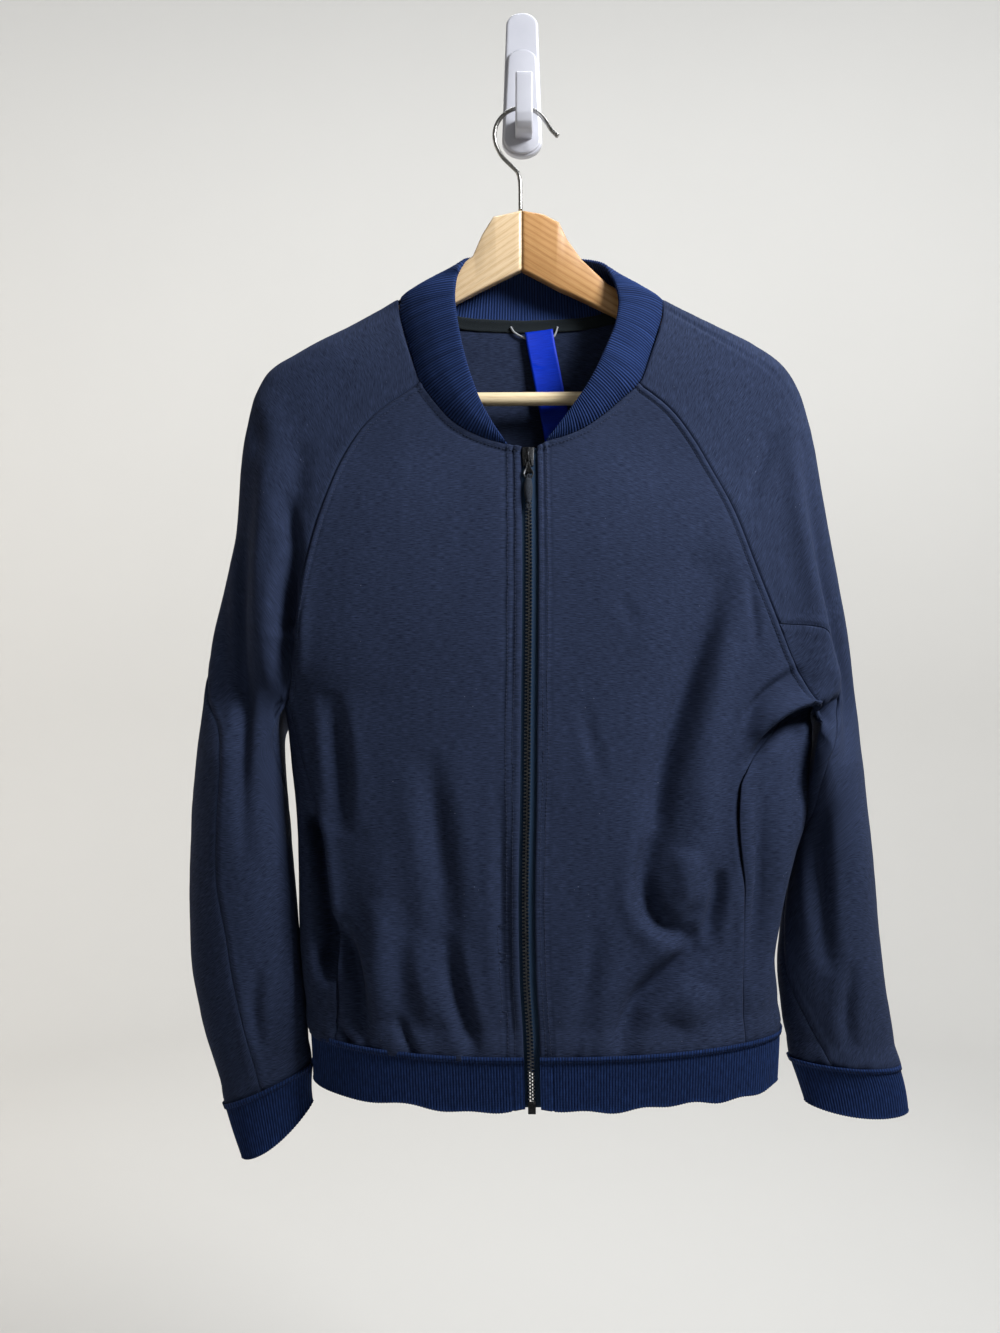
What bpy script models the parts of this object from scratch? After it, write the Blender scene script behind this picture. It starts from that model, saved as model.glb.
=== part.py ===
"""Zip bomber jacket hanging on a wooden hanger from a white wall hook.

Tables and sizes are in millimetres. +X is the wearer's left, +Z is up, and the wall is the
plane y = 0, with everything on its -Y side. The origin is the centre of the wall plate's back.
Points along the sleeves and the neck are worked out per side; x in the tables grows outward.
"""

import math
from bisect import bisect_right
from collections import namedtuple

import bmesh
import bpy
from mathutils import Vector
from mathutils.bvhtree import BVHTree

MM = 0.001
SIDES = {"left": 1, "right": -1}

# ---------------------------------------------------------------- driving sizes, mm
SEAM_GAP = 0.3
CLOTH_WALL = 1.6
RIB_WALL = 2.2
RIB_RELIEF = 0.45
RIB_PITCH = 4.0
ZIP_EDGE = {"left": 7.5, "right": 5.5}      # from the zip's centre line to each front's edge
CHAIN_WIDTH = 5.0
CHAIN_THICK = 2.6
TAPE_WIDTH = 11.0
TAPE_WALL = 1.0
ARMPIT_Z = -556.0
NECK_FRONT_Z = -342.0
HEM_SEAM_Z = -853.0
HEM_RISE = 10.0                             # the hem seam is this much higher at the sides
HEM_HEIGHT = 42.0
HEM_LEVELS = (0.5, 1.0)                     # shares of the hem's height below its seam
HEM_WAVE = 1.3                              # the lower edge waves by this much
HEM_WAVE_STEP = 1.9                         # radians of the wave a column
FRONT_POWER = 2.5                           # superellipse powers of the body's sections
BACK_POWER = 2.2
COLLAR_BULGE = 4.0
ARMPIT_PULL = 1.5                           # how far the wall turns down along the armpit seam
ARMPIT_CORNER_PULL = 2.4
SLEEVE_SPANS = 12                           # across the upper sleeve
SHOULDER_ROWS = 13                          # along each raglan seam
TUBE_ROWS = 11                              # from the armpit to the cuff
SIDE_ROWS = 11                              # from the hem seam to the armpit
FRONT_SPANS = 8
SIDE_SPANS = 4
BACK_SPANS = 14

# ---------------------------------------------------------------- body sections
Depth = namedtuple("Depth", "z zip_x front_y back_y")
DEPTHS = [
    Depth(-895, 6.4, -110, -12),
    Depth(-835, 4.6, -115, -10),
    Depth(-780, 1.6, -116, -9),
    Depth(-720, 0.8, -116, -9),
    Depth(-640, 2.2, -113, -9),
    Depth(-557, 3.1, -108, -9),
    Depth(-500, 3.8, -104, -10),
    Depth(-440, 4.2, -98, -11),
    Depth(-390, 4.0, -89, -12),
    Depth(-342, 3.8, -76, -13),
    Depth(-285, 3.8, -65, -14),
    Depth(-210, 3.8, -50, -15),
]

Breadth = namedtuple("Breadth", "z side_x side_y")
BREADTHS = {
    "left": [
        Breadth(-895, 217, -50), Breadth(-845, 219, -52), Breadth(-815, 219.5, -54),
        Breadth(-780, 216.5, -56), Breadth(-745, 221, -56), Breadth(-700, 229, -56),
        Breadth(-660, 236, -55), Breadth(-610, 243.5, -52), Breadth(-580, 248.5, -49),
        Breadth(-556, 253.5, -46), Breadth(-525, 268, -44), Breadth(-488, 276, -42),
        Breadth(-436, 271, -41), Breadth(-383, 262, -40), Breadth(-335, 253, -39),
        Breadth(-285, 245, -38), Breadth(-210, 236, -36),
    ],
    "right": [
        Breadth(-895, 179, -46), Breadth(-845, 181.5, -46), Breadth(-805, 186, -46),
        Breadth(-753, 189.5, -46), Breadth(-705, 193.5, -46), Breadth(-655, 196.5, -46),
        Breadth(-614, 201, -46), Breadth(-580, 205, -46), Breadth(-556, 208.5, -46),
        Breadth(-525, 232, -46), Breadth(-488, 250, -46), Breadth(-436, 251, -45),
        Breadth(-383, 248, -44), Breadth(-335, 244, -42), Breadth(-285, 238, -40),
        Breadth(-210, 230, -36),
    ],
}

SideSeam = namedtuple("SideSeam", "z front_x back_x")
SIDE_SEAMS = {
    "left": [
        SideSeam(-853, 184, 176), SideSeam(-720, 183.5, 178), SideSeam(-660, 178, 184),
        SideSeam(-630, 180, 192), SideSeam(-600, 200, 204), SideSeam(-575, 226, 218),
        SideSeam(-556, 245, 228),
    ],
    "right": [
        SideSeam(-853, 158, 150), SideSeam(-790, 157, 152), SideSeam(-680, 166, 158),
        SideSeam(-650, 174, 164), SideSeam(-607, 188, 175), SideSeam(-575, 196, 183),
        SideSeam(-556, 200, 188),
    ],
}

Seam = namedtuple("Seam", "share x z")
RAGLAN_FRONT = {
    "left": [
        Seam(0, 99.5, -285.5), Seam(0.112, 126.7, -308.3), Seam(0.217, 145.9, -334.6),
        Seam(0.309, 159.9, -360.1), Seam(0.445, 178.9, -397.9), Seam(0.598, 195.6, -442.8),
        Seam(0.725, 210.1, -479.9), Seam(0.878, 228.2, -524.4), Seam(0.96, 239, -546),
        Seam(1, 245, ARMPIT_Z),
    ],
    "right": [
        Seam(0, 88.5, -284.5), Seam(0.18, 133.3, -318.2), Seam(0.31, 155.3, -351.6),
        Seam(0.425, 168.2, -383.8), Seam(0.52, 177.1, -411.2), Seam(0.61, 183.7, -439.1),
        Seam(0.69, 188, -463.6), Seam(0.86, 195, -515), Seam(1, 200, ARMPIT_Z),
    ],
}
RAGLAN_BACK = {
    "left": [
        Seam(0, 85, -212), Seam(0.25, 128, -290), Seam(0.5, 165, -375),
        Seam(0.75, 199, -468), Seam(1, 228, ARMPIT_Z),
    ],
    "right": [
        Seam(0, 78, -212), Seam(0.25, 118, -290), Seam(0.5, 149, -375),
        Seam(0.75, 171, -468), Seam(1, 188, ARMPIT_Z),
    ],
}

# ---------------------------------------------------------------- neck and collar
NeckRow = namedtuple("NeckRow", "index seam_x seam_y seam_z top_x top_y top_z")
NECK = {
    "left": [
        NeckRow(0, 20.5, 0, -337, 21.5, -77.5, -333.5), NeckRow(1, 34.6, 0, -333, 34, -79.5, -317.5),
        NeckRow(2, 51, 0, -326, 44, -80.5, -304), NeckRow(3, 67.2, 0, -315, 53, -80.5, -291),
        NeckRow(4, 84, 0, -300.5, 61, -79, -277), NeckRow(5, 99.5, 0, -285.5, 67, -76, -264),
        NeckRow(6, 108.2, -57, -265, 73, -71, -250), NeckRow(7, 117.9, -46, -238, 79.5, -65, -233),
        NeckRow(8, 122.8, -39, -217, 83, -56, -212), NeckRow(9, 123.7, -34, -205.1, 81, -48, -196),
        NeckRow(9.5, 120.5, -28, -204.8, 77, -40.5, -183), NeckRow(10, 112, -23, -206, 72, -33, -173),
        NeckRow(10.5, 100, -19.5, -208.6, 64, -26, -168), NeckRow(11, 85, 0, -212, 55, -20, -165),
        NeckRow(12, 45, 0, -219, 25, -14, -162.5), NeckRow(13, 0, 0, -220.7, 0, -13, -162),
    ],
    "right": [
        NeckRow(0, 15, 0, -340, 16, -77.5, -336.5), NeckRow(1, 28, 0, -336.5, 26, -79.5, -322),
        NeckRow(2, 44, 0, -330, 34, -80.5, -308), NeckRow(3, 60.2, 0, -320, 41, -80.5, -292),
        NeckRow(4, 75, 0, -304, 47, -79, -275), NeckRow(5, 88.5, 0, -284.5, 51.5, -75, -258),
        NeckRow(6, 94.5, -58, -268, 54.5, -71, -244), NeckRow(7, 101.5, -48.5, -245, 57.5, -65, -226),
        NeckRow(8, 107.8, -40, -220, 59.3, -57, -207), NeckRow(9, 110.3, -34, -205.1, 57.5, -47, -186),
        NeckRow(9.5, 107.5, -28, -204.7, 55, -40, -176.5), NeckRow(10, 100, -23, -206, 51, -32, -168.5),
        NeckRow(10.5, 90, -19.5, -208.8, 46.5, -26, -165.3), NeckRow(11, 78, 0, -212, 41, -20, -163.5),
        NeckRow(12, 42, 0, -219, 21, -14, -162), NeckRow(13, 0, 0, -220.7, 0, -13, -162),
    ],
}
NECK_JUNCTION = 5                           # where the front raglan seam meets the neck
NECK_SHOULDER = 9                           # the shoulder ridge
NECK_BACK = 11                              # where the back raglan seam meets the neck
NECK_CENTRE = 13

# ---------------------------------------------------------------- sleeves
Ridge = namedtuple("Ridge", "station x y z")
RIDGES = {                                  # outermost line: along the shoulder to the cuff seam
    "left": [
        Ridge(0, 123.7, -34, -205.1), Ridge(0.111, 164.9, -36, -227.4), Ridge(0.215, 204.2, -38, -247.2),
        Ridge(0.294, 230.1, -40, -267.9), Ridge(0.366, 243.9, -41, -295.3), Ridge(0.463, 252.5, -42, -335),
        Ridge(0.578, 261.2, -42, -383.1), Ridge(0.705, 270.9, -42, -435.7), Ridge(0.832, 280.5, -42, -488.3),
        Ridge(1, 291.3, -41, -558.4), Ridge(1.18, 298.4, -40, -622), Ridge(1.32, 303, -40, -670),
        Ridge(1.48, 307.5, -40, -724), Ridge(1.6, 311.5, -40, -765), Ridge(1.72, 317, -40, -802),
        Ridge(1.86, 323.7, -40, -843), Ridge(2, 328.4, -40, -882.2),
    ],
    "right": [
        Ridge(0, 110.3, -34, -205.1), Ridge(0.115, 153.9, -36, -230), Ridge(0.22, 193.2, -38, -251.6),
        Ridge(0.305, 223.6, -40, -272.3), Ridge(0.39, 239, -42, -306), Ridge(0.5, 246.5, -44, -352.8),
        Ridge(0.63, 249.8, -45, -409.7), Ridge(0.75, 259.2, -46, -457.9), Ridge(0.87, 269.5, -47, -505.9),
        Ridge(1, 277.5, -48, -556), Ridge(1.17, 284, -48, -606.1), Ridge(1.35, 288.4, -48, -662.8),
        Ridge(1.53, 289.7, -48, -723.8), Ridge(1.7, 288, -48, -780.4), Ridge(1.85, 279.8, -48, -830),
        Ridge(2, 256, -48, -912),
    ],
}

# Below the armpit. A share places the front or back line between the inner line and the ridge.
Tube = namedtuple("Tube", "station inner_x inner_y inner_z front_y front_share back_y back_share")
TUBES = {
    "left": [
        Tube(1, 253.5, -46, -556, -69, -0.22, -27, -0.67), Tube(1.09, 253, -46, -580, -82, 0.0, -20, -0.2),
        Tube(1.18, 248, -46, -611, -90, 0.25, -13, 0.15), Tube(1.32, 240, -46, -658, -91, 0.45, -9, 0.4),
        Tube(1.48, 231.5, -46, -711, -87, 0.5, -10, 0.5), Tube(1.6, 225, -46, -752, -82, 0.5, -12, 0.5),
        Tube(1.72, 222, -46, -788, -77, 0.5, -15, 0.5), Tube(1.86, 227, -44, -834, -68, 0.5, -18, 0.5),
        Tube(2, 237.5, -40, -872.6, -60, 0.5, -21, 0.5),
    ],
    "right": [
        Tube(1, 208.5, -46, -556, -68, -0.12, -27, -0.3), Tube(1.09, 209, -50, -580, -80, 0.05, -20, -0.05),
        Tube(1.18, 207.8, -52, -608, -89, 0.3, -13, 0.2), Tube(1.35, 203.5, -52, -657, -92, 0.45, -9, 0.45),
        Tube(1.5, 199, -52, -705, -88, 0.5, -10, 0.5), Tube(1.65, 195, -52, -755, -84, 0.5, -12, 0.5),
        Tube(1.8, 190.5, -52, -805, -80, 0.5, -16, 0.5), Tube(1.9, 187.5, -50, -845, -74, 0.5, -22, 0.5),
        Tube(2, 186, -48, -876, -68, 0.5, -29, 0.5),
    ],
}

# Where the two sleeve seams run, in quarter turns: 0 front, 1 outer ridge, 2 back, -1 inner.
SleeveSeam = namedtuple("SleeveSeam", "station front back")
SLEEVE_SEAMS = {
    "left": [
        SleeveSeam(0.77, 0, 2), SleeveSeam(0.846, 0.42, 2), SleeveSeam(0.92, 0.48, 2),
        SleeveSeam(1, 0.38, 2), SleeveSeam(1.1, 0.15, 1.8), SleeveSeam(1.25, -0.4, 1.55),
        SleeveSeam(1.46, -0.98, 1.35), SleeveSeam(1.7, -0.78, 1.6), SleeveSeam(1.85, -0.45, 1.85),
        SleeveSeam(2, -0.21, 2.05),
    ],
    "right": [
        SleeveSeam(0.69, 0, 2), SleeveSeam(0.77, 0, 1.72), SleeveSeam(0.85, 0, 1.4),
        SleeveSeam(0.92, 0, 1.1), SleeveSeam(1, 0, 0.8), SleeveSeam(1.1, -0.35, 0.5),
        SleeveSeam(1.22, -0.8, 0.3), SleeveSeam(1.36, -1.15, 0.25), SleeveSeam(1.5, -1.4, 0.23),
        SleeveSeam(1.65, -1.55, 0.14), SleeveSeam(1.8, -1.65, 0.1), SleeveSeam(2, -1.75, 0.05),
    ],
}
FRONT_LEG_ROW = {"left": 10, "right": SHOULDER_ROWS}    # raglan row where the under sleeve starts
BACK_LEG_ROW = {"left": SHOULDER_ROWS, "right": 9}
FRONT_LEG_SPANS = {"left": 2, "right": 0}
BACK_LEG_SPANS = {"left": 0, "right": 4}

Cuff = namedtuple("Cuff", "down outer_x outer_y outer_z inner_x inner_y inner_z half_depth")
CUFFS = {
    "left": [
        Cuff(1, 333, -40, -900, 244, -40, -891, 17), Cuff(2, 335.4, -40, -920, 250, -40, -911, 16),
    ],
    "right": [
        Cuff(1, 249, -48, -935, 187, -48, -894, 17), Cuff(2, 242.2, -48, -957, 185.5, -48, -912, 16),
    ],
}

# ---------------------------------------------------------------- folds
# Each fold is a line in the front view, raised (or sunk, if lift is negative) along the cloth's
# own outward direction, and fading over its width. It acts on the front layer or on the back.
Fold = namedtuple("Fold", "layer lift width line")
FOLDS = [
    Fold("front", -9, 20, [(153, -455), (138, -515), (124, -560), (109, -627), (114, -693), (141, -751)]),
    Fold("front", 5, 17, [(150, -640), (135, -693), (128, -740)]),
    Fold("front", -4, 14, [(96, -762), (86, -800), (77, -836)]),
    Fold("front", -5, 13, [(-166, -745), (-156, -800), (-146, -846)]),
    Fold("front", 4, 18, [(-120, -700), (-118, -770), (-124, -830)]),
    Fold("front", 8, 15, [(237, -330), (242, -400), (246, -470), (253, -515), (258, -545)]),
    Fold("front", 9, 15, [(257, -540), (238, -552), (214, -566), (200, -580)]),
    Fold("front", -7, 11, [(262, -566), (240, -574), (216, -590)]),
    Fold("front", 6, 13, [(262, -580), (256, -615), (248, -645)]),
    Fold("front", 5, 15, [(-224, -305), (-214, -345), (-211, -437), (-212, -500), (-208, -560)]),
    Fold("front", -7, 11, [(-192, -350), (-196, -400), (-199, -470), (-201, -530)]),
    Fold("front", -3, 9, [(-236, -308), (-227, -341)]),
    Fold("back", -6, 18, [(150, -500), (128, -600), (118, -700)]),
    Fold("back", -6, 18, [(-140, -480), (-118, -600), (-110, -720)]),
    Fold("back", 4, 20, [(60, -560), (52, -680), (56, -790)]),
    Fold("back", 4, 20, [(-40, -620), (-46, -720), (-40, -800)]),
]

# ---------------------------------------------------------------- hanger and wall hook
Arm = namedtuple("Arm", "x top bottom")
ARMS = {
    "left": [
        Arm(0, -125.5, -178.7), Arm(19, -128.7, -188.5), Arm(33, -136, -196), Arm(40, -151, -199),
        Arm(53, -169, -205), Arm(76, -190.5, -216), Arm(88, -197, -222), Arm(100, -203, -229),
        Arm(112, -207, -235), Arm(125, -211, -242), Arm(137, -216, -248), Arm(150, -222, -255),
        Arm(162, -228, -263), Arm(175, -235, -271), Arm(187.7, -241.5, -284), Arm(187.8, -241.6, -300),
        Arm(200, -248, -302),
        Arm(213, -256, -302), Arm(220, -266, -298),
    ],
    "right": [
        Arm(0, -125.5, -178.7), Arm(25, -131, -191), Arm(35, -147, -196), Arm(43, -165.5, -200),
        Arm(58, -177.5, -208), Arm(68, -185, -213), Arm(78, -193, -218), Arm(89, -199, -223),
        Arm(100, -205, -229), Arm(112, -211, -235), Arm(125, -217, -242), Arm(137, -223, -249),
        Arm(150, -230, -256), Arm(161, -236, -264), Arm(172, -242.5, -272), Arm(179.9, -246.6, -286.5),
        Arm(180, -246.7, -302.5), Arm(194, -254.5, -304), Arm(207, -263, -305), Arm(214, -273, -299),
    ],
}
ARM_THICK = 12.0
ARM_DEPTH = -29.0
HANGER_CLEARANCE = 1.0
ARM_SWEEP = 11.0                            # how far forward the arm ends come
ARM_SWEEP_START = 125.0
ARM_SWEEP_END = 215.0
HUB_GAP_X = -0.9                            # the glue line between the two halves
BAR_Z = {"left": -292.0, "right": -294.5}
BAR_RADIUS = 6.0
BAR_END = {"left": 186.5, "right": 180.5}
WIRE_RADIUS = 1.85
WIRE_ROUTE = [
    (-1.9, -29, -124.9), (-1.9, -28.6, -110), (-2.2, -28, -100), (-4.2, -27.4, -91), (-10, -26.6, -84.5),
    (-18.5, -26, -75.5), (-24, -26, -64), (-24.6, -26, -53), (-20.4, -26, -43), (-12, -26, -35.5),
    (-1, -26, -32.5), (9.5, -26.5, -35), (16.5, -29, -41), (21.5, -31.5, -48.5), (26, -33, -56),
    (31, -34, -61),
]
PLATE_TOP_Z = 61.5
PLATE_BOTTOM_Z = -68.5
PLATE_TOP_HALF = 14.5
PLATE_BOTTOM_HALF = 18.2
PLATE_THICK = 8.0
PANEL_THICK = 2.8
PANEL_TOP_Z = 27.0
PANEL_MARGIN = 1.6
PRONG_LEFT_X = 9.0
PRONG_RIGHT_X = -6.4
PRONG_PROFILE = [                           # y and z of the prong's outline, from the panel round
    (-10, -37.4), (-31, -37.4), (-33.6, -35), (-34.6, -31), (-34.6, -9), (-35.4, -6.2), (-37.4, -5.5),
    (-39.4, -6.4), (-40, -9), (-40, -42), (-37.5, -49), (-32, -53.4), (-25, -54.7), (-10, -54.7),
]

# ---------------------------------------------------------------- zip, tape, label and loop
CHAIN_TOP_Z = -360.2
CHAIN_BOTTOM_Z = -887.4
TAPE_TOP_Z = -343.5
TAPE_BOTTOM_Z = -893.0
TAPE_ROWS = 13
SLIDER_TOP_Z = -342.5
SLIDER_BOTTOM_Z = -359.8
SLIDER_PROUD = 2.2                          # how far the slider stands out of the fronts
PIVOT_Z = -357.0
PIVOT_PROUD = 3.5
TAB_LENGTH = 15.5
TAB_WIDTH = 6.4
TAB_THICK = 1.2
CORD_LENGTH = 27.0
NECK_TAPE_HEIGHT = 9.0
LABEL_WIDTH = 25.0
LABEL_LINE = [                              # centre of the ribbon: x, y, z
    (14.5, -20.9, -229.5), (17, -21.6, -245), (21.5, -22.4, -268), (26, -23, -292), (30.5, -23.4, -316),
    (34, -23.2, -338),
]
LOOP_ROUTE = [
    (-10.5, -19.0, -225.4), (-7, -19.0, -230.5), (1, -19.2, -235), (10, -19.2, -237.6),
    (20, -19.2, -237.3), (28, -19.2, -234), (31.5, -19.0, -225.4),
]
LOOP_RADIUS = 0.9


def at(rows, key):
    """The row of a table at any key, by a smooth monotone curve through each column."""
    keys = [row[0] for row in rows]
    key = min(max(key, keys[0]), keys[-1])
    first = min(bisect_right(keys, key) - 1, len(rows) - 2)
    span = keys[first + 1] - keys[first]
    share = (key - keys[first]) / span

    def slope(index, column):
        rises = []
        for low in (index - 1, index):
            if 0 <= low < len(rows) - 1:
                rises.append((rows[low + 1][column] - rows[low][column]) / (keys[low + 1] - keys[low]))
        if len(rises) == 1:
            return rises[0]
        if rises[0] * rises[1] <= 0:
            return 0.0
        return 2 * rises[0] * rises[1] / (rises[0] + rises[1])

    values = [key]
    for column in range(1, len(rows[0])):
        start, end = rows[first][column], rows[first + 1][column]
        rise, fall = slope(first, column) * span, slope(first + 1, column) * span
        back = 1 - share
        values.append(
            start * back * back * (1 + 2 * share) + end * share * share * (3 - 2 * share)
            + rise * share * back * back - fall * share * share * back
        )
    return type(rows[0])(*values)


def clamp(value, low, high):
    return min(max(value, low), high)


def bezier(start, leave, arrive, end, share):
    back = 1 - share
    return (
        start * back ** 3 + leave * (3 * share * back * back)
        + arrive * (3 * share * share * back) + end * share ** 3
    )


# ---------------------------------------------------------------- the body's surface
def body_point(side, z, turn):
    """A point of the body's outer face: turn is 0 at the zip, 1 at the side, 2 at centre back."""
    depth = at(DEPTHS, z)
    breadth = at(BREADTHS[side], z)
    if turn <= 1:
        centre, far_y, power, angle = depth.zip_x, depth.front_y, FRONT_POWER, turn * math.pi / 2
    else:
        centre, far_y, power, angle = 0.0, depth.back_y, BACK_POWER, (2 - turn) * math.pi / 2
    side_x = SIDES[side] * breadth.side_x
    across = max(math.sin(angle), 0) ** (2 / power)
    out = max(math.cos(angle), 0) ** (2 / power)
    return Vector((centre + (side_x - centre) * across, breadth.side_y + (far_y - breadth.side_y) * out, z))


def turn_of(side, z, x, layer):
    """The turn at which the front or the back of the body crosses x."""
    side_x = SIDES[side] * at(BREADTHS[side], z).side_x
    centre = at(DEPTHS, z).zip_x if layer == "front" else 0.0
    power = FRONT_POWER if layer == "front" else BACK_POWER
    across = clamp((x - centre) / (side_x - centre), 0, 1)
    turn = math.asin(across ** (power / 2)) * 2 / math.pi
    return turn if layer == "front" else 2 - turn


def on_body(side, x, z, layer):
    """The point of the front or back layer seen at x and z."""
    return body_point(side, z, turn_of(side, z, x, layer))


def hem_seam_z(turn):
    return HEM_SEAM_Z + HEM_RISE * math.sin(turn * math.pi / 2) ** 2


# ---------------------------------------------------------------- the neck line
def neck_rows(side, index):
    """Seam point and collar top point at an index along the neck, 0 at the zip end."""
    sign = SIDES[side]
    row = at(NECK[side], index)
    seam = Vector((sign * row.seam_x, row.seam_y, row.seam_z))
    if index <= NECK_JUNCTION:
        seam = on_body(side, seam.x, seam.z, "front")
    elif index < NECK_BACK:
        front = on_body(side, sign * at(NECK[side], NECK_JUNCTION).seam_x,
                        at(NECK[side], NECK_JUNCTION).seam_z, "front").y
        back = on_body(side, sign * at(NECK[side], NECK_BACK).seam_x,
                       at(NECK[side], NECK_BACK).seam_z, "back").y
        depths = {NECK_JUNCTION: front, NECK_BACK: back}
        shoulder = [
            line._replace(seam_y=depths.get(line.index, line.seam_y))
            for line in NECK[side] if NECK_JUNCTION <= line.index <= NECK_BACK
        ]
        seam.y = at(shoulder, index).seam_y
    else:
        seam = on_body(side, seam.x, seam.z, "back")
    return seam, Vector((sign * row.top_x, row.top_y, row.top_z))


def neck_samples(start, end, spans):
    return [start + (end - start) * step / spans for step in range(spans + 1)]


# ---------------------------------------------------------------- the sleeve's surface
def raglan(side, share, layer):
    row = at((RAGLAN_FRONT if layer == "front" else RAGLAN_BACK)[side], share)
    return on_body(side, SIDES[side] * row.x, row.z, layer)


def ridge(side, station):
    row = at(RIDGES[side], station)
    return Vector((SIDES[side] * row.x, row.y, row.z))


def tube(side, station):
    """Inner, front and back lines of the sleeve below the armpit."""
    row = at(TUBES[side], station)
    inner = Vector((SIDES[side] * row.inner_x, row.inner_y, row.inner_z))
    if station == 1:
        return inner, raglan(side, 1, "front"), raglan(side, 1, "back")
    front = inner.lerp(ridge(side, station), row.front_share)
    back = inner.lerp(ridge(side, station), row.back_share)
    front.y, back.y = row.front_y, row.back_y
    return inner, front, back


ROUND = 0.552                               # Bezier handle of a quarter circle


def sleeve_point(side, station, quarter):
    """A point of the sleeve: station 0 neck, 1 armpit, 2 cuff; quarter 0 front, 1 ridge, 2 back."""
    if station < 1:
        front, back = raglan(side, station, "front"), raglan(side, station, "back")
        inner = None
    else:
        inner, front, back = tube(side, station)
    outer = ridge(side, station)
    quarter = quarter % 4
    if station == 0:
        index = NECK_JUNCTION + (NECK_SHOULDER - NECK_JUNCTION) * quarter
        if quarter > 1:
            index = NECK_SHOULDER + (NECK_BACK - NECK_SHOULDER) * (quarter - 1)
        return neck_rows(side, index)[0]
    fullness = ROUND - 0.2 * clamp(1 - station / 0.6, 0, 1)
    if quarter <= 2:
        near = front if quarter <= 1 else back
        layer = "front" if quarter <= 1 else "back"
        share = quarter if quarter <= 1 else 2 - quarter
        reach = Vector((outer.x - near.x, 0, outer.z - near.z)) * 0.48
        if station < 1:
            tip = near + reach * 0.15
            slope = (on_body(side, tip.x, tip.z, layer).y - near.y) / 0.15
            reach.y = slope * clamp((1 - station) * 4, 0, 1)
        drop = Vector((0, (near.y - outer.y) * fullness, 0))
        early = clamp(1 - station / 0.16, 0, 1)
        if early > 0:
            start, end = sleeve_point(side, 0, 1), sleeve_point(side, 0, 0.8 if quarter <= 1 else 1.2)
            drop = drop.lerp((end - start) * 1.6, early)
        return bezier(near, near + reach, outer + drop, outer, share)
    near = back if quarter <= 3 else front
    share = quarter - 2 if quarter <= 3 else 4 - quarter
    round_off = clamp((station - 1) / 0.2, 0, 1)
    reach = Vector((inner.x - near.x, 0, inner.z - near.z)) * ROUND
    drop = Vector((0, (near.y - inner.y) * (0.33 + (ROUND - 0.33) * round_off), 0))
    return bezier(near, near + reach, inner + drop, inner, share)


def cuff_point(side, row, quarter):
    """A point of the cuff's ring, with the same quarters as the sleeve."""
    sign = SIDES[side]
    outer = Vector((sign * row.outer_x, row.outer_y, row.outer_z))
    inner = Vector((sign * row.inner_x, row.inner_y, row.inner_z))
    middle = (outer + inner) / 2
    angle = (1 - quarter) * math.pi / 2
    depth = Vector((0, -row.half_depth * math.sin(angle), 0))
    return middle + (outer - middle) * math.cos(angle) + depth


# ---------------------------------------------------------------- folds
def fold_lift(point, normal):
    """How far the cloth stands out at a point, from all the folds of its layer."""
    lift = 0.0
    for fold in FOLDS:
        facing = -normal.y if fold.layer == "front" else normal.y
        if facing <= 0:
            continue
        nearest, along = 1e9, 0.0
        lengths = [math.dist(a, b) for a, b in zip(fold.line, fold.line[1:])]
        run = 0.0
        for (ax, az), (bx, bz), length in zip(fold.line, fold.line[1:], lengths):
            share = ((point.x - ax) * (bx - ax) + (point.z - az) * (bz - az)) / length ** 2
            share = clamp(share, 0, 1)
            gap = math.hypot(point.x - ax - share * (bx - ax), point.z - az - share * (bz - az))
            if gap < nearest:
                nearest, along = gap, (run + share * length) / sum(lengths)
            run += length
        fade = math.sin(math.pi * clamp(0.12 + 0.76 * along, 0, 1)) ** 0.7
        lift += fold.lift * fade * math.exp(-(nearest / fold.width) ** 2) * clamp(facing * 1.6, 0, 1)
    return lift


# ---------------------------------------------------------------- patches of cloth
class Patch:
    """An open sheet of cloth: points, outward faces, and a normal for each point."""

    def __init__(self, name, rows, flip):
        self.name = name
        self.points, self.faces, self.grid = [], [], []
        seen = {}
        for row in rows:
            line = []
            for point in row:
                if point is None:
                    line.append(None)
                    continue
                key = place_key(point)
                if key not in seen:
                    seen[key] = len(self.points)
                    self.points.append(point.copy())
                line.append(seen[key])
            self.grid.append(line)
        for low, high in zip(self.grid, self.grid[1:]):
            for column in range(len(low) - 1):
                ring = [low[column], low[column + 1], high[column + 1], high[column]]
                if None in ring:
                    continue
                ring = [v for i, v in enumerate(ring) if v != ring[i - 1]]
                if len(ring) >= 3:
                    self.faces.append(ring[::-1] if flip else ring)
        self.normals = self.face_normals()
        self.keys = []

    def face_normals(self):
        sums = [Vector() for _ in self.points]
        for ring in self.faces:
            corners = [self.points[v] for v in ring]
            across = (corners[2] - corners[0]).cross(corners[-1] - corners[1])
            for vertex in ring:
                sums[vertex] += across
        return [total.normalized() for total in sums]

    def rim_edges(self):
        """Directed edges with cloth on one side only, the cloth to their left."""
        edges = {(a, b) for ring in self.faces for a, b in zip(ring, ring[1:] + ring[:1])}
        return [(a, b) for a, b in edges if (b, a) not in edges]

    def inset(self, distance):
        """Draws every rim back within the sheet."""
        pulls = {}
        for a, b in sorted(self.rim_edges()):
            for vertex in (a, b):
                pull = self.normals[vertex].cross(self.points[b] - self.points[a]).normalized()
                pulls.setdefault(vertex, []).append(pull)
        for vertex, (first, *rest) in pulls.items():
            second = rest[0] if rest else first
            step = (first + second) / max(1 + first.dot(second), 0.35)
            self.points[vertex] += step * distance


def place_key(point):
    return (round(point.x, 2), round(point.y, 2), round(point.z, 2))


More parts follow.
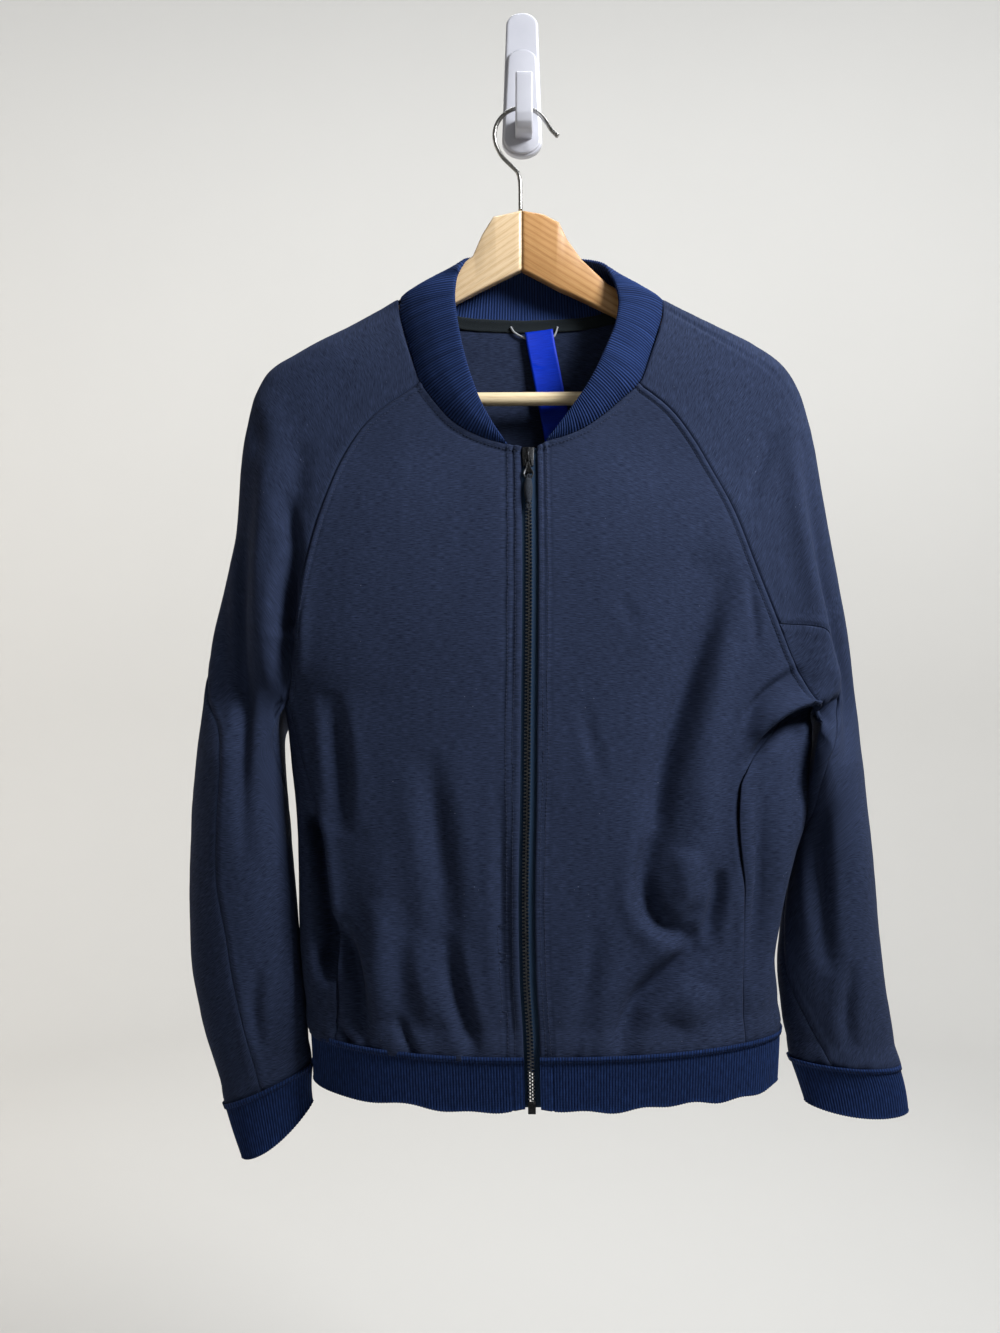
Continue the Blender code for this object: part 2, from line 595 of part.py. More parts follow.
def front_patch(side):
    """A front: bottom edge along the hem seam, right edge up the side seam and the raglan seam."""
    sign = SIDES[side]
    edge_x = sign * ZIP_EDGE[side]
    seam_x = sign * at(SIDE_SEAMS[side], HEM_SEAM_Z).front_x
    right = side_seam_points(side, "front") + [
        raglan(side, 1 - step / SHOULDER_ROWS, "front") for step in range(1, SHOULDER_ROWS + 1)
    ]
    count = len(right) - 1
    neck = [neck_rows(side, index)[0] for index in neck_samples(0, NECK_JUNCTION, FRONT_SPANS - 1)]
    corner = on_body(side, at(DEPTHS, NECK_FRONT_Z).zip_x + edge_x, NECK_FRONT_Z, "front")
    top = [corner] + neck
    bottom = hem_samples(side, "front")
    lengths = running_lengths(right)
    rows = []
    for row in range(count + 1):
        up = lengths[row]
        z_left = bottom[0].z + (corner.z - bottom[0].z) * up
        left = Vector((at(DEPTHS, z_left).zip_x + edge_x, 0, z_left))
        line = []
        for column in range(FRONT_SPANS + 1):
            over = (bottom[column].x - bottom[0].x) / (bottom[-1].x - bottom[0].x)
            over_top = (top[column].x - top[0].x) / (top[-1].x - top[0].x)
            over = over + (over_top - over) * up
            point = (
                bottom[column] * (1 - up) + top[column] * up + left * (1 - over) + right[row] * over
                - bottom[0] * ((1 - over) * (1 - up)) - bottom[-1] * (over * (1 - up))
                - top[0] * ((1 - over) * up) - top[-1] * (over * up)
            )
            if row == 0:
                point = bottom[column]
            elif row == count:
                point = top[column]
            elif column == FRONT_SPANS:
                point = right[row]
            else:
                point = on_body(side, point.x, point.z, "front")
            line.append(point)
        rows.append(line)
    return Patch("front_" + side, rows, flip=sign < 0)


def running_lengths(points):
    steps = [0.0]
    for a, b in zip(points, points[1:]):
        steps.append(steps[-1] + (b - a).length)
    return [step / steps[-1] for step in steps]


def side_levels():
    """Shares of the way from the hem seam to the armpit, closer together near the armpit."""
    return [1 - (1 - step / SIDE_ROWS) ** 1.25 for step in range(SIDE_ROWS + 1)]


def side_seam_points(side, layer):
    points = []
    for level in side_levels():
        z = HEM_SEAM_Z + (ARMPIT_Z - HEM_SEAM_Z) * level
        seam = at(SIDE_SEAMS[side], z)
        x = SIDES[side] * (seam.front_x if layer == "front" else seam.back_x)
        turn = turn_of(side, z, x, layer)
        z += (hem_seam_z(turn) - HEM_SEAM_Z) * (1 - level) ** 2
        points.append(on_body(side, x, z, layer))
    return points


def hem_samples(side, part):
    """Points of the hem seam above one panel, from its zip-side edge to its back edge."""
    z = HEM_SEAM_Z
    zip_turn = turn_of(side, z, at(DEPTHS, z).zip_x + SIDES[side] * ZIP_EDGE[side], "front")
    seam = at(SIDE_SEAMS[side], z)
    front_turn = turn_of(side, z, SIDES[side] * seam.front_x, "front")
    back_turn = turn_of(side, z, SIDES[side] * seam.back_x, "back")
    if part == "front":
        turns = [zip_turn + (front_turn - zip_turn) * (step / FRONT_SPANS) for step in range(FRONT_SPANS + 1)]
        ends = {FRONT_SPANS: side_seam_points(side, "front")[0]}
    elif part == "side":
        turns = [front_turn + (back_turn - front_turn) * step / SIDE_SPANS for step in range(SIDE_SPANS + 1)]
        ends = {0: side_seam_points(side, "front")[0], SIDE_SPANS: side_seam_points(side, "back")[0]}
    else:
        half = BACK_SPANS // 2
        turns = [back_turn + (2 - back_turn) * step / half for step in range(half + 1)]
        ends = {0: side_seam_points(side, "back")[0]}
    points = [body_point(side, hem_seam_z(turn), turn) for turn in turns]
    for index, point in ends.items():
        points[index] = point
    return points


def side_patch(side):
    front, back = side_seam_points(side, "front"), side_seam_points(side, "back")
    rows = []
    for row, (start, end) in enumerate(zip(front, back)):
        first = turn_of(side, start.z, start.x, "front")
        last = turn_of(side, end.z, end.x, "back")
        line = []
        for column in range(SIDE_SPANS + 1):
            share = column / SIDE_SPANS
            turn = first + (last - first) * share
            line.append(body_point(side, start.z + (end.z - start.z) * share, turn))
        line[0], line[-1] = start, end
        if row == 0:
            line = hem_samples(side, "side")
        rows.append(line)
    return Patch("side_panel_" + side, rows, flip=SIDES[side] < 0)


def back_patch():
    """The back, from its right-hand side seam to its left-hand one, seen from inside."""
    edges = {}
    for side in SIDES:
        edges[side] = side_seam_points(side, "back") + [
            raglan(side, 1 - step / SHOULDER_ROWS, "back") for step in range(1, SHOULDER_ROWS + 1)
        ]
    half = BACK_SPANS // 2
    tops, bottoms = {}, {}
    for side in SIDES:
        indices = neck_samples(NECK_BACK, NECK_CENTRE, half)
        tops[side] = [neck_rows(side, index)[0] for index in indices]
        bottoms[side] = hem_samples(side, "back")
    lengths = running_lengths(edges["left"])
    rows = []
    for row in range(len(edges["left"])):
        up = lengths[row]
        line = []
        for side in SIDES:
            centre = bottoms[side][-1].lerp(tops[side][-1], up)
            part = []
            for column in range(half + 1):
                share = column / half
                point = (
                    bottoms[side][column] * (1 - up) + tops[side][column] * up
                    + edges[side][row] * (1 - share) + centre * share
                    - bottoms[side][0] * ((1 - share) * (1 - up)) - bottoms[side][-1] * (share * (1 - up))
                    - tops[side][0] * ((1 - share) * up) - tops[side][-1] * (share * up)
                )
                if row == 0:
                    point = bottoms[side][column]
                elif row == len(edges[side]) - 1:
                    point = tops[side][column]
                elif column == 0:
                    point = edges[side][row]
                else:
                    point = on_body(side, point.x, point.z, "back")
                part.append(point)
            line.append(part)
        rows.append(line[0] + line[1][-2::-1])
    return Patch("back", rows, flip=False)


def sleeve_stations():
    shoulder = [step / SHOULDER_ROWS for step in range(SHOULDER_ROWS)]
    return shoulder + [1 + step / TUBE_ROWS for step in range(TUBE_ROWS + 1)]


def seam_quarters(side, row, station):
    """Quarters of the front and back sleeve seams at a row."""
    seam = at(SLEEVE_SEAMS[side], station)
    front = 0.0 if row <= FRONT_LEG_ROW[side] else seam.front
    back = 2.0 if row <= BACK_LEG_ROW[side] else seam.back
    return front, back


def upper_sleeve_patch(side):
    rows = []
    for row, station in enumerate(sleeve_stations()):
        front, back = seam_quarters(side, row, station)
        line = [
            sleeve_point(side, station, front + (back - front) * step / SLEEVE_SPANS)
            for step in range(SLEEVE_SPANS + 1)
        ]
        rows.append(line)
    return Patch("sleeve_upper_" + side, rows, flip=SIDES[side] > 0)


def under_sleeve_patch(side):
    """The under sleeve: a leg each side of the armpit, joined below it."""
    front_spans, back_spans = FRONT_LEG_SPANS[side], BACK_LEG_SPANS[side]
    spans = back_spans + SIDE_SPANS + front_spans
    armpit = side_patch(side)
    crotch = [armpit.points[vertex] for vertex in armpit.grid[-1]][::-1]
    rows = []
    for row, station in enumerate(sleeve_stations()):
        if row < min(FRONT_LEG_ROW[side], BACK_LEG_ROW[side]):
            continue
        front, back = seam_quarters(side, row, station)
        line = [None] * (spans + 1)
        if row <= SHOULDER_ROWS:
            if row >= BACK_LEG_ROW[side]:
                for step in range(back_spans + 1):
                    line[step] = sleeve_point(side, station, back + (2 - back) * step / max(back_spans, 1))
            if front_spans and row >= FRONT_LEG_ROW[side]:
                for step in range(front_spans + 1):
                    quarter = 4 + front * step / front_spans
                    line[back_spans + SIDE_SPANS + step] = sleeve_point(side, station, quarter)
            if row == SHOULDER_ROWS:
                for step, point in enumerate(crotch):
                    line[back_spans + step] = point
        else:
            blend = clamp((station - 1) / 0.3, 0, 1)
            for step in range(spans + 1):
                even = back + (4 + front - back) * step / spans
                if step <= back_spans:
                    held = back + (2 - back) * step / max(back_spans, 1)
                elif step <= back_spans + SIDE_SPANS:
                    held = 2 + (min(4, 4 + front) - 2) * (step - back_spans) / SIDE_SPANS
                else:
                    held = 4 + front * (step - back_spans - SIDE_SPANS) / max(front_spans, 1)
                line[step] = sleeve_point(side, station, held + (even - held) * blend)
        rows.append(line)
    return Patch("sleeve_under_" + side, rows, flip=SIDES[side] > 0)


def collar_patch():
    """Collar from the left zip end round the back to the right zip end, seam row first."""
    spans = {
        "left": neck_samples(0, NECK_JUNCTION, FRONT_SPANS - 1)[:-1] + shoulder_samples()
        + neck_samples(NECK_BACK, NECK_CENTRE, BACK_SPANS // 2)[1:],
    }
    columns = [("left", index) for index in spans["left"]]
    columns += [("right", index) for index in reversed(spans["left"][:-1])]
    heights = [0, 0.5, 1]
    rows = [[] for _ in heights]
    for side, index in columns:
        seam, top = neck_rows(side, index)
        ahead, _ = neck_rows(side, min(index + 0.1, NECK_CENTRE))
        behind, _ = neck_rows(side, max(index - 0.1, 0))
        outward = (ahead - behind).cross(top - seam).normalized() * SIDES[side]
        for line, height in zip(rows, heights):
            bulge = COLLAR_BULGE * 4 * height * (1 - height) * clamp((top - seam).length / 30, 0, 1)
            line.append(seam.lerp(top, height) + outward * bulge)
    return Patch("collar_rib", rows, flip=False)


def shoulder_samples():
    half = SLEEVE_SPANS // 2
    front = neck_samples(NECK_JUNCTION, NECK_SHOULDER, half)
    return front + neck_samples(NECK_SHOULDER, NECK_BACK, half)[1:]


def hem_patch():
    """Hem band from the left zip edge round the back to the right zip edge, seam row first."""
    columns = []
    for side in SIDES:
        ring = hem_samples(side, "front") + hem_samples(side, "side")[1:] + hem_samples(side, "back")[1:]
        columns.append([(side, point) for point in ring])
    ring = columns[0] + columns[1][-2::-1]
    rows = [[point for _, point in ring]]
    for share in HEM_LEVELS:
        line = []
        for number, (side, point) in enumerate(ring):
            layer = "front" if point.y < at(BREADTHS[side], point.z).side_y else "back"
            turn = turn_of(side, point.z, point.x, layer)
            wave = HEM_WAVE * math.sin(number * HEM_WAVE_STEP) * share
            line.append(body_point(side, point.z - HEM_HEIGHT * share + wave, turn))
        rows.append(line)
    return Patch("hem_rib", rows, flip=True)


def cuff_patch(side, upper, under):
    """Cuff below the sleeve's end, from the seam row down; the ring is closed."""
    ring = upper.grid[-1], under.grid[-1]
    points = [upper.points[vertex] for vertex in ring[0]] + [under.points[vertex] for vertex in ring[1]][1:]
    front, back = seam_quarters(side, len(sleeve_stations()) - 1, 2.0)
    spans = len(ring[1]) - 1
    quarters = [front + (back - front) * step / SLEEVE_SPANS for step in range(SLEEVE_SPANS + 1)]
    quarters += [back + (4 + front - back) * step / spans for step in range(1, spans + 1)]
    rows = [points]
    for row in CUFFS[side]:
        rows.append([cuff_point(side, row, quarter) for quarter in quarters])
    return Patch("cuff_" + side, rows, flip=SIDES[side] > 0)


def weld_normals(patches, side_panels):
    """Gives points that lie together one normal, so that the walls either side of a seam agree."""
    sums = {}
    for patch in patches:
        patch.keys = [place_key(point) for point in patch.points]
        for key, normal in zip(patch.keys, patch.face_normals()):
            sums[key] = sums.get(key, Vector()) + normal
    for patch in side_panels:
        top = patch.grid[-1]
        for vertex in top:
            pull = ARMPIT_CORNER_PULL if vertex in (top[0], top[-1]) else ARMPIT_PULL
            sums[patch.keys[vertex]] += Vector((0, 0, -pull))
    for patch in patches:
        patch.normals = [sums[key].normalized() for key in patch.keys]


# ---------------------------------------------------------------- solids
def wall_mesh(patch, wall):
    """Points and faces of the closed wall behind a patch's outer face."""
    count = len(patch.points)
    points = list(patch.points)
    points += [point - normal * wall for point, normal in zip(patch.points, patch.normals)]
    faces = []
    for ring in patch.faces:
        for corners in split_ring(patch, ring):
            faces += [corners, [vertex + count for vertex in reversed(corners)]]
    for a, b in patch.rim_edges():
        if patch.keys[a] < patch.keys[b]:
            faces += [[b, a, b + count], [a, a + count, b + count]]
        else:
            faces += [[b, a, a + count], [b, a + count, b + count]]
    return points, faces


def split_ring(patch, ring):
    """Triangles of a face, cut along the diagonal whose triangles lean least from their normals.

    Both faces of a wall are cut by the same diagonal, so they cannot meet on a twisted face.
    """
    if len(ring) == 3:
        return [ring]
    a, b, c, d = ring
    cuts = ([[a, b, c], [a, c, d]], [[a, b, d], [b, c, d]])
    return max(cuts, key=lambda cut: min(facing(patch, corners) for corners in cut))


def facing(patch, corners):
    """Least agreement between a triangle's own normal and the normals of its corners."""
    a, b, c = [patch.points[vertex] for vertex in corners]
    across = (b - a).cross(c - a).normalized()
    return min(across.dot(patch.normals[vertex]) for vertex in corners)


def ribbed_mesh(patch, wall, closed):
    """A knitted band: fine ribs raised in the outer face over a plain inner face."""
    rows = patch.grid
    columns = len(rows[0]) - 1
    middle = rows[len(rows) // 2]
    length = sum((patch.points[a] - patch.points[b]).length for a, b in zip(middle, middle[1:]))
    ribs = round(length / RIB_PITCH)
    steps = running_lengths([patch.points[vertex] for vertex in middle])
    places = []
    for step in range(2 * ribs + 1):
        share = step / (2 * ribs)
        first = min(bisect_right(steps, share) - 1, columns - 1)
        places.append(first + (share - steps[first]) / (steps[first + 1] - steps[first]))
    dense = len(places) - 1 if closed else len(places)
    coarse = columns if closed else columns + 1
    points, faces = [], []
    for row, line in enumerate(rows):
        raised = RIB_RELIEF if 0 < row < len(rows) - 1 else 0.0
        for number in range(dense):
            first = min(int(places[number]), columns - 1)
            share = places[number] - first
            low, high = line[first], line[first + 1]
            point = patch.points[low].lerp(patch.points[high], share)
            normal = patch.normals[low].lerp(patch.normals[high], share)
            points.append(point + normal * (raised if number % 2 else 0.0))
    inner = len(points)
    for line in rows:
        for vertex in line[:coarse]:
            points.append(patch.points[vertex] - patch.normals[vertex] * wall)
    turned = outward_turn(patch)

    def quad(a, b, c, d):
        faces.append([a, b, c, d] if turned else [d, c, b, a])

    for row in range(len(rows) - 1):
        for number in range(dense if closed else dense - 1):
            after = (number + 1) % dense
            quad(row * dense + number, row * dense + after, (row + 1) * dense + after, (row + 1) * dense + number)
        for number in range(coarse if closed else coarse - 1):
            after = (number + 1) % coarse
            base, above = inner + row * coarse, inner + (row + 1) * coarse
            quad(above + number, above + after, base + after, base + number)
        if not closed:
            base, above = inner + row * coarse, inner + (row + 1) * coarse
            quad(base, row * dense, (row + 1) * dense, above)
            quad((row + 1) * dense - 1, base + coarse - 1, above + coarse - 1, (row + 2) * dense - 1)
    for row, side in ((0, True), (len(rows) - 1, False)):
        strip(faces, row * dense, dense, places, inner + row * coarse, coarse, columns, side == turned, closed)
    return points, faces


def outward_turn(patch):
    """Whether rows then columns of a patch's grid turn outward."""
    ring = patch.faces[0]
    low, high = patch.grid[0], patch.grid[1]
    return ring == [low[0], low[1], high[1], high[0]]


def strip(faces, outer, dense, places, inner, coarse, columns, keep, closed):
    """Triangles between a fine line of points and a coarse one beside it."""
    fine_steps = len(places) - 1
    i = j = 0
    while i < fine_steps or j < columns:
        ahead = places[i + 1] if i < fine_steps else 1e9
        if ahead <= j + 1 or j >= columns:
            ring = [outer + i % dense, inner + j % coarse, outer + (i + 1) % dense]
            i += 1
        else:
            ring = [outer + i % dense, inner + j % coarse, inner + (j + 1) % coarse]
            j += 1
        if len(set(ring)) == 3:
            faces.append(ring if keep else ring[::-1])


def add_material(name, colour, roughness, metallic=0.0):
    material = bpy.data.materials.new(name)
    material.use_nodes = True
    shader = material.node_tree.nodes["Principled BSDF"]
    shader.inputs["Base Color"].default_value = (*colour, 1)
    shader.inputs["Roughness"].default_value = roughness
    shader.inputs["Metallic"].default_value = metallic
    material.diffuse_color = (*colour, 1)
    return material


def add_solid(name, points, faces, material, smooth=True):
    """A closed mesh object from points in millimetres."""
    mesh = bpy.data.meshes.new(name)
    mesh.from_pydata([point * MM for point in points], [], faces)
    mesh.materials.append(material)
    mesh.validate()
    if smooth:
        mesh.shade_smooth()
        mesh.set_sharp_from_angle(angle=math.radians(40))
    part = bpy.data.objects.new(name, mesh)
    bpy.context.scene.collection.objects.link(part)
    return part


def add_loft(name, rings, material, smooth=True):
    """A closed solid through rings of points, capped at both ends."""
    count = len(rings[0])
    points = [point for ring in rings for point in ring]
    faces = []
    for level in range(len(rings) - 1):
        for step in range(count):
            after = (step + 1) % count
            a, b = level * count + step, level * count + after
            faces.append([a, b, b + count, a + count])
    faces.append(list(range(count))[::-1])
    faces.append([(len(rings) - 1) * count + step for step in range(count)])
    part = add_solid(name, points, faces, material, smooth)
    make_outward(part)
    return part


def make_outward(part):
    shape = bmesh.new()
    shape.from_mesh(part.data)
    bmesh.ops.recalc_face_normals(shape, faces=shape.faces)
    shape.to_mesh(part.data)
    shape.free()


def box_ring(half_x, near_y, far_y, z, centre_x=0.0, bevel=0.5):
    """Eight points of a bevelled rectangle lying level at z."""
    left, right = centre_x - half_x, centre_x + half_x
    return [
        Vector((left + bevel, near_y, z)), Vector((right - bevel, near_y, z)),
        Vector((right, near_y + bevel, z)), Vector((right, far_y - bevel, z)),
        Vector((right - bevel, far_y, z)), Vector((left + bevel, far_y, z)),
        Vector((left, far_y - bevel, z)), Vector((left, near_y + bevel, z)),
    ]


def prism(name, outline, start, end, material):
    """A flat outline swept from one offset to another; smooth shading stays off."""
    rings = [[point + start for point in outline], [point + end for point in outline]]
    return add_loft(name, rings, material, smooth=False)


def fuse(part, extra):
    """Joins another solid to a part with a Boolean union."""
    union = part.modifiers.new(extra.name, "BOOLEAN")
    union.operation = "UNION"
    union.object = extra
    extra.hide_render = True
    extra.display_type = "WIRE"


def add_tube(name, route, radius, material, spacing):
    """A wire or cord as a curve with a round section, through a smooth route."""
    curve = bpy.data.curves.new(name, "CURVE")
    curve.dimensions = "3D"
    curve.bevel_depth = radius * MM
    curve.bevel_resolution = 2
    curve.use_fill_caps = True
    curve.render_resolution_u = 0
    points = smooth_route([Vector(point) for point in route], spacing)
    line = curve.splines.new("POLY")
    line.points.add(len(points) - 1)
    for slot, point in zip(line.points, points):
        slot.co = (*(point * MM), 1)
    curve.materials.append(material)
    part = bpy.data.objects.new(name, curve)
    bpy.context.scene.collection.objects.link(part)
    return part


def smooth_route(points, spacing):
    """Catmull-Rom points through a route, about evenly spaced."""
    padded = [points[0] * 2 - points[1], *points, points[-1] * 2 - points[-2]]
    route = [points[0]]
    for before, start, end, after in zip(padded, padded[1:], padded[2:], padded[3:]):
        steps = max(1, round((end - start).length / spacing))
        for step in range(1, steps + 1):
            t = step / steps
            route.append(
                (start * 2 + (end - before) * t + (before * 2 - start * 5 + end * 4 - after) * t ** 2
                 + (start * 3 - before - end * 3 + after) * t ** 3) / 2
            )
    return route


# ---------------------------------------------------------------- hanger and wall hook
def arm_depth(x):
    """Depth of an arm's middle: straight near the hub, then coming forward with the shoulder."""
    return ARM_DEPTH - ARM_SWEEP * clamp((x - ARM_SWEEP_START) / (ARM_SWEEP_END - ARM_SWEEP_START), 0, 1)


def headroom(cloth, x, y, floor):
    """The highest that the hanger may reach at x and y without touching the cloth above it."""
    spot, normal, _, _ = cloth.ray_cast(Vector((x, y, floor)), Vector((0, 0, 1)))
    if spot is None:
        return math.inf
    return spot.z - (RIB_WALL + HANGER_CLEARANCE) / max(abs(normal.z), 0.2)


def add_hanger(materials, patches):
    points, faces = [], []
    for patch in patches:
        faces += [[vertex + len(points) for vertex in ring] for ring in patch.faces]
        points += patch.points
    cloth = BVHTree.FromPolygons(points, faces)
    half = ARM_THICK / 2
    crown = [(-half, half), (-0.7 * half, 0.3 * half), (0, 0), (0.7 * half, 0.3 * half), (half, half)]
    for side, sign in SIDES.items():
        rings = []
        for row in ARMS[side]:
            x = HUB_GAP_X + sign * (row.x if row.x else SEAM_GAP / 2)
            middle = arm_depth(row.x)
            section = []
            for offset, drop in crown:
                limit = headroom(cloth, x, middle + offset, row.bottom)
                section.append((offset, min(row.top - drop, limit)))
            section += [
                (half, row.bottom + 2), (half - 2, row.bottom), (2 - half, row.bottom), (-half, row.bottom + 2),
            ]
            rings.append([Vector((x, middle + y, z)) for y, z in section])
        add_loft("hanger_arm_" + side, rings, materials["wood_" + side])
    ends = [
        Vector((-BAR_END["right"], arm_depth(BAR_END["right"]), BAR_Z["right"])),
        Vector((BAR_END["left"], arm_depth(BAR_END["left"]), BAR_Z["left"])),
    ]
    rings = [
        [end + Vector((0, BAR_RADIUS * math.cos(t * math.pi / 8), BAR_RADIUS * math.sin(t * math.pi / 8)))
         for t in range(16)]
        for end in ends
    ]
    add_loft("hanger_bar", rings, materials["wood_bar"])
    add_tube("hanger_wire", WIRE_ROUTE, WIRE_RADIUS, materials["steel"], spacing=4.4)


def plate_outline(top_z, bottom_z, margin, y):
    """A tapered plate with round ends, in the plane y."""
    top_half, bottom_half = PLATE_TOP_HALF - margin, PLATE_BOTTOM_HALF - margin
    points = []
    for step in range(9):
        angle = math.pi * step / 8
        points.append(Vector((bottom_half * math.cos(angle), y, bottom_z + bottom_half * 0.8 * (1 - math.sin(angle)))))
    for step in range(9):
        angle = math.pi * step / 8
        points.append(Vector((-top_half * math.cos(angle), y, top_z - top_half * 0.8 * (1 - math.sin(angle)))))
    return points


def add_wall_hook(materials):
    outline = plate_outline(PLATE_TOP_Z, PLATE_BOTTOM_Z, 0, 0)
    edge = plate_outline(PLATE_TOP_Z - 1.2, PLATE_BOTTOM_Z + 1.2, 1.2, 0)
    front = [point + Vector((0, -PLATE_THICK + 1.2, 0)) for point in outline]
    face = [point + Vector((0, -PLATE_THICK, 0)) for point in edge]
    add_loft("wall_plate", [outline, front, face], materials["white plastic"])
    panel_y = -PLATE_THICK - SEAM_GAP
    outline = plate_outline(PANEL_TOP_Z, PLATE_BOTTOM_Z + PANEL_MARGIN, PANEL_MARGIN, panel_y)
    prong = prism(
        "wall_prong", outline, Vector(), Vector((0, -PANEL_THICK, 0)), materials["white plastic"]
    )
    profile = [Vector((0, y, z)) for y, z in PRONG_PROFILE]
    tongue = prism(
        "prong_tongue", profile, Vector((PRONG_RIGHT_X, 0, 0)), Vector((PRONG_LEFT_X, 0, 0)),
        materials["white plastic"],
    )
    fuse(prong, tongue)


# ---------------------------------------------------------------- zip
def zip_place(z):
    """The zip's centre line: x, and the depth of the fronts' outer face."""
    depth = at(DEPTHS, z)
    return depth.zip_x, depth.front_y


def add_zip(materials):
    for side, sign in SIDES.items():
        rows = []
        for step in range(TAPE_ROWS + 1):
            z = TAPE_BOTTOM_Z + (TAPE_TOP_Z - TAPE_BOTTOM_Z) * step / TAPE_ROWS
            x, y = zip_place(z)
            wall = RIB_WALL if z < HEM_SEAM_Z + 4 else CLOTH_WALL
            line = []
            for out in (CHAIN_WIDTH / 2 + SEAM_GAP, CHAIN_WIDTH / 2 + SEAM_GAP + TAPE_WIDTH):
                line.append(Vector((x + sign * out, y + wall + 0.45, z)))
            rows.append(line)
        tape = Patch("zip_tape_" + side, rows, flip=sign < 0)
        weld_normals([tape], [])
        points, faces = wall_mesh(tape, TAPE_WALL)
        add_solid(tape.name, points, faces, materials["zip tape"])
    rings = []
    for step in range(TAPE_ROWS + 1):
        z = CHAIN_BOTTOM_Z + (CHAIN_TOP_Z - CHAIN_BOTTOM_Z) * step / TAPE_ROWS
        x, y = zip_place(z)
        rings.append(box_ring(CHAIN_WIDTH / 2, y - 0.4, y - 0.4 + CHAIN_THICK, z, x, 0.4))
    add_loft("zip_chain", rings, materials["zip metal"])
    x, y = zip_place(-892)
    rings = [box_ring(3.3, y - 1.6, y + 2.1, z, x) for z in (-897.6, CHAIN_BOTTOM_Z - SEAM_GAP)]
    add_loft("zip_box", rings, materials["zip metal"], smooth=False)


def add_slider(materials):
    rings = []
    height = SLIDER_TOP_Z - SLIDER_BOTTOM_Z
    for share, half in ((0, 3.4), (0.3, 4.4), (0.75, 4.9), (1, 4.0)):
        z = SLIDER_BOTTOM_Z + height * share
        x, y = zip_place(z)
        rings.append(box_ring(half, y - SLIDER_PROUD, y + 1.6, z, x))
    slider = add_loft("zip_slider", rings, materials["zip metal"], smooth=False)
    x, y = zip_place(PIVOT_Z)
    pivot = Vector((x, y - PIVOT_PROUD, PIVOT_Z))
    for name, sign in SIDES.items():
        outline = [Vector((0, dy, dz)) for dy, dz in ((-1.3, -1.2), (-1.3, 1.2), (2.2, 2.2), (2.2, -1.4))]
        near, far = Vector((sign * 2.3, 0, 0)), Vector((sign * 3.2, 0, 0))
        ear = prism("slider_ear_" + name, outline, pivot + near, pivot + far, materials["zip metal"])
        fuse(slider, ear)
    return pivot


def add_pull(materials, pivot):
    """The pull tab, its crossbar on the pivot, lying along the zip; and the cord tied to it."""
    slope = (zip_place(PIVOT_Z - 40)[1] - zip_place(PIVOT_Z)[1]) / 40
    down = Vector((0, slope, -1)).normalized()
    front = Vector((0, down.z, -down.y)).normalized()
    half = TAB_WIDTH / 2
    outline = [Vector((-1.9, 0, 0)) + down * -0.6, Vector((1.9, 0, 0)) + down * -0.6]
    outline += [Vector((2.0, 0, 0)) + down * 5, Vector((half, 0, 0)) + down * 8.5]
    for step in range(1, 8):
        angle = math.pi * step / 8
        outline.append(
            Vector((half * math.cos(angle), 0, 0)) + down * (TAB_LENGTH - half + half * math.sin(angle))
        )
    outline += [Vector((-half, 0, 0)) + down * 8.5, Vector((-2.0, 0, 0)) + down * 5]
    tab = prism(
        "pull_tab", outline, pivot - front * (TAB_THICK / 2), pivot + front * (TAB_THICK / 2),
        materials["zip metal"],
    )
    hole = add_cylinder("tab_hole", pivot + down * 11.6, front, 1.7, 6, materials["zip metal"])
    cut = tab.modifiers.new("eye", "BOOLEAN")
    cut.operation = "DIFFERENCE"
    cut.object = hole
    hole.hide_render = True
    hole.display_type = "WIRE"
    start = pivot + down * (TAB_LENGTH + SEAM_GAP)
    rings = []
    for share, width, depth in ((0, 1.6, 1.4), (0.12, 3.2, 2.0), (0.5, 3.6, 2.2), (0.74, 3.3, 2.0),
                                (0.8, 1.8, 1.4), (0.93, 2.4, 1.5), (1, 1.2, 0.8)):
        middle = start + down * (CORD_LENGTH * share)
        rings.append([
            middle + Vector((width * math.cos(t * math.pi / 5), 0, 0)) + front * (depth * math.sin(t * math.pi / 5))
            for t in range(10)
        ])
    add_loft("pull_cord", rings, materials["cord"])


def add_cylinder(name, middle, axis, radius, length, material):
    across = Vector((1, 0, 0))
    up = axis.cross(across).normalized()
    rings = [
        [middle + axis * end + across * (radius * math.cos(t * math.pi / 8)) + up * (radius * math.sin(t * math.pi / 8))
         for t in range(16)]
        for end in (-length / 2, length / 2)
    ]
    return add_loft(name, rings, material)


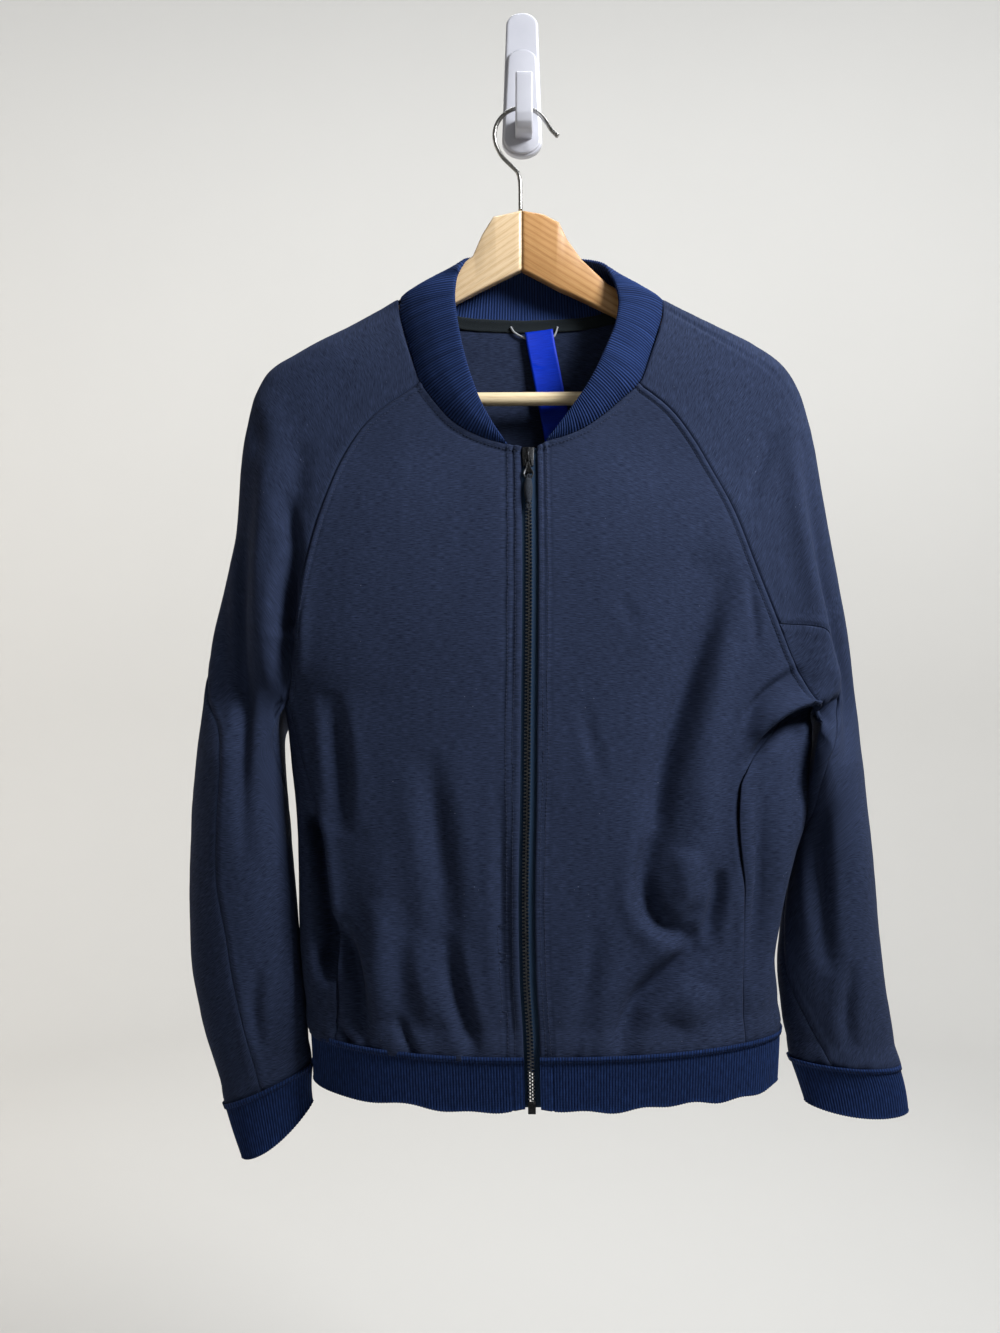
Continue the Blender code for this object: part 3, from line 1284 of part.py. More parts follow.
# ---------------------------------------------------------------- inside the neck
def add_neck_trims(materials):
    half = BACK_SPANS // 2
    samples = [("right", index) for index in neck_samples(NECK_BACK, NECK_CENTRE, half)]
    samples += [("left", index) for index in reversed(neck_samples(NECK_BACK, NECK_CENTRE, half)[:-1])]
    rows = []
    for drop in (1.2 + NECK_TAPE_HEIGHT, 1.2):
        line = []
        for side, index in samples:
            seam = neck_rows(side, index)[0]
            face = on_body(side, seam.x, seam.z - drop, "back")
            line.append(Vector((face.x, face.y - CLOTH_WALL - 0.45 - TAPE_WALL, face.z)))
        rows.append(line)
    tape = Patch("neck_tape", rows, flip=False)
    weld_normals([tape], [])
    add_solid("neck_tape", *wall_mesh(tape, TAPE_WALL), materials["neck tape"])
    rows = []
    for x, y, z in reversed(LABEL_LINE):
        lean = Vector((0.9, 0, 0.12)).normalized() * (LABEL_WIDTH / 2)
        middle = Vector((x, y, z))
        rows.append([middle - lean, middle, middle + lean])
    label = Patch("label", rows, flip=False)
    weld_normals([label], [])
    add_solid("label", *wall_mesh(label, TAPE_WALL), materials["blue satin"])
    add_tube("hang_loop", LOOP_ROUTE, LOOP_RADIUS, materials["cord"], spacing=3.4)


# ---------------------------------------------------------------- garment
def add_cloth(materials):
    fronts = {side: front_patch(side) for side in SIDES}
    sides = {side: side_patch(side) for side in SIDES}
    uppers = {side: upper_sleeve_patch(side) for side in SIDES}
    unders = {side: under_sleeve_patch(side) for side in SIDES}
    cuffs = {side: cuff_patch(side, uppers[side], unders[side]) for side in SIDES}
    back, collar, hem = back_patch(), collar_patch(), hem_patch()
    jersey = [*fronts.values(), *sides.values(), *uppers.values(), *unders.values(), back]
    bands = [collar, hem, *cuffs.values()]
    weld_normals(jersey + bands, sides.values())
    for patch in jersey + bands:
        lifts = [fold_lift(point, normal) for point, normal in zip(patch.points, patch.normals)]
        patch.points = [
            point + normal * lift for point, normal, lift in zip(patch.points, patch.normals, lifts)
        ]
    weld_normals(jersey + bands, sides.values())
    for patch in jersey + bands:
        patch.inset(SEAM_GAP / 2)
    for patch in jersey:
        points, faces = wall_mesh(patch, CLOTH_WALL)
        add_solid(patch.name, points, faces, materials["jersey"])
    for patch in bands:
        points, faces = ribbed_mesh(patch, RIB_WALL, closed=patch.name.startswith("cuff"))
        add_solid(patch.name, points, faces, materials["rib"])
    return [*uppers.values(), *fronts.values(), back, collar]


def main():
    for item in list(bpy.data.objects):
        bpy.data.objects.remove(item)
    materials = {
        "jersey": add_material("navy jersey", (0.022, 0.030, 0.066), 0.9),
        "rib": add_material("navy rib knit", (0.010, 0.022, 0.070), 0.9),
        "zip metal": add_material("gunmetal", (0.08, 0.08, 0.085), 0.35, 1.0),
        "zip tape": add_material("blue zip tape", (0.012, 0.030, 0.062), 0.85),
        "cord": add_material("charcoal cord", (0.03, 0.033, 0.04), 0.8),
        "neck tape": add_material("grey-green tape", (0.016, 0.022, 0.030), 0.9),
        "blue satin": add_material("blue satin", (0.004, 0.045, 0.45), 0.45),
        "wood_left": add_material("orange wood", (0.62, 0.34, 0.14), 0.5),
        "wood_right": add_material("pale wood", (0.72, 0.50, 0.27), 0.5),
        "wood_bar": add_material("bar wood", (0.78, 0.60, 0.36), 0.5),
        "steel": add_material("steel wire", (0.35, 0.34, 0.32), 0.3, 1.0),
        "white plastic": add_material("white plastic", (0.75, 0.75, 0.78), 0.35),
    }
    shoulders = add_cloth(materials)
    add_zip(materials)
    add_pull(materials, add_slider(materials))
    add_neck_trims(materials)
    add_hanger(materials, shoulders)
    add_wall_hook(materials)


main()
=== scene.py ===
"""Looks of the zip bomber jacket: knitted cloth, ribs, zip, hanger and wall hook.

Tables and sizes are in millimetres until a mesh is made. +X is the wearer's left, +Z is up, the
wall is the plane y = 0 and everything hangs on its -Y side. The shape functions are the part's
own, sampled more finely here; x in the tables grows outward on either side.
"""
import math
import random
from bisect import bisect_right
from collections import namedtuple
from functools import lru_cache

import bmesh
import bpy
import numpy as np
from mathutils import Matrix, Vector, noise
from mathutils.bvhtree import BVHTree
from mathutils.kdtree import KDTree


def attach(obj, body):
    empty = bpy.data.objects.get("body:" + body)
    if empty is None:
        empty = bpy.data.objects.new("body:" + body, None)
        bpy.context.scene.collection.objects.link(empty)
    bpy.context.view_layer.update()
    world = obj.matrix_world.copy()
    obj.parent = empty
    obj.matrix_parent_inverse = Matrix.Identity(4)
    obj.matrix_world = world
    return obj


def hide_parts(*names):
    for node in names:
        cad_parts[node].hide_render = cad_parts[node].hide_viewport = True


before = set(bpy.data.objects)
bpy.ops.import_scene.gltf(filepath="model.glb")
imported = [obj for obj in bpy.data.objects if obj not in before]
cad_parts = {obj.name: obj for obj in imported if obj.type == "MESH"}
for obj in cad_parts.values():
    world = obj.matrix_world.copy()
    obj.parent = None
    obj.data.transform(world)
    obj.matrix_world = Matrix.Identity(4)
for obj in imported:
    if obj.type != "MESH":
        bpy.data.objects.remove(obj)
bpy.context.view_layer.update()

MM = 0.001
SIDES = {"left": 1, "right": -1}
random.seed(11)

# ---------------------------------------------------------------- driving sizes, mm
SEAM_GAP = 0.3
CLOTH_WALL = 1.6
RIB_PITCH = 2.4
WAVE_METRE = math.pi / 10                   # scale of a wave texture that gives one band a metre
RIB_WALL = 2.2
ZIP_EDGE = {"left": 7.5, "right": 5.5}      # from the zip's centre line to each front's edge
ARMPIT_Z = -556.0
NECK_FRONT_Z = -342.0
HEM_SEAM_Z = -853.0
HEM_RISE = 10.0                             # the hem seam is this much higher at the sides
HEM_HEIGHT = 42.0
FRONT_POWER = 2.5                           # superellipse powers of the body's sections
BACK_POWER = 2.2
COLLAR_BULGE = 4.0

# Rows and columns of the cloth. FINE cells stand for one cell of the part.
FINE = 10
SHOULDER_ROWS = 13 * FINE
TUBE_ROWS = 12 * FINE
SIDE_ROWS = 10 * FINE
SLEEVE_SPANS = 10 * FINE
FRONT_SPANS = 7 * FINE
SIDE_SPANS = 2 * FINE
BACK_SPANS = 12 * FINE
CROWDING = 0.55                             # how much closer the columns stand near a seam


# ---------------------------------------------------------------- body sections
Depth = namedtuple("Depth", "z zip_x front_y back_y")
DEPTHS = [
    Depth(-895, 6.4, -110, -12),
    Depth(-835, 4.6, -115, -10),
    Depth(-780, 1.6, -116, -9),
    Depth(-720, 0.8, -116, -9),
    Depth(-640, 2.2, -113, -9),
    Depth(-557, 3.1, -108, -9),
    Depth(-500, 3.8, -104, -10),
    Depth(-440, 4.2, -98, -11),
    Depth(-390, 4.0, -89, -12),
    Depth(-342, 3.8, -76, -13),
    Depth(-285, 3.8, -65, -14),
    Depth(-210, 3.8, -50, -15),
]

Breadth = namedtuple("Breadth", "z side_x side_y")
BREADTHS = {
    "left": [
        Breadth(-895, 217, -50), Breadth(-845, 219, -52), Breadth(-815, 219.5, -54),
        Breadth(-780, 216.5, -56), Breadth(-745, 221, -56), Breadth(-700, 229, -56),
        Breadth(-660, 236, -55), Breadth(-610, 243.5, -52), Breadth(-580, 248.5, -49),
        Breadth(-556, 253.5, -46), Breadth(-525, 268, -44), Breadth(-488, 276, -42),
        Breadth(-436, 271, -41), Breadth(-383, 262, -40), Breadth(-335, 253, -39),
        Breadth(-285, 245, -38), Breadth(-210, 236, -36),
    ],
    "right": [
        Breadth(-895, 179, -46), Breadth(-845, 181.5, -46), Breadth(-805, 186, -46),
        Breadth(-753, 189.5, -46), Breadth(-705, 193.5, -46), Breadth(-655, 196.5, -46),
        Breadth(-614, 201, -46), Breadth(-580, 205, -46), Breadth(-556, 208.5, -46),
        Breadth(-525, 232, -46), Breadth(-488, 250, -46), Breadth(-436, 251, -45),
        Breadth(-383, 248, -44), Breadth(-335, 244, -42), Breadth(-285, 238, -40),
        Breadth(-210, 230, -36),
    ],
}

SideSeam = namedtuple("SideSeam", "z front_x back_x")
SIDE_SEAMS = {
    "left": [
        SideSeam(-853, 184, 176), SideSeam(-720, 183.5, 178), SideSeam(-660, 178, 184),
        SideSeam(-630, 180, 192), SideSeam(-600, 200, 204), SideSeam(-575, 226, 218),
        SideSeam(-556, 245, 228),
    ],
    "right": [
        SideSeam(-853, 158, 150), SideSeam(-790, 157, 152), SideSeam(-680, 166, 158),
        SideSeam(-650, 174, 164), SideSeam(-607, 188, 175), SideSeam(-575, 196, 183),
        SideSeam(-556, 200, 188),
    ],
}

Seam = namedtuple("Seam", "share x z")
RAGLAN_FRONT = {
    "left": [
        Seam(0, 99.5, -285.5), Seam(0.112, 126.7, -308.3), Seam(0.217, 145.9, -334.6),
        Seam(0.309, 159.9, -360.1), Seam(0.445, 178.9, -397.9), Seam(0.598, 195.6, -442.8),
        Seam(0.725, 210.1, -479.9), Seam(0.878, 228.2, -524.4), Seam(0.96, 239, -546),
        Seam(1, 245, ARMPIT_Z),
    ],
    "right": [
        Seam(0, 88.5, -284.5), Seam(0.18, 133.3, -318.2), Seam(0.31, 155.3, -351.6),
        Seam(0.425, 168.2, -383.8), Seam(0.52, 177.1, -411.2), Seam(0.61, 183.7, -439.1),
        Seam(0.69, 188, -463.6), Seam(0.86, 195, -515), Seam(1, 200, ARMPIT_Z),
    ],
}
RAGLAN_BACK = {
    "left": [
        Seam(0, 85, -212), Seam(0.25, 128, -290), Seam(0.5, 165, -375),
        Seam(0.75, 199, -468), Seam(1, 228, ARMPIT_Z),
    ],
    "right": [
        Seam(0, 78, -212), Seam(0.25, 118, -290), Seam(0.5, 149, -375),
        Seam(0.75, 171, -468), Seam(1, 188, ARMPIT_Z),
    ],
}

# ---------------------------------------------------------------- neck and collar
NeckRow = namedtuple("NeckRow", "index seam_x seam_y seam_z top_x top_y top_z")
NECK = {
    "left": [
        NeckRow(0, 20.5, 0, -337, 21.5, -77.5, -333.5), NeckRow(1, 34.6, 0, -333, 34, -79.5, -317.5),
        NeckRow(2, 51, 0, -326, 44, -80.5, -304), NeckRow(3, 67.2, 0, -315, 53, -80.5, -291),
        NeckRow(4, 84, 0, -300.5, 61, -79, -277), NeckRow(5, 99.5, 0, -285.5, 67, -76, -264),
        NeckRow(6, 108.2, -57, -265, 73, -71, -250), NeckRow(7, 117.9, -46, -238, 79.5, -65, -233),
        NeckRow(8, 122.8, -39, -217, 83, -56, -212), NeckRow(9, 123.7, -34, -205.1, 81, -48, -196),
        NeckRow(9.5, 120.5, -28, -204.8, 77, -40.5, -183), NeckRow(10, 112, -23, -206, 72, -33, -173),
        NeckRow(10.5, 100, -19.5, -208.6, 64, -26, -168), NeckRow(11, 85, 0, -212, 55, -20, -165),
        NeckRow(12, 45, 0, -219, 25, -14, -162.5), NeckRow(13, 0, 0, -220.7, 0, -13, -162),
    ],
    "right": [
        NeckRow(0, 15, 0, -340, 16, -77.5, -336.5), NeckRow(1, 28, 0, -336.5, 26, -79.5, -322),
        NeckRow(2, 44, 0, -330, 34, -80.5, -308), NeckRow(3, 60.2, 0, -320, 41, -80.5, -292),
        NeckRow(4, 75, 0, -304, 47, -79, -275), NeckRow(5, 88.5, 0, -284.5, 51.5, -75, -258),
        NeckRow(6, 94.5, -58, -268, 54.5, -71, -244), NeckRow(7, 101.5, -48.5, -245, 57.5, -65, -226),
        NeckRow(8, 107.8, -40, -220, 59.3, -57, -207), NeckRow(9, 110.3, -34, -205.1, 57.5, -47, -186),
        NeckRow(9.5, 107.5, -28, -204.7, 55, -40, -176.5), NeckRow(10, 100, -23, -206, 51, -32, -168.5),
        NeckRow(10.5, 90, -19.5, -208.8, 46.5, -26, -165.3), NeckRow(11, 78, 0, -212, 41, -20, -163.5),
        NeckRow(12, 42, 0, -219, 21, -14, -162), NeckRow(13, 0, 0, -220.7, 0, -13, -162),
    ],
}
NECK_JUNCTION = 5                           # where the front raglan seam meets the neck
NECK_SHOULDER = 9                           # the shoulder ridge
NECK_BACK = 11                              # where the back raglan seam meets the neck
NECK_CENTRE = 13

# ---------------------------------------------------------------- sleeves
Ridge = namedtuple("Ridge", "station x y z")
RIDGES = {                                  # outermost line: along the shoulder to the cuff seam
    "left": [
        Ridge(0, 123.7, -34, -205.1), Ridge(0.111, 164.9, -36, -227.4), Ridge(0.215, 204.2, -38, -247.2),
        Ridge(0.294, 230.1, -40, -267.9), Ridge(0.366, 243.9, -41, -295.3), Ridge(0.463, 252.5, -42, -335),
        Ridge(0.578, 261.2, -42, -383.1), Ridge(0.705, 270.9, -42, -435.7), Ridge(0.832, 280.5, -42, -488.3),
        Ridge(1, 291.3, -41, -558.4), Ridge(1.18, 298.4, -40, -622), Ridge(1.32, 303, -40, -670),
        Ridge(1.48, 307.5, -40, -724), Ridge(1.6, 311.5, -40, -765), Ridge(1.72, 317, -40, -802),
        Ridge(1.86, 323.7, -40, -843), Ridge(2, 328.4, -40, -882.2),
    ],
    "right": [
        Ridge(0, 110.3, -34, -205.1), Ridge(0.115, 153.9, -36, -230), Ridge(0.22, 193.2, -38, -251.6),
        Ridge(0.305, 223.6, -40, -272.3), Ridge(0.39, 239, -42, -306), Ridge(0.5, 246.5, -44, -352.8),
        Ridge(0.63, 249.8, -45, -409.7), Ridge(0.75, 259.2, -46, -457.9), Ridge(0.87, 269.5, -47, -505.9),
        Ridge(1, 277.5, -48, -556), Ridge(1.17, 284, -48, -606.1), Ridge(1.35, 288.4, -48, -662.8),
        Ridge(1.53, 289.7, -48, -723.8), Ridge(1.7, 288, -48, -780.4), Ridge(1.85, 279.8, -48, -830),
        Ridge(2, 256, -48, -912),
    ],
}

# Below the armpit. A share places the front or back line between the inner line and the ridge.
Tube = namedtuple("Tube", "station inner_x inner_y inner_z front_y front_share back_y back_share")
TUBES = {
    "left": [
        Tube(1, 253.5, -46, -556, -69, -0.22, -27, -0.67), Tube(1.09, 253, -46, -580, -82, 0.0, -20, -0.2),
        Tube(1.18, 248, -46, -611, -90, 0.25, -13, 0.15), Tube(1.32, 240, -46, -658, -91, 0.45, -9, 0.4),
        Tube(1.48, 231.5, -46, -711, -87, 0.5, -10, 0.5), Tube(1.6, 225, -46, -752, -82, 0.5, -12, 0.5),
        Tube(1.72, 222, -46, -788, -77, 0.5, -15, 0.5), Tube(1.86, 227, -44, -834, -68, 0.5, -18, 0.5),
        Tube(2, 237.5, -40, -872.6, -60, 0.5, -21, 0.5),
    ],
    "right": [
        Tube(1, 208.5, -46, -556, -68, -0.12, -27, -0.3), Tube(1.09, 209, -50, -580, -80, 0.05, -20, -0.05),
        Tube(1.18, 207.8, -52, -608, -89, 0.3, -13, 0.2), Tube(1.35, 203.5, -52, -657, -92, 0.45, -9, 0.45),
        Tube(1.5, 199, -52, -705, -88, 0.5, -10, 0.5), Tube(1.65, 195, -52, -755, -84, 0.5, -12, 0.5),
        Tube(1.8, 190.5, -52, -805, -80, 0.5, -16, 0.5), Tube(1.9, 187.5, -50, -845, -74, 0.5, -22, 0.5),
        Tube(2, 186, -48, -876, -68, 0.5, -29, 0.5),
    ],
}

# Where the two sleeve seams run, in quarter turns: 0 front, 1 outer ridge, 2 back, -1 inner.
SleeveSeam = namedtuple("SleeveSeam", "station front back")
SLEEVE_SEAMS = {
    "left": [
        SleeveSeam(0.77, 0, 2), SleeveSeam(0.846, 0.42, 2), SleeveSeam(0.92, 0.48, 2),
        SleeveSeam(1, 0.38, 2), SleeveSeam(1.1, 0.15, 1.8), SleeveSeam(1.25, -0.4, 1.55),
        SleeveSeam(1.46, -0.98, 1.35), SleeveSeam(1.7, -0.78, 1.6), SleeveSeam(1.85, -0.45, 1.85),
        SleeveSeam(2, -0.21, 2.05),
    ],
    "right": [
        SleeveSeam(0.69, 0, 2), SleeveSeam(0.77, 0, 1.72), SleeveSeam(0.85, 0, 1.4),
        SleeveSeam(0.92, 0, 1.1), SleeveSeam(1, 0, 0.8), SleeveSeam(1.1, -0.35, 0.5),
        SleeveSeam(1.22, -0.8, 0.3), SleeveSeam(1.36, -1.15, 0.25), SleeveSeam(1.5, -1.4, 0.23),
        SleeveSeam(1.65, -1.55, 0.14), SleeveSeam(1.8, -1.65, 0.1), SleeveSeam(2, -1.75, 0.05),
    ],
}
FRONT_LEG_ROW = {"left": 10 * FINE, "right": SHOULDER_ROWS}    # raglan row where the under sleeve starts
BACK_LEG_ROW = {"left": SHOULDER_ROWS, "right": 9 * FINE}
FRONT_LEG_SPANS = {"left": 2 * FINE, "right": 0}
BACK_LEG_SPANS = {"left": 0, "right": 3 * FINE}

Cuff = namedtuple("Cuff", "down outer_x outer_y outer_z inner_x inner_y inner_z half_depth")
CUFFS = {
    "left": [
        Cuff(1, 333, -40, -900, 244, -40, -891, 17), Cuff(2, 335.4, -40, -920, 250, -40, -911, 16),
    ],
    "right": [
        Cuff(1, 249, -48, -935, 187, -48, -894, 17), Cuff(2, 242.2, -48, -957, 185.5, -48, -912, 16),
    ],
}

# ---------------------------------------------------------------- folds
# Each fold is a line in the front view, raised (or sunk, if lift is negative) along the cloth's
# own outward direction, and fading over its width. It acts on the front layer or on the back.
Fold = namedtuple("Fold", "layer lift width line")
FLANK = 0.25                                # swell beside a fine fold, as a share of its lift
FOLDS = [
    Fold("front", -9, 20, [(153, -455), (138, -515), (124, -560), (109, -627), (114, -693), (141, -751)]),
    Fold("front", 5, 17, [(150, -640), (135, -693), (128, -740)]),
    Fold("front", -4, 14, [(96, -762), (86, -800), (77, -836)]),
    Fold("front", -5, 13, [(-166, -745), (-156, -800), (-146, -846)]),
    Fold("front", 4, 18, [(-120, -700), (-118, -770), (-124, -830)]),
    Fold("front", 8, 15, [(237, -330), (242, -400), (246, -470), (253, -515), (258, -545)]),
    Fold("front", 9, 15, [(257, -540), (238, -552), (214, -566), (200, -580)]),
    Fold("front", -7, 11, [(262, -566), (240, -574), (216, -590)]),
    Fold("front", 6, 13, [(262, -580), (256, -615), (248, -645)]),
    Fold("front", 5, 15, [(-224, -305), (-214, -345), (-211, -437), (-212, -500), (-208, -560)]),
    Fold("front", -7, 11, [(-192, -350), (-196, -400), (-199, -470), (-201, -530)]),
    Fold("front", -3, 9, [(-236, -308), (-227, -341)]),
    Fold("back", -6, 18, [(150, -500), (128, -600), (118, -700)]),
    Fold("back", -6, 18, [(-140, -480), (-118, -600), (-110, -720)]),
    Fold("back", 4, 20, [(60, -560), (52, -680), (56, -790)]),
    Fold("back", 4, 20, [(-40, -620), (-46, -720), (-40, -800)]),
]

# Creases too small for the part, placed from the photograph: wearer's left first.
FINE_FOLDS = [
    Fold("front", -11.5, 9, [(174.8, -453.5), (163.2, -476.6), (150, -511.3), (136.8, -552.5),
        (123.6, -589.7), (113.7, -630.9), (108.7, -672.2), (105.4, -698.6)]),
    Fold("front", 6.6, 13, [(179.7, -507.1), (163.2, -556.6), (150, -606.2), (145.1, -663.9)]),
    Fold("front", -2.2, 4, [(189.5, -452.9), (193.7, -490.3), (193.7, -519.4)]),
    Fold("front", -5.6, 4.5, [(236.3, -530.3), (212.8, -543.7), (196.1, -558.7), (187.7, -575.5),
        (181.9, -595.6)]),
    Fold("front", 7.4, 7, [(266.4, -548.7), (243.8, -554.5), (221.2, -563.8), (202.8, -575.5),
        (191.1, -588.9)]),
    Fold("front", -12.4, 6, [(262.5, -568.9), (238.9, -568.1), (218.7, -576.5), (204.5, -589.9),
        (195.2, -602.6), (186, -616)]),
    Fold("front", 5.8, 9, [(215.4, -582.8), (216.3, -642), (211.2, -726.7), (202.7, -794.5),
        (193.4, -836.8)]),
    Fold("front", -4.3, 5, [(192.3, -620), (195.7, -666.2), (195.7, -724.9), (191.5, -775.3)]),
    Fold("front", 8, 9, [(243.2, -557.3), (248.3, -586.8), (246.6, -620.5), (238.2, -651.8),
        (229.7, -683.8)]),
    Fold("front", -8.5, 6.5, [(239, -326.2), (244.1, -386.2), (253.6, -450.5), (268.1, -506.3),
        (278.4, -549.2), (277.6, -579.2), (269.9, -613.5)]),
    Fold("front", -7.4, 7, [(245.6, -629.9), (249.1, -693.8), (254.2, -753.4), (259.3, -791.7)]),
    Fold("front", -4.1, 6, [(280.2, -780.7), (276.7, -823.6), (280.2, -857.9)]),
    Fold("front", -2.5, 6, [(215, -327.6), (201.4, -361.7), (189.5, -394)]),
    Fold("front", -11.5, 8, [(106.4, -667.3), (99, -704.2), (104.7, -732.1), (124.4, -748.5),
        (149.1, -755.1)]),
    Fold("front", -9.2, 6, [(164.2, -698), (158.4, -730.8), (151, -758.8)]),
    Fold("front", -12.7, 9, [(152.3, -758.4), (129.4, -772.3), (108, -790.4), (92.4, -807.6),
        (81.8, -831.4), (76, -850.3)]),
    Fold("front", 10.4, 14, [(134.3, -679.6), (129.4, -710.8), (137.6, -732.9)]),
    Fold("front", 6.9, 17, [(145.8, -790.4), (129.4, -827.3)]),
    Fold("front", -2.2, 5, [(48, -556.5), (55.4, -590.9), (65.3, -628.6)]),
    Fold("front", -3.6, 8, [(62, -740.9), (53.8, -781.9), (43.1, -831.1)]),
    Fold("front", -1.4, 5, [(77.4, -465.9), (84.8, -480.7), (93.9, -497.2)]),
    Fold("front", -7.4, 11, [(-79.8, -597.5), (-71.7, -663), (-65.1, -720.4), (-63.5, -765.5)]),
    Fold("front", -9.7, 7, [(-64.3, -749.3), (-56.9, -790.4), (-47.9, -823.2), (-38.1, -850.3)]),
    Fold("front", 6.4, 10, [(-92.2, -745.2), (-85.7, -786.3), (-72.5, -827.3)]),
    Fold("front", -8.3, 8, [(-162.5, -548.5), (-155, -606.4), (-152.5, -671.1)]),
    Fold("front", -13, 8, [(-161.3, -735.6), (-149.7, -760.5), (-143, -785.5), (-138.1, -810.4),
        (-133.1, -843.7)]),
    Fold("front", -5.6, 4, [(-105.4, -817.7), (-97.2, -835.8), (-89, -852.2)]),
    Fold("front", -5.6, 4, [(-157.2, -829.5), (-145.7, -844.4), (-134.1, -856)]),
    Fold("front", 6.9, 12, [(-120.3, -721), (-117, -770.3), (-112.1, -819.6)]),
    Fold("front", -3.3, 6, [(-20.8, -622), (-18.4, -703.9), (-15.9, -789.9), (-9.4, -839)]),
    Fold("front", -14.8, 7, [(-194.8, -425.9), (-199, -464.1), (-201.5, -506.5), (-202.4, -548.9)]),
    Fold("front", 4.9, 5, [(-214.1, -506.6), (-202.2, -501.6), (-191.3, -496.5)]),
    Fold("front", -4.9, 6, [(-204.6, -378.2), (-199.4, -410.7), (-192.6, -439.7)]),
    Fold("front", -5.9, 7, [(-241.8, -404), (-240.1, -480.8), (-239.2, -557.6), (-235.8, -625.8),
        (-234.1, -702.6)]),
    Fold("front", 4.1, 8, [(-221.9, -336.8), (-223.6, -438.7), (-221.9, -548.9)]),
    Fold("front", -4, 9, [(-257.6, -438), (-254.1, -506.4), (-252.4, -574.7)]),
    Fold("front", -3.3, 6, [(-224.1, -780.7), (-229.3, -823.6), (-224.1, -856.2)]),
    Fold("back", -4.9, 9, [(60, -300), (52, -380), (58, -470)]),
    Fold("back", -4.1, 8, [(-70, -320), (-60, -410), (-66, -500)]),
    Fold("back", -6.6, 8, [(205, -500), (186, -560), (170, -610), (160, -680)]),
    Fold("back", -6.6, 8, [(-180, -500), (-166, -560), (-150, -620), (-146, -690)]),
    Fold("back", 4.9, 10, [(110, -700), (104, -770), (112, -835)]),
    Fold("back", -5.8, 7, [(20, -730), (14, -790), (24, -850)]),
    Fold("back", -4.9, 6, [(-86, -760), (-92, -810), (-84, -850)]),
    Fold("back", 4.1, 9, [(262, -600), (262, -680), (268, -760)]),
    Fold("back", 4.1, 9, [(-245, -600), (-246, -690), (-240, -780)]),
]

# ---------------------------------------------------------------- hanger and wall hook
Arm = namedtuple("Arm", "x top bottom")
ARMS = {
    "left": [
        Arm(0, -125.5, -178.7), Arm(19, -128.7, -188.5), Arm(33, -136, -196), Arm(40, -151, -199),
        Arm(53, -169, -205), Arm(76, -190.5, -216), Arm(88, -197, -222), Arm(100, -203, -229),
        Arm(112, -207, -235), Arm(125, -211, -242), Arm(137, -216, -248), Arm(150, -222, -255),
        Arm(162, -228, -263), Arm(175, -235, -271), Arm(187.7, -241.5, -284), Arm(187.8, -241.6, -300),
        Arm(200, -248, -302),
        Arm(213, -256, -302), Arm(220, -266, -298),
    ],
    "right": [
        Arm(0, -125.5, -178.7), Arm(25, -131, -191), Arm(35, -147, -196), Arm(43, -165.5, -200),
        Arm(58, -177.5, -208), Arm(68, -185, -213), Arm(78, -193, -218), Arm(89, -199, -223),
        Arm(100, -205, -229), Arm(112, -211, -235), Arm(125, -217, -242), Arm(137, -223, -249),
        Arm(150, -230, -256), Arm(161, -236, -264), Arm(172, -242.5, -272), Arm(179.9, -246.6, -286.5),
        Arm(180, -246.7, -302.5), Arm(194, -254.5, -304), Arm(207, -263, -305), Arm(214, -273, -299),
    ],
}
ARM_THICK = 12.0
ARM_DEPTH = -29.0
ARM_SWEEP = 11.0                            # how far forward the arm ends come
ARM_SWEEP_START = 125.0
ARM_SWEEP_END = 215.0
HUB_GAP_X = -0.9                            # the glue line between the two halves
BAR_Z = {"left": -292.0, "right": -294.5}
BAR_RADIUS = 6.0
BAR_END = {"left": 186.5, "right": 180.5}
WIRE_RADIUS = 1.85
WIRE_ROUTE = [
    (-1.9, -29, -124.9), (-1.9, -28.6, -110), (-2.2, -28, -100), (-4.2, -27.4, -91), (-10, -26.6, -84.5),
    (-18.5, -26, -75.5), (-24, -26, -64), (-24.6, -26, -53), (-20.4, -26, -43), (-12, -26, -35.5),
    (-1, -26, -32.5), (9.5, -26.5, -35), (16.5, -29, -41), (21.5, -31.5, -48.5), (26, -33, -56),
    (31, -34, -61),
]
PLATE_TOP_Z = 61.5
PLATE_BOTTOM_Z = -68.5
PLATE_TOP_HALF = 14.5
PLATE_BOTTOM_HALF = 18.2
PLATE_THICK = 8.0
PANEL_TOP_Z = 27.0
PANEL_MARGIN = 1.6
PRONG_LEFT_X = 9.0
PRONG_RIGHT_X = -6.4
PRONG_PROFILE = [                           # y and z of the prong's outline, from the panel round
    (-10, -37.4), (-31, -37.4), (-33.6, -35), (-34.6, -31), (-34.6, -9), (-35.4, -6.2), (-37.4, -5.5),
    (-39.4, -6.4), (-40, -9), (-40, -42), (-37.5, -49), (-32, -53.4), (-25, -54.7), (-10, -54.7),
]

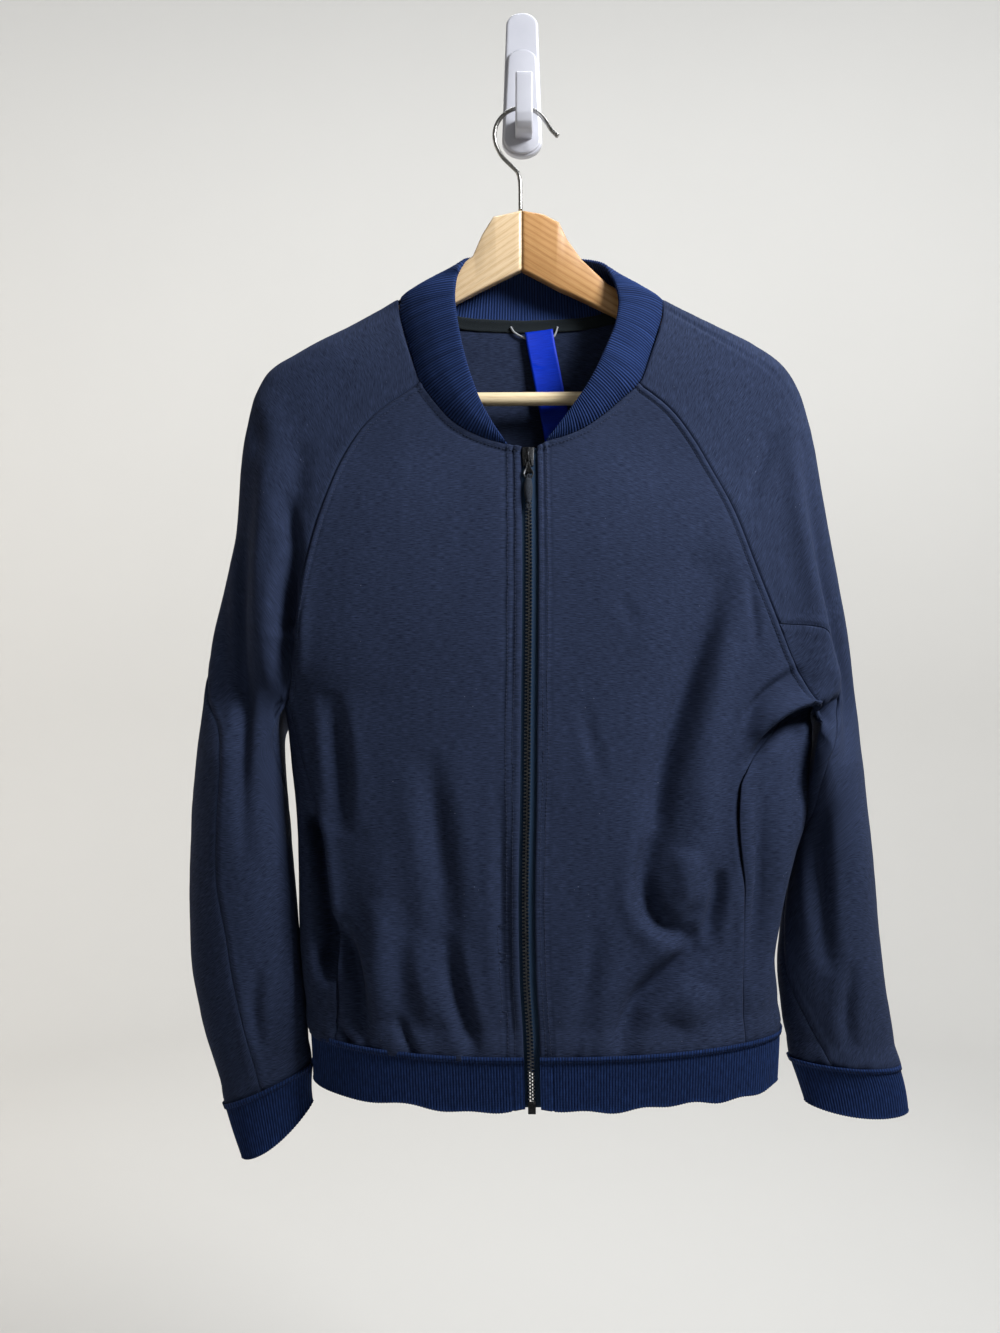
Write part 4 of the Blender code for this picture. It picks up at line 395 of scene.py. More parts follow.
# ---------------------------------------------------------------- zip, tape, label and loop
CHAIN_TOP_Z = -361.0
CHAIN_BOTTOM_Z = -887.4
TOOTH_PITCH = 3.0
TAPE_TOP_Z = -343.5
TAPE_BOTTOM_Z = -893.0
SLIDER_Z = -351.1
SLIDER_WIDTH = 11.2
SLIDER_HEIGHT = 16.6
PIVOT_Z = -357.0
PIVOT_PROUD = 3.5                           # the pin stands this far before the fronts
TAB_WIDTH = 9.6
TAB_MIDDLE = 7.0                            # below the pin
TAB_REACH = 8.2                             # half of the tab's length
EYE_BELOW_PIN = 10.9
EYE_HALF = (2.9, 2.5)
CORD_BELOW_PIN = 12.6
BRAID_START = 2.0                           # along the cord, as the next three
BRAID_LENGTH = 21.5
KNOT_START = 23.0
KNOT_MIDDLE = 26.5
BRAID_STRANDS = 4
BRAID_TURNS = 5.0
BRAID_RADIUS = 1.05
BOX_Z = -892.7
LABEL_WIDTH = 25.0
LABEL_LINE = [                              # centre of the ribbon: x, y, z
    (14.5, -20.9, -229.5), (17, -21.6, -245), (21.5, -22.4, -268), (26, -23, -292), (30.5, -23.4, -316),
    (34, -23.2, -338),
]
LOOP_ROUTE = [
    (-10.5, -19.0, -225.4), (-7, -19.0, -230.5), (1, -19.2, -235), (10, -19.2, -237.6),
    (20, -19.2, -237.3), (28, -19.2, -234), (31.5, -19.0, -225.4),
]
LOOP_RADIUS = 0.9


def at(rows, key):
    """The row of a table at any key, by a smooth monotone curve through each column."""
    keys = [row[0] for row in rows]
    key = min(max(key, keys[0]), keys[-1])
    first = min(bisect_right(keys, key) - 1, len(rows) - 2)
    span = keys[first + 1] - keys[first]
    share = (key - keys[first]) / span

    def slope(index, column):
        rises = []
        for low in (index - 1, index):
            if 0 <= low < len(rows) - 1:
                rises.append((rows[low + 1][column] - rows[low][column]) / (keys[low + 1] - keys[low]))
        if len(rises) == 1:
            return rises[0]
        if rises[0] * rises[1] <= 0:
            return 0.0
        return 2 * rises[0] * rises[1] / (rises[0] + rises[1])

    values = [key]
    for column in range(1, len(rows[0])):
        start, end = rows[first][column], rows[first + 1][column]
        rise, fall = slope(first, column) * span, slope(first + 1, column) * span
        back = 1 - share
        values.append(
            start * back * back * (1 + 2 * share) + end * share * share * (3 - 2 * share)
            + rise * share * back * back - fall * share * share * back
        )
    return type(rows[0])(*values)


def clamp(value, low, high):
    return min(max(value, low), high)


def bezier(start, leave, arrive, end, share):
    back = 1 - share
    return (
        start * back ** 3 + leave * (3 * share * back * back)
        + arrive * (3 * share * share * back) + end * share ** 3
    )


# ---------------------------------------------------------------- the body's surface
def body_point(side, z, turn):
    """A point of the body's outer face: turn is 0 at the zip, 1 at the side, 2 at centre back."""
    depth = at(DEPTHS, z)
    breadth = at(BREADTHS[side], z)
    if turn <= 1:
        centre, far_y, power, angle = depth.zip_x, depth.front_y, FRONT_POWER, turn * math.pi / 2
    else:
        centre, far_y, power, angle = 0.0, depth.back_y, BACK_POWER, (2 - turn) * math.pi / 2
    side_x = SIDES[side] * breadth.side_x
    across = max(math.sin(angle), 0) ** (2 / power)
    out = max(math.cos(angle), 0) ** (2 / power)
    return Vector((centre + (side_x - centre) * across, breadth.side_y + (far_y - breadth.side_y) * out, z))


def turn_of(side, z, x, layer):
    """The turn at which the front or the back of the body crosses x."""
    side_x = SIDES[side] * at(BREADTHS[side], z).side_x
    centre = at(DEPTHS, z).zip_x if layer == "front" else 0.0
    power = FRONT_POWER if layer == "front" else BACK_POWER
    across = clamp((x - centre) / (side_x - centre), 0, 1)
    turn = math.asin(across ** (power / 2)) * 2 / math.pi
    return turn if layer == "front" else 2 - turn


def on_body(side, x, z, layer):
    """The point of the front or back layer seen at x and z."""
    return body_point(side, z, turn_of(side, z, x, layer))


def hem_seam_z(turn):
    return HEM_SEAM_Z + HEM_RISE * math.sin(turn * math.pi / 2) ** 2


# ---------------------------------------------------------------- the neck line
@lru_cache(maxsize=None)
def neck_rows(side, index):
    """Seam point and collar top point at an index along the neck, 0 at the zip end."""
    sign = SIDES[side]
    row = at(NECK[side], index)
    seam = Vector((sign * row.seam_x, row.seam_y, row.seam_z))
    if index <= NECK_JUNCTION:
        seam = on_body(side, seam.x, seam.z, "front")
    elif index < NECK_BACK:
        front = on_body(side, sign * at(NECK[side], NECK_JUNCTION).seam_x,
                        at(NECK[side], NECK_JUNCTION).seam_z, "front").y
        back = on_body(side, sign * at(NECK[side], NECK_BACK).seam_x,
                       at(NECK[side], NECK_BACK).seam_z, "back").y
        depths = {NECK_JUNCTION: front, NECK_BACK: back}
        shoulder = [
            line._replace(seam_y=depths.get(line.index, line.seam_y))
            for line in NECK[side] if NECK_JUNCTION <= line.index <= NECK_BACK
        ]
        seam.y = at(shoulder, index).seam_y
    else:
        seam = on_body(side, seam.x, seam.z, "back")
    return seam, Vector((sign * row.top_x, row.top_y, row.top_z))


def neck_samples(start, end, spans):
    return [start + (end - start) * step / spans for step in range(spans + 1)]


# ---------------------------------------------------------------- the sleeve's surface
@lru_cache(maxsize=None)
def raglan(side, share, layer):
    row = at((RAGLAN_FRONT if layer == "front" else RAGLAN_BACK)[side], share)
    return on_body(side, SIDES[side] * row.x, row.z, layer)


@lru_cache(maxsize=None)
def ridge(side, station):
    row = at(RIDGES[side], station)
    return Vector((SIDES[side] * row.x, row.y, row.z))


@lru_cache(maxsize=None)
def tube(side, station):
    """Inner, front and back lines of the sleeve below the armpit."""
    row = at(TUBES[side], station)
    inner = Vector((SIDES[side] * row.inner_x, row.inner_y, row.inner_z))
    if station == 1:
        return inner, raglan(side, 1, "front"), raglan(side, 1, "back")
    front = inner.lerp(ridge(side, station), row.front_share)
    back = inner.lerp(ridge(side, station), row.back_share)
    front.y, back.y = row.front_y, row.back_y
    return inner, front, back


ROUND = 0.552                               # Bezier handle of a quarter circle


def sleeve_point(side, station, quarter):
    """A point of the sleeve: station 0 neck, 1 armpit, 2 cuff; quarter 0 front, 1 ridge, 2 back."""
    if station < 1:
        front, back = raglan(side, station, "front"), raglan(side, station, "back")
        inner = None
    else:
        inner, front, back = tube(side, station)
    outer = ridge(side, station)
    quarter = quarter % 4
    if station == 0:
        index = NECK_JUNCTION + (NECK_SHOULDER - NECK_JUNCTION) * quarter
        if quarter > 1:
            index = NECK_SHOULDER + (NECK_BACK - NECK_SHOULDER) * (quarter - 1)
        return neck_rows(side, index)[0]
    fullness = ROUND - 0.2 * clamp(1 - station / 0.6, 0, 1)
    if quarter <= 2:
        near = front if quarter <= 1 else back
        layer = "front" if quarter <= 1 else "back"
        share = quarter if quarter <= 1 else 2 - quarter
        reach = Vector((outer.x - near.x, 0, outer.z - near.z)) * 0.48
        if station < 1:
            tip = near + reach * 0.15
            slope = (on_body(side, tip.x, tip.z, layer).y - near.y) / 0.15
            reach.y = slope * clamp((1 - station) * 4, 0, 1)
        drop = Vector((0, (near.y - outer.y) * fullness, 0))
        early = clamp(1 - station / 0.16, 0, 1)
        if early > 0:
            start, end = sleeve_point(side, 0, 1), sleeve_point(side, 0, 0.8 if quarter <= 1 else 1.2)
            drop = drop.lerp((end - start) * 1.6, early)
        return bezier(near, near + reach, outer + drop, outer, share)
    near = back if quarter <= 3 else front
    share = quarter - 2 if quarter <= 3 else 4 - quarter
    round_off = clamp((station - 1) / 0.2, 0, 1)
    reach = Vector((inner.x - near.x, 0, inner.z - near.z)) * ROUND
    drop = Vector((0, (near.y - inner.y) * (0.33 + (ROUND - 0.33) * round_off), 0))
    return bezier(near, near + reach, inner + drop, inner, share)


def cuff_point(side, row, quarter):
    """A point of the cuff's ring, with the same quarters as the sleeve."""
    sign = SIDES[side]
    outer = Vector((sign * row.outer_x, row.outer_y, row.outer_z))
    inner = Vector((sign * row.inner_x, row.inner_y, row.inner_z))
    middle = (outer + inner) / 2
    angle = (1 - quarter) * math.pi / 2
    depth = Vector((0, -row.half_depth * math.sin(angle), 0))
    return middle + (outer - middle) * math.cos(angle) + depth


# ---------------------------------------------------------------- folds and small creases
def stroke(points, line):
    """Distance of each point from a line in the front view, and its share of the way along."""
    nearest = np.full(len(points), 1e9)
    along_line = np.zeros(len(points))
    lengths = [math.dist(a, b) for a, b in zip(line, line[1:])]
    run = 0.0
    for (ax, az), (bx, bz), length in zip(line, line[1:], lengths):
        share = ((points[:, 0] - ax) * (bx - ax) + (points[:, 2] - az) * (bz - az)) / length ** 2
        share = share.clip(0, 1)
        gap = np.hypot(points[:, 0] - ax - share * (bx - ax), points[:, 2] - az - share * (bz - az))
        closer = gap < nearest
        nearest[closer] = gap[closer]
        along_line[closer] = ((run + share * length) / sum(lengths))[closer]
        run += length
    return nearest, along_line


def fold_lifts(points, normals, folds, flank=0.0):
    """How far the cloth stands out at each point, from all the folds of its layer.

    A flank above 0 gives each fold a soft opposite swell beside it, as pushed-up cloth has, and
    lets it run out to nothing at both ends.
    """
    lift = np.zeros(len(points))
    for fold in folds:
        facing = -normals[:, 1] if fold.layer == "front" else normals[:, 1]
        line = fold.line
        if flank:
            line = [(spot.x, spot.z) for spot in smooth_route([(x, 0, z) for x, z in line], 12.0)]
        gap, share = stroke(points, line)
        fade = np.sin(math.pi * (0.12 + 0.76 * share).clip(0, 1)) ** 0.7
        if flank:
            fade = np.sin(math.pi * share.clip(0.001, 0.999)) ** 0.8
        shape = np.exp(-(gap / fold.width) ** 2)
        shape = shape - flank * np.exp(-((gap - 1.9 * fold.width) / fold.width) ** 2)
        lift += fold.lift * fade * shape * (facing * 1.6).clip(0, 1)
    return lift


def all_fold_lifts(points, normals):
    """The part's own folds and the finer creases together."""
    return fold_lifts(points, normals, FOLDS) + fold_lifts(points, normals, FINE_FOLDS, flank=FLANK)


def grain(points, scale, seed):
    """Smooth noise from -1 to 1 at each point; scale is its grain in mm, for x, y and z."""
    shifted = points / np.array(scale) + seed * 7.31
    return np.array([noise.noise(Vector(spot)) for spot in shifted])


# ---------------------------------------------------------------- patches of cloth
class Patch:
    """An open sheet of cloth on a grid of points, with its outward faces."""

    def __init__(self, name, rows, flip):
        self.name, self.flip = name, flip
        ids, places = {}, []
        self.grid = np.full((len(rows), len(rows[0])), -1)
        for row, line in enumerate(rows):
            for column, point in enumerate(line):
                if point is None:
                    continue
                key = place_key(point)
                if key not in ids:
                    ids[key] = len(places)
                    places.append(tuple(point))
                self.grid[row, column] = ids[key]
        self.keys = list(ids)
        self.points = np.array(places)
        self.faces = grid_faces(self.grid, flip)
        self.cloth = self.cloth_places()
        self.rim = self.rim_edges()
        self.normals = self.face_normals()

    def cloth_places(self):
        """Flat place of each point on the cloth, in mm, across and up."""
        flat = np.zeros((len(self.points), 2))
        for axis in (0, 1):
            grid = self.grid if axis else self.grid.T
            run = np.zeros(grid.shape[1])
            for before, after in zip(grid, grid[1:]):
                both = (before >= 0) & (after >= 0)
                step = np.linalg.norm(self.points[after] - self.points[before], axis=1)
                run += np.where(both, step, np.median(step[both]) if both.any() else 0.0)
                flat[after[after >= 0], axis] = run[after >= 0]
        return flat

    def rim_edges(self):
        """Directed edges with cloth on one side only, the cloth to their left."""
        edges = {(a, b) for ring in self.faces for a, b in zip(ring, ring[1:] + ring[:1])}
        return [(a, b) for a, b in sorted(edges) if (b, a) not in edges]

    def face_normals(self):
        corners = np.array([ring if len(ring) == 4 else ring + ring[:1] for ring in self.faces])
        a, b, c, d = (self.points[corners[:, i]] for i in range(4))
        across = np.cross(c - a, d - b)
        flat = np.array([len(ring) == 3 for ring in self.faces])
        across[flat] = np.cross(b - a, c - a)[flat]
        sums = np.zeros_like(self.points)
        for i in range(4):
            np.add.at(sums, corners[:, i], across)
        return sums / np.maximum(np.linalg.norm(sums, axis=1, keepdims=True), 1e-9)

    def line(self, rows, columns):
        """Vertices of a stretch of the grid's outline."""
        return [vertex for vertex in self.grid[rows, columns].ravel() if vertex >= 0]

    def gap_to_rim(self):
        """Distance of every point from the nearest edge of the cloth."""
        tree = tree_of(self.points[self.rim_points])
        return np.array([tree.find(spot)[2] for spot in self.points])

    def gap_to(self, vertices, spacing=0.4):
        """Distance of every point from a line of vertices."""
        route = self.points[vertices]
        dense = []
        for start, end in zip(route, route[1:]):
            count = max(1, int(np.linalg.norm(end - start) / spacing))
            dense += [start + (end - start) * step / count for step in range(count)]
        dense.append(route[-1])
        tree = tree_of(dense)
        return np.array([tree.find(spot)[2] for spot in self.points])


def tree_of(spots):
    """A search tree over spots, for the nearest of them."""
    tree = KDTree(len(spots))
    for number, spot in enumerate(spots):
        tree.insert(spot, number)
    tree.balance()
    return tree


def grid_faces(grid, flip):
    faces = []
    for low, high in zip(grid.tolist(), grid[1:].tolist()):
        for column in range(len(low) - 1):
            ring = [low[column], low[column + 1], high[column + 1], high[column]]
            if -1 in ring:
                continue
            ring = [v for i, v in enumerate(ring) if v != ring[i - 1]]
            if len(ring) >= 3:
                faces.append(ring[::-1] if flip else ring)
    return faces


def place_key(point):
    return (round(point[0], 2), round(point[1], 2), round(point[2], 2))


def weld_normals(patches, reach=9.0):
    """One normal where patches meet, easing into each patch's own over a short reach."""
    sums = {}
    for patch in patches:
        patch.normals = patch.face_normals()
        patch.rim_points = sorted({vertex for edge in patch.rim for vertex in edge})
        for vertex in patch.rim_points:
            key = patch.keys[vertex]
            sums[key] = sums.get(key, 0) + patch.normals[vertex]
    for patch in patches:
        tree = tree_of(patch.points[patch.rim_points])
        totals = [sums[patch.keys[vertex]] for vertex in patch.rim_points]
        welded = [total / max(np.linalg.norm(total), 1e-9) for total in totals]
        found = [tree.find(spot) for spot in patch.points]
        near = np.array([welded[hit[1]] for hit in found])
        weight = np.exp(-(np.array([hit[2] for hit in found]) / reach) ** 2)[:, None]
        blend = patch.normals * (1 - weight) + near * weight
        patch.normals = blend / np.maximum(np.linalg.norm(blend, axis=1, keepdims=True), 1e-9)


def between(bottom, top, column, left, right, over, up):
    """A point inside four edges, at shares over and up of the way across."""
    return (
        bottom[column] * (1 - up) + top[column] * up + left * (1 - over) + right * over
        - bottom[0] * ((1 - over) * (1 - up)) - bottom[-1] * (over * (1 - up))
        - top[0] * ((1 - over) * up) - top[-1] * (over * up)
    )


def front_patch(side):
    """A front: bottom edge along the hem seam, right edge up the side seam and the raglan seam."""
    sign = SIDES[side]
    edge_x = sign * ZIP_EDGE[side]
    right = side_seam_points(side, "front") + [
        raglan(side, 1 - step / SHOULDER_ROWS, "front") for step in range(1, SHOULDER_ROWS + 1)
    ]
    count = len(right) - 1
    neck = [neck_rows(side, index)[0] for index in neck_samples(0, NECK_JUNCTION, 160)]
    corner = on_body(side, at(DEPTHS, NECK_FRONT_Z).zip_x + edge_x, NECK_FRONT_Z, "front")
    top = along([corner] + neck, [crowded(step / FRONT_SPANS) for step in range(FRONT_SPANS + 1)])
    bottom = hem_samples(side, "front")
    lengths = running_lengths(right)
    rows = []
    for row in range(count + 1):
        up = lengths[row]
        z_left = bottom[0].z + (corner.z - bottom[0].z) * up
        left = Vector((at(DEPTHS, z_left).zip_x + edge_x, 0, z_left))
        line = []
        for column in range(FRONT_SPANS + 1):
            over = (bottom[column].x - bottom[0].x) / (bottom[-1].x - bottom[0].x)
            over_top = (top[column].x - top[0].x) / (top[-1].x - top[0].x)
            over = over + (over_top - over) * up
            point = between(bottom, top, column, left, right[row], over, up)
            if row == 0:
                point = bottom[column]
            elif row == count:
                point = top[column]
            elif column == FRONT_SPANS:
                point = right[row]
            else:
                point = on_body(side, point.x, point.z, "front")
            line.append(point)
        rows.append(line)
    return Patch("front_" + side, rows, flip=sign < 0)


def crowded(share):
    """A share of the way across, drawn towards the seams at either end."""
    return share - CROWDING * math.sin(2 * math.pi * share) / (2 * math.pi)


def along(points, shares):
    """Points at shares of the length of a line of points."""
    lengths = running_lengths(points)
    made = []
    for share in shares:
        first = min(bisect_right(lengths, share) - 1, len(points) - 2)
        part = (share - lengths[first]) / (lengths[first + 1] - lengths[first])
        made.append(points[first].lerp(points[first + 1], part))
    return made


def running_lengths(points):
    steps = [0.0]
    for a, b in zip(points, points[1:]):
        steps.append(steps[-1] + (b - a).length)
    return [step / steps[-1] for step in steps]


def side_levels():
    """Shares of the way from the hem seam to the armpit, closer together near the armpit."""
    return [1 - (1 - step / SIDE_ROWS) ** 1.25 for step in range(SIDE_ROWS + 1)]


def side_seam_points(side, layer):
    points = []
    for level in side_levels():
        z = HEM_SEAM_Z + (ARMPIT_Z - HEM_SEAM_Z) * level
        seam = at(SIDE_SEAMS[side], z)
        x = SIDES[side] * (seam.front_x if layer == "front" else seam.back_x)
        turn = turn_of(side, z, x, layer)
        z += (hem_seam_z(turn) - HEM_SEAM_Z) * (1 - level) ** 2
        points.append(on_body(side, x, z, layer))
    return points


def hem_samples(side, part):
    """Points of the hem seam above one panel, from its zip-side edge to its back edge."""
    z = HEM_SEAM_Z
    zip_turn = turn_of(side, z, at(DEPTHS, z).zip_x + SIDES[side] * ZIP_EDGE[side], "front")
    seam = at(SIDE_SEAMS[side], z)
    front_turn = turn_of(side, z, SIDES[side] * seam.front_x, "front")
    back_turn = turn_of(side, z, SIDES[side] * seam.back_x, "back")
    if part == "front":
        shares = [crowded(step / FRONT_SPANS) for step in range(FRONT_SPANS + 1)]
        turns = [zip_turn + (front_turn - zip_turn) * share for share in shares]
        ends = {FRONT_SPANS: side_seam_points(side, "front")[0]}
    elif part == "side":
        shares = [crowded(step / SIDE_SPANS) for step in range(SIDE_SPANS + 1)]
        turns = [front_turn + (back_turn - front_turn) * share for share in shares]
        ends = {0: side_seam_points(side, "front")[0], SIDE_SPANS: side_seam_points(side, "back")[0]}
    else:
        half = BACK_SPANS // 2
        turns = [back_turn + (2 - back_turn) * step / half for step in range(half + 1)]
        ends = {0: side_seam_points(side, "back")[0]}
    points = [body_point(side, hem_seam_z(turn), turn) for turn in turns]
    for index, point in ends.items():
        points[index] = point
    return points


def side_patch(side):
    front, back = side_seam_points(side, "front"), side_seam_points(side, "back")
    rows = []
    for row, (start, end) in enumerate(zip(front, back)):
        first = turn_of(side, start.z, start.x, "front")
        last = turn_of(side, end.z, end.x, "back")
        line = []
        for column in range(SIDE_SPANS + 1):
            share = crowded(column / SIDE_SPANS)
            turn = first + (last - first) * share
            line.append(body_point(side, start.z + (end.z - start.z) * share, turn))
        line[0], line[-1] = start, end
        if row == 0:
            line = hem_samples(side, "side")
        rows.append(line)
    return Patch("side_panel_" + side, rows, flip=SIDES[side] < 0)


def back_patch():
    """The back, from its right-hand side seam to its left-hand one, seen from inside."""
    edges = {}
    for side in SIDES:
        edges[side] = side_seam_points(side, "back") + [
            raglan(side, 1 - step / SHOULDER_ROWS, "back") for step in range(1, SHOULDER_ROWS + 1)
        ]
    half = BACK_SPANS // 2
    tops, bottoms = {}, {}
    for side in SIDES:
        indices = neck_samples(NECK_BACK, NECK_CENTRE, half)
        tops[side] = [neck_rows(side, index)[0] for index in indices]
        bottoms[side] = hem_samples(side, "back")
    lengths = running_lengths(edges["left"])
    rows = []
    for row in range(len(edges["left"])):
        up = lengths[row]
        line = []
        for side in SIDES:
            centre = bottoms[side][-1].lerp(tops[side][-1], up)
            part = []
            for column in range(half + 1):
                share = column / half
                point = between(bottoms[side], tops[side], column, edges[side][row], centre, share, up)
                if row == 0:
                    point = bottoms[side][column]
                elif row == len(edges[side]) - 1:
                    point = tops[side][column]
                elif column == 0:
                    point = edges[side][row]
                else:
                    point = on_body(side, point.x, point.z, "back")
                part.append(point)
            line.append(part)
        rows.append(line[0] + line[1][-2::-1])
    return Patch("back", rows, flip=False)


def relaxed(patch, row, reach, passes):
    """Irons out the bend across one row of the grid, easing off around it; its edges stay."""
    columns = np.arange(patch.grid.shape[1])
    inset = np.minimum(columns, columns[::-1])
    across = step_up(inset.astype(float), 0, 8)
    for _ in range(passes):
        points = patch.points.copy()
        for number in range(row - reach, row + reach + 1):
            before, here, after = patch.grid[number - 1], patch.grid[number], patch.grid[number + 1]
            held = (before >= 0) & (here >= 0) & (after >= 0)
            weight = across * math.cos(math.pi / 2 * (number - row) / (reach + 1)) ** 2
            shift = (patch.points[before] + patch.points[after]) / 2 - patch.points[here]
            points[here[held]] += (shift * weight[:, None])[held] * 0.9
        patch.points = points


def sleeve_stations():
    shoulder = [step / SHOULDER_ROWS for step in range(SHOULDER_ROWS)]
    return shoulder + [1 + step / TUBE_ROWS for step in range(TUBE_ROWS + 1)]


def seam_quarters(side, row, station):
    """Quarters of the front and back sleeve seams at a row."""
    seam = at(SLEEVE_SEAMS[side], station)
    front = 0.0 if row <= FRONT_LEG_ROW[side] else seam.front
    back = 2.0 if row <= BACK_LEG_ROW[side] else seam.back
    return front, back


def upper_sleeve_patch(side):
    rows = []
    for row, station in enumerate(sleeve_stations()):
        front, back = seam_quarters(side, row, station)
        rows.append([
            sleeve_point(side, station, front + (back - front) * crowded(step / SLEEVE_SPANS))
            for step in range(SLEEVE_SPANS + 1)
        ])
    return Patch("sleeve_upper_" + side, rows, flip=SIDES[side] > 0)


def under_sleeve_patch(side, crotch):
    """The under sleeve: a leg each side of the armpit, joined below it."""
    front_spans, back_spans = FRONT_LEG_SPANS[side], BACK_LEG_SPANS[side]
    spans = back_spans + SIDE_SPANS + front_spans
    rows = []
    for row, station in enumerate(sleeve_stations()):
        if row < min(FRONT_LEG_ROW[side], BACK_LEG_ROW[side]):
            continue
        front, back = seam_quarters(side, row, station)
        line = [None] * (spans + 1)
        if row <= SHOULDER_ROWS:
            if row >= BACK_LEG_ROW[side]:
                for step in range(back_spans + 1):
                    line[step] = sleeve_point(side, station, back + (2 - back) * step / max(back_spans, 1))
            if front_spans and row >= FRONT_LEG_ROW[side]:
                for step in range(front_spans + 1):
                    quarter = 4 + front * step / front_spans
                    line[back_spans + SIDE_SPANS + step] = sleeve_point(side, station, quarter)
            if row == SHOULDER_ROWS:
                for step, point in enumerate(crotch):
                    line[back_spans + step] = point
        else:
            blend = clamp((station - 1) / 0.3, 0, 1)
            for step in range(spans + 1):
                even = back + (4 + front - back) * step / spans
                if step <= back_spans:
                    held = back + (2 - back) * step / max(back_spans, 1)
                elif step <= back_spans + SIDE_SPANS:
                    share = crowded((step - back_spans) / SIDE_SPANS)
                    held = 2 + (min(4, 4 + front) - 2) * share
                else:
                    held = 4 + front * (step - back_spans - SIDE_SPANS) / max(front_spans, 1)
                line[step] = sleeve_point(side, station, held + (even - held) * blend)
        rows.append(line)
    return Patch("sleeve_under_" + side, rows, flip=SIDES[side] > 0)


# ---------------------------------------------------------------- lines of the ribbed bands
def collar_lines(levels):
    """Lines of the collar from its seam to its top, each from the left zip end to the right."""
    step = 0.16
    spans = [number * step for number in range(int(NECK_CENTRE / step) + 1)]
    columns = [("left", index) for index in spans] + [("left", NECK_CENTRE)]
    columns += [("right", index) for index in reversed(spans)]
    lines = [[] for _ in levels]
    for side, index in columns:
        seam, top = neck_rows(side, index)
        ahead, _ = neck_rows(side, min(index + 0.1, NECK_CENTRE))
        behind, _ = neck_rows(side, max(index - 0.1, 0))
        outward = (ahead - behind).cross(top - seam).normalized() * SIDES[side]
        for line, level in zip(lines, levels):
            bulge = COLLAR_BULGE * 4 * level * (1 - level) * clamp((top - seam).length / 30, 0, 1)
            line.append(seam.lerp(top, level) + outward * bulge)
    return np.array(lines)


def hem_lines(levels):
    """Lines of the hem band from its seam down, each from the left zip edge to the right."""
    columns = []
    for side in SIDES:
        ring = hem_samples(side, "front") + hem_samples(side, "side")[1:] + hem_samples(side, "back")[1:]
        columns.append([(side, point) for point in ring])
    ring = columns[0] + columns[1][-2::-1]
    lines = [[] for _ in levels]
    for side, point in ring:
        layer = "front" if point.y < at(BREADTHS[side], point.z).side_y else "back"
        turn = turn_of(side, point.z, point.x, layer)
        wave = 1.5 * math.sin(point.x * 0.055 + 1.0) + 1.2 * math.sin(point.x * 0.13 + point.y * 0.1)
        for line, level in zip(lines, levels):
            z = point.z - HEM_HEIGHT * level + wave * level ** 2
            line.append(body_point(side, z, turn) if level else point)
    return np.array(lines)


CUFF_BOW = {"left": 6.0, "right": 10.0}     # how far the cuff's free edge bows down between its corners


def cuff_lines(side, upper, under, levels):
    """Lines of a cuff from the sleeve's end down; the ring is closed."""
    ring = [upper.points[vertex] for vertex in upper.grid[-1]]
    ring += [under.points[vertex] for vertex in under.grid[-1]][1:]
    front, back = seam_quarters(side, len(sleeve_stations()) - 1, 2.0)
    spans = under.grid.shape[1] - 1
    quarters = [front + (back - front) * crowded(step / SLEEVE_SPANS) for step in range(SLEEVE_SPANS + 1)]
    quarters += [back + (4 + front - back) * step / spans for step in range(1, spans + 1)]
    middle, last = (np.array([cuff_point(side, row, q) for q in quarters]) for row in CUFFS[side])
    start = np.array(ring)
    across = (last[:, 0] - last[:, 0].min()) / np.ptp(last[:, 0])
    bow = CUFF_BOW[side] * (np.sin(np.pi * across.clip(0, 1)) ** 0.6 - 0.35)
    last[:, 2] -= bow
    lines = []
    for level in levels:
        t = 2 * level                       # a parabola through the three rings
        lines.append(
            start * (t - 1) * (t - 2) / 2 + middle * t * (2 - t) + last * t * (t - 1) / 2
        )
    return np.array(lines)[:, :-1]


# ---------------------------------------------------------------- meshes
def add_mesh(name, points, faces, material, flat=None, smooth=True):
    """A mesh object from points in mm; flat places of the cloth become its UVs, in metres."""
    mesh = bpy.data.meshes.new(name)
    mesh.from_pydata((np.asarray(points) * MM).tolist(), [], faces)
    if flat is not None:
        corners = np.empty(len(mesh.loops), dtype=np.int32)
        mesh.loops.foreach_get("vertex_index", corners)
        layer = mesh.uv_layers.new(name="cloth")
        layer.data.foreach_set("uv", (np.asarray(flat)[corners] * MM).ravel())
    mesh.materials.append(material)
    mesh.polygons.foreach_set("use_smooth", [smooth] * len(mesh.polygons))
    mesh.update()
    piece = bpy.data.objects.new(name, mesh)
    bpy.context.scene.collection.objects.link(piece)
    return piece


def place(piece, nodes, body="jacket"):
    """Lets a finished piece stand for its solids and move with their body."""
    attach(piece, body)
    if nodes:
        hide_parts(*nodes)
    return piece


ROLL = [math.radians(angle) for angle in (45, 90, 135, 180)]


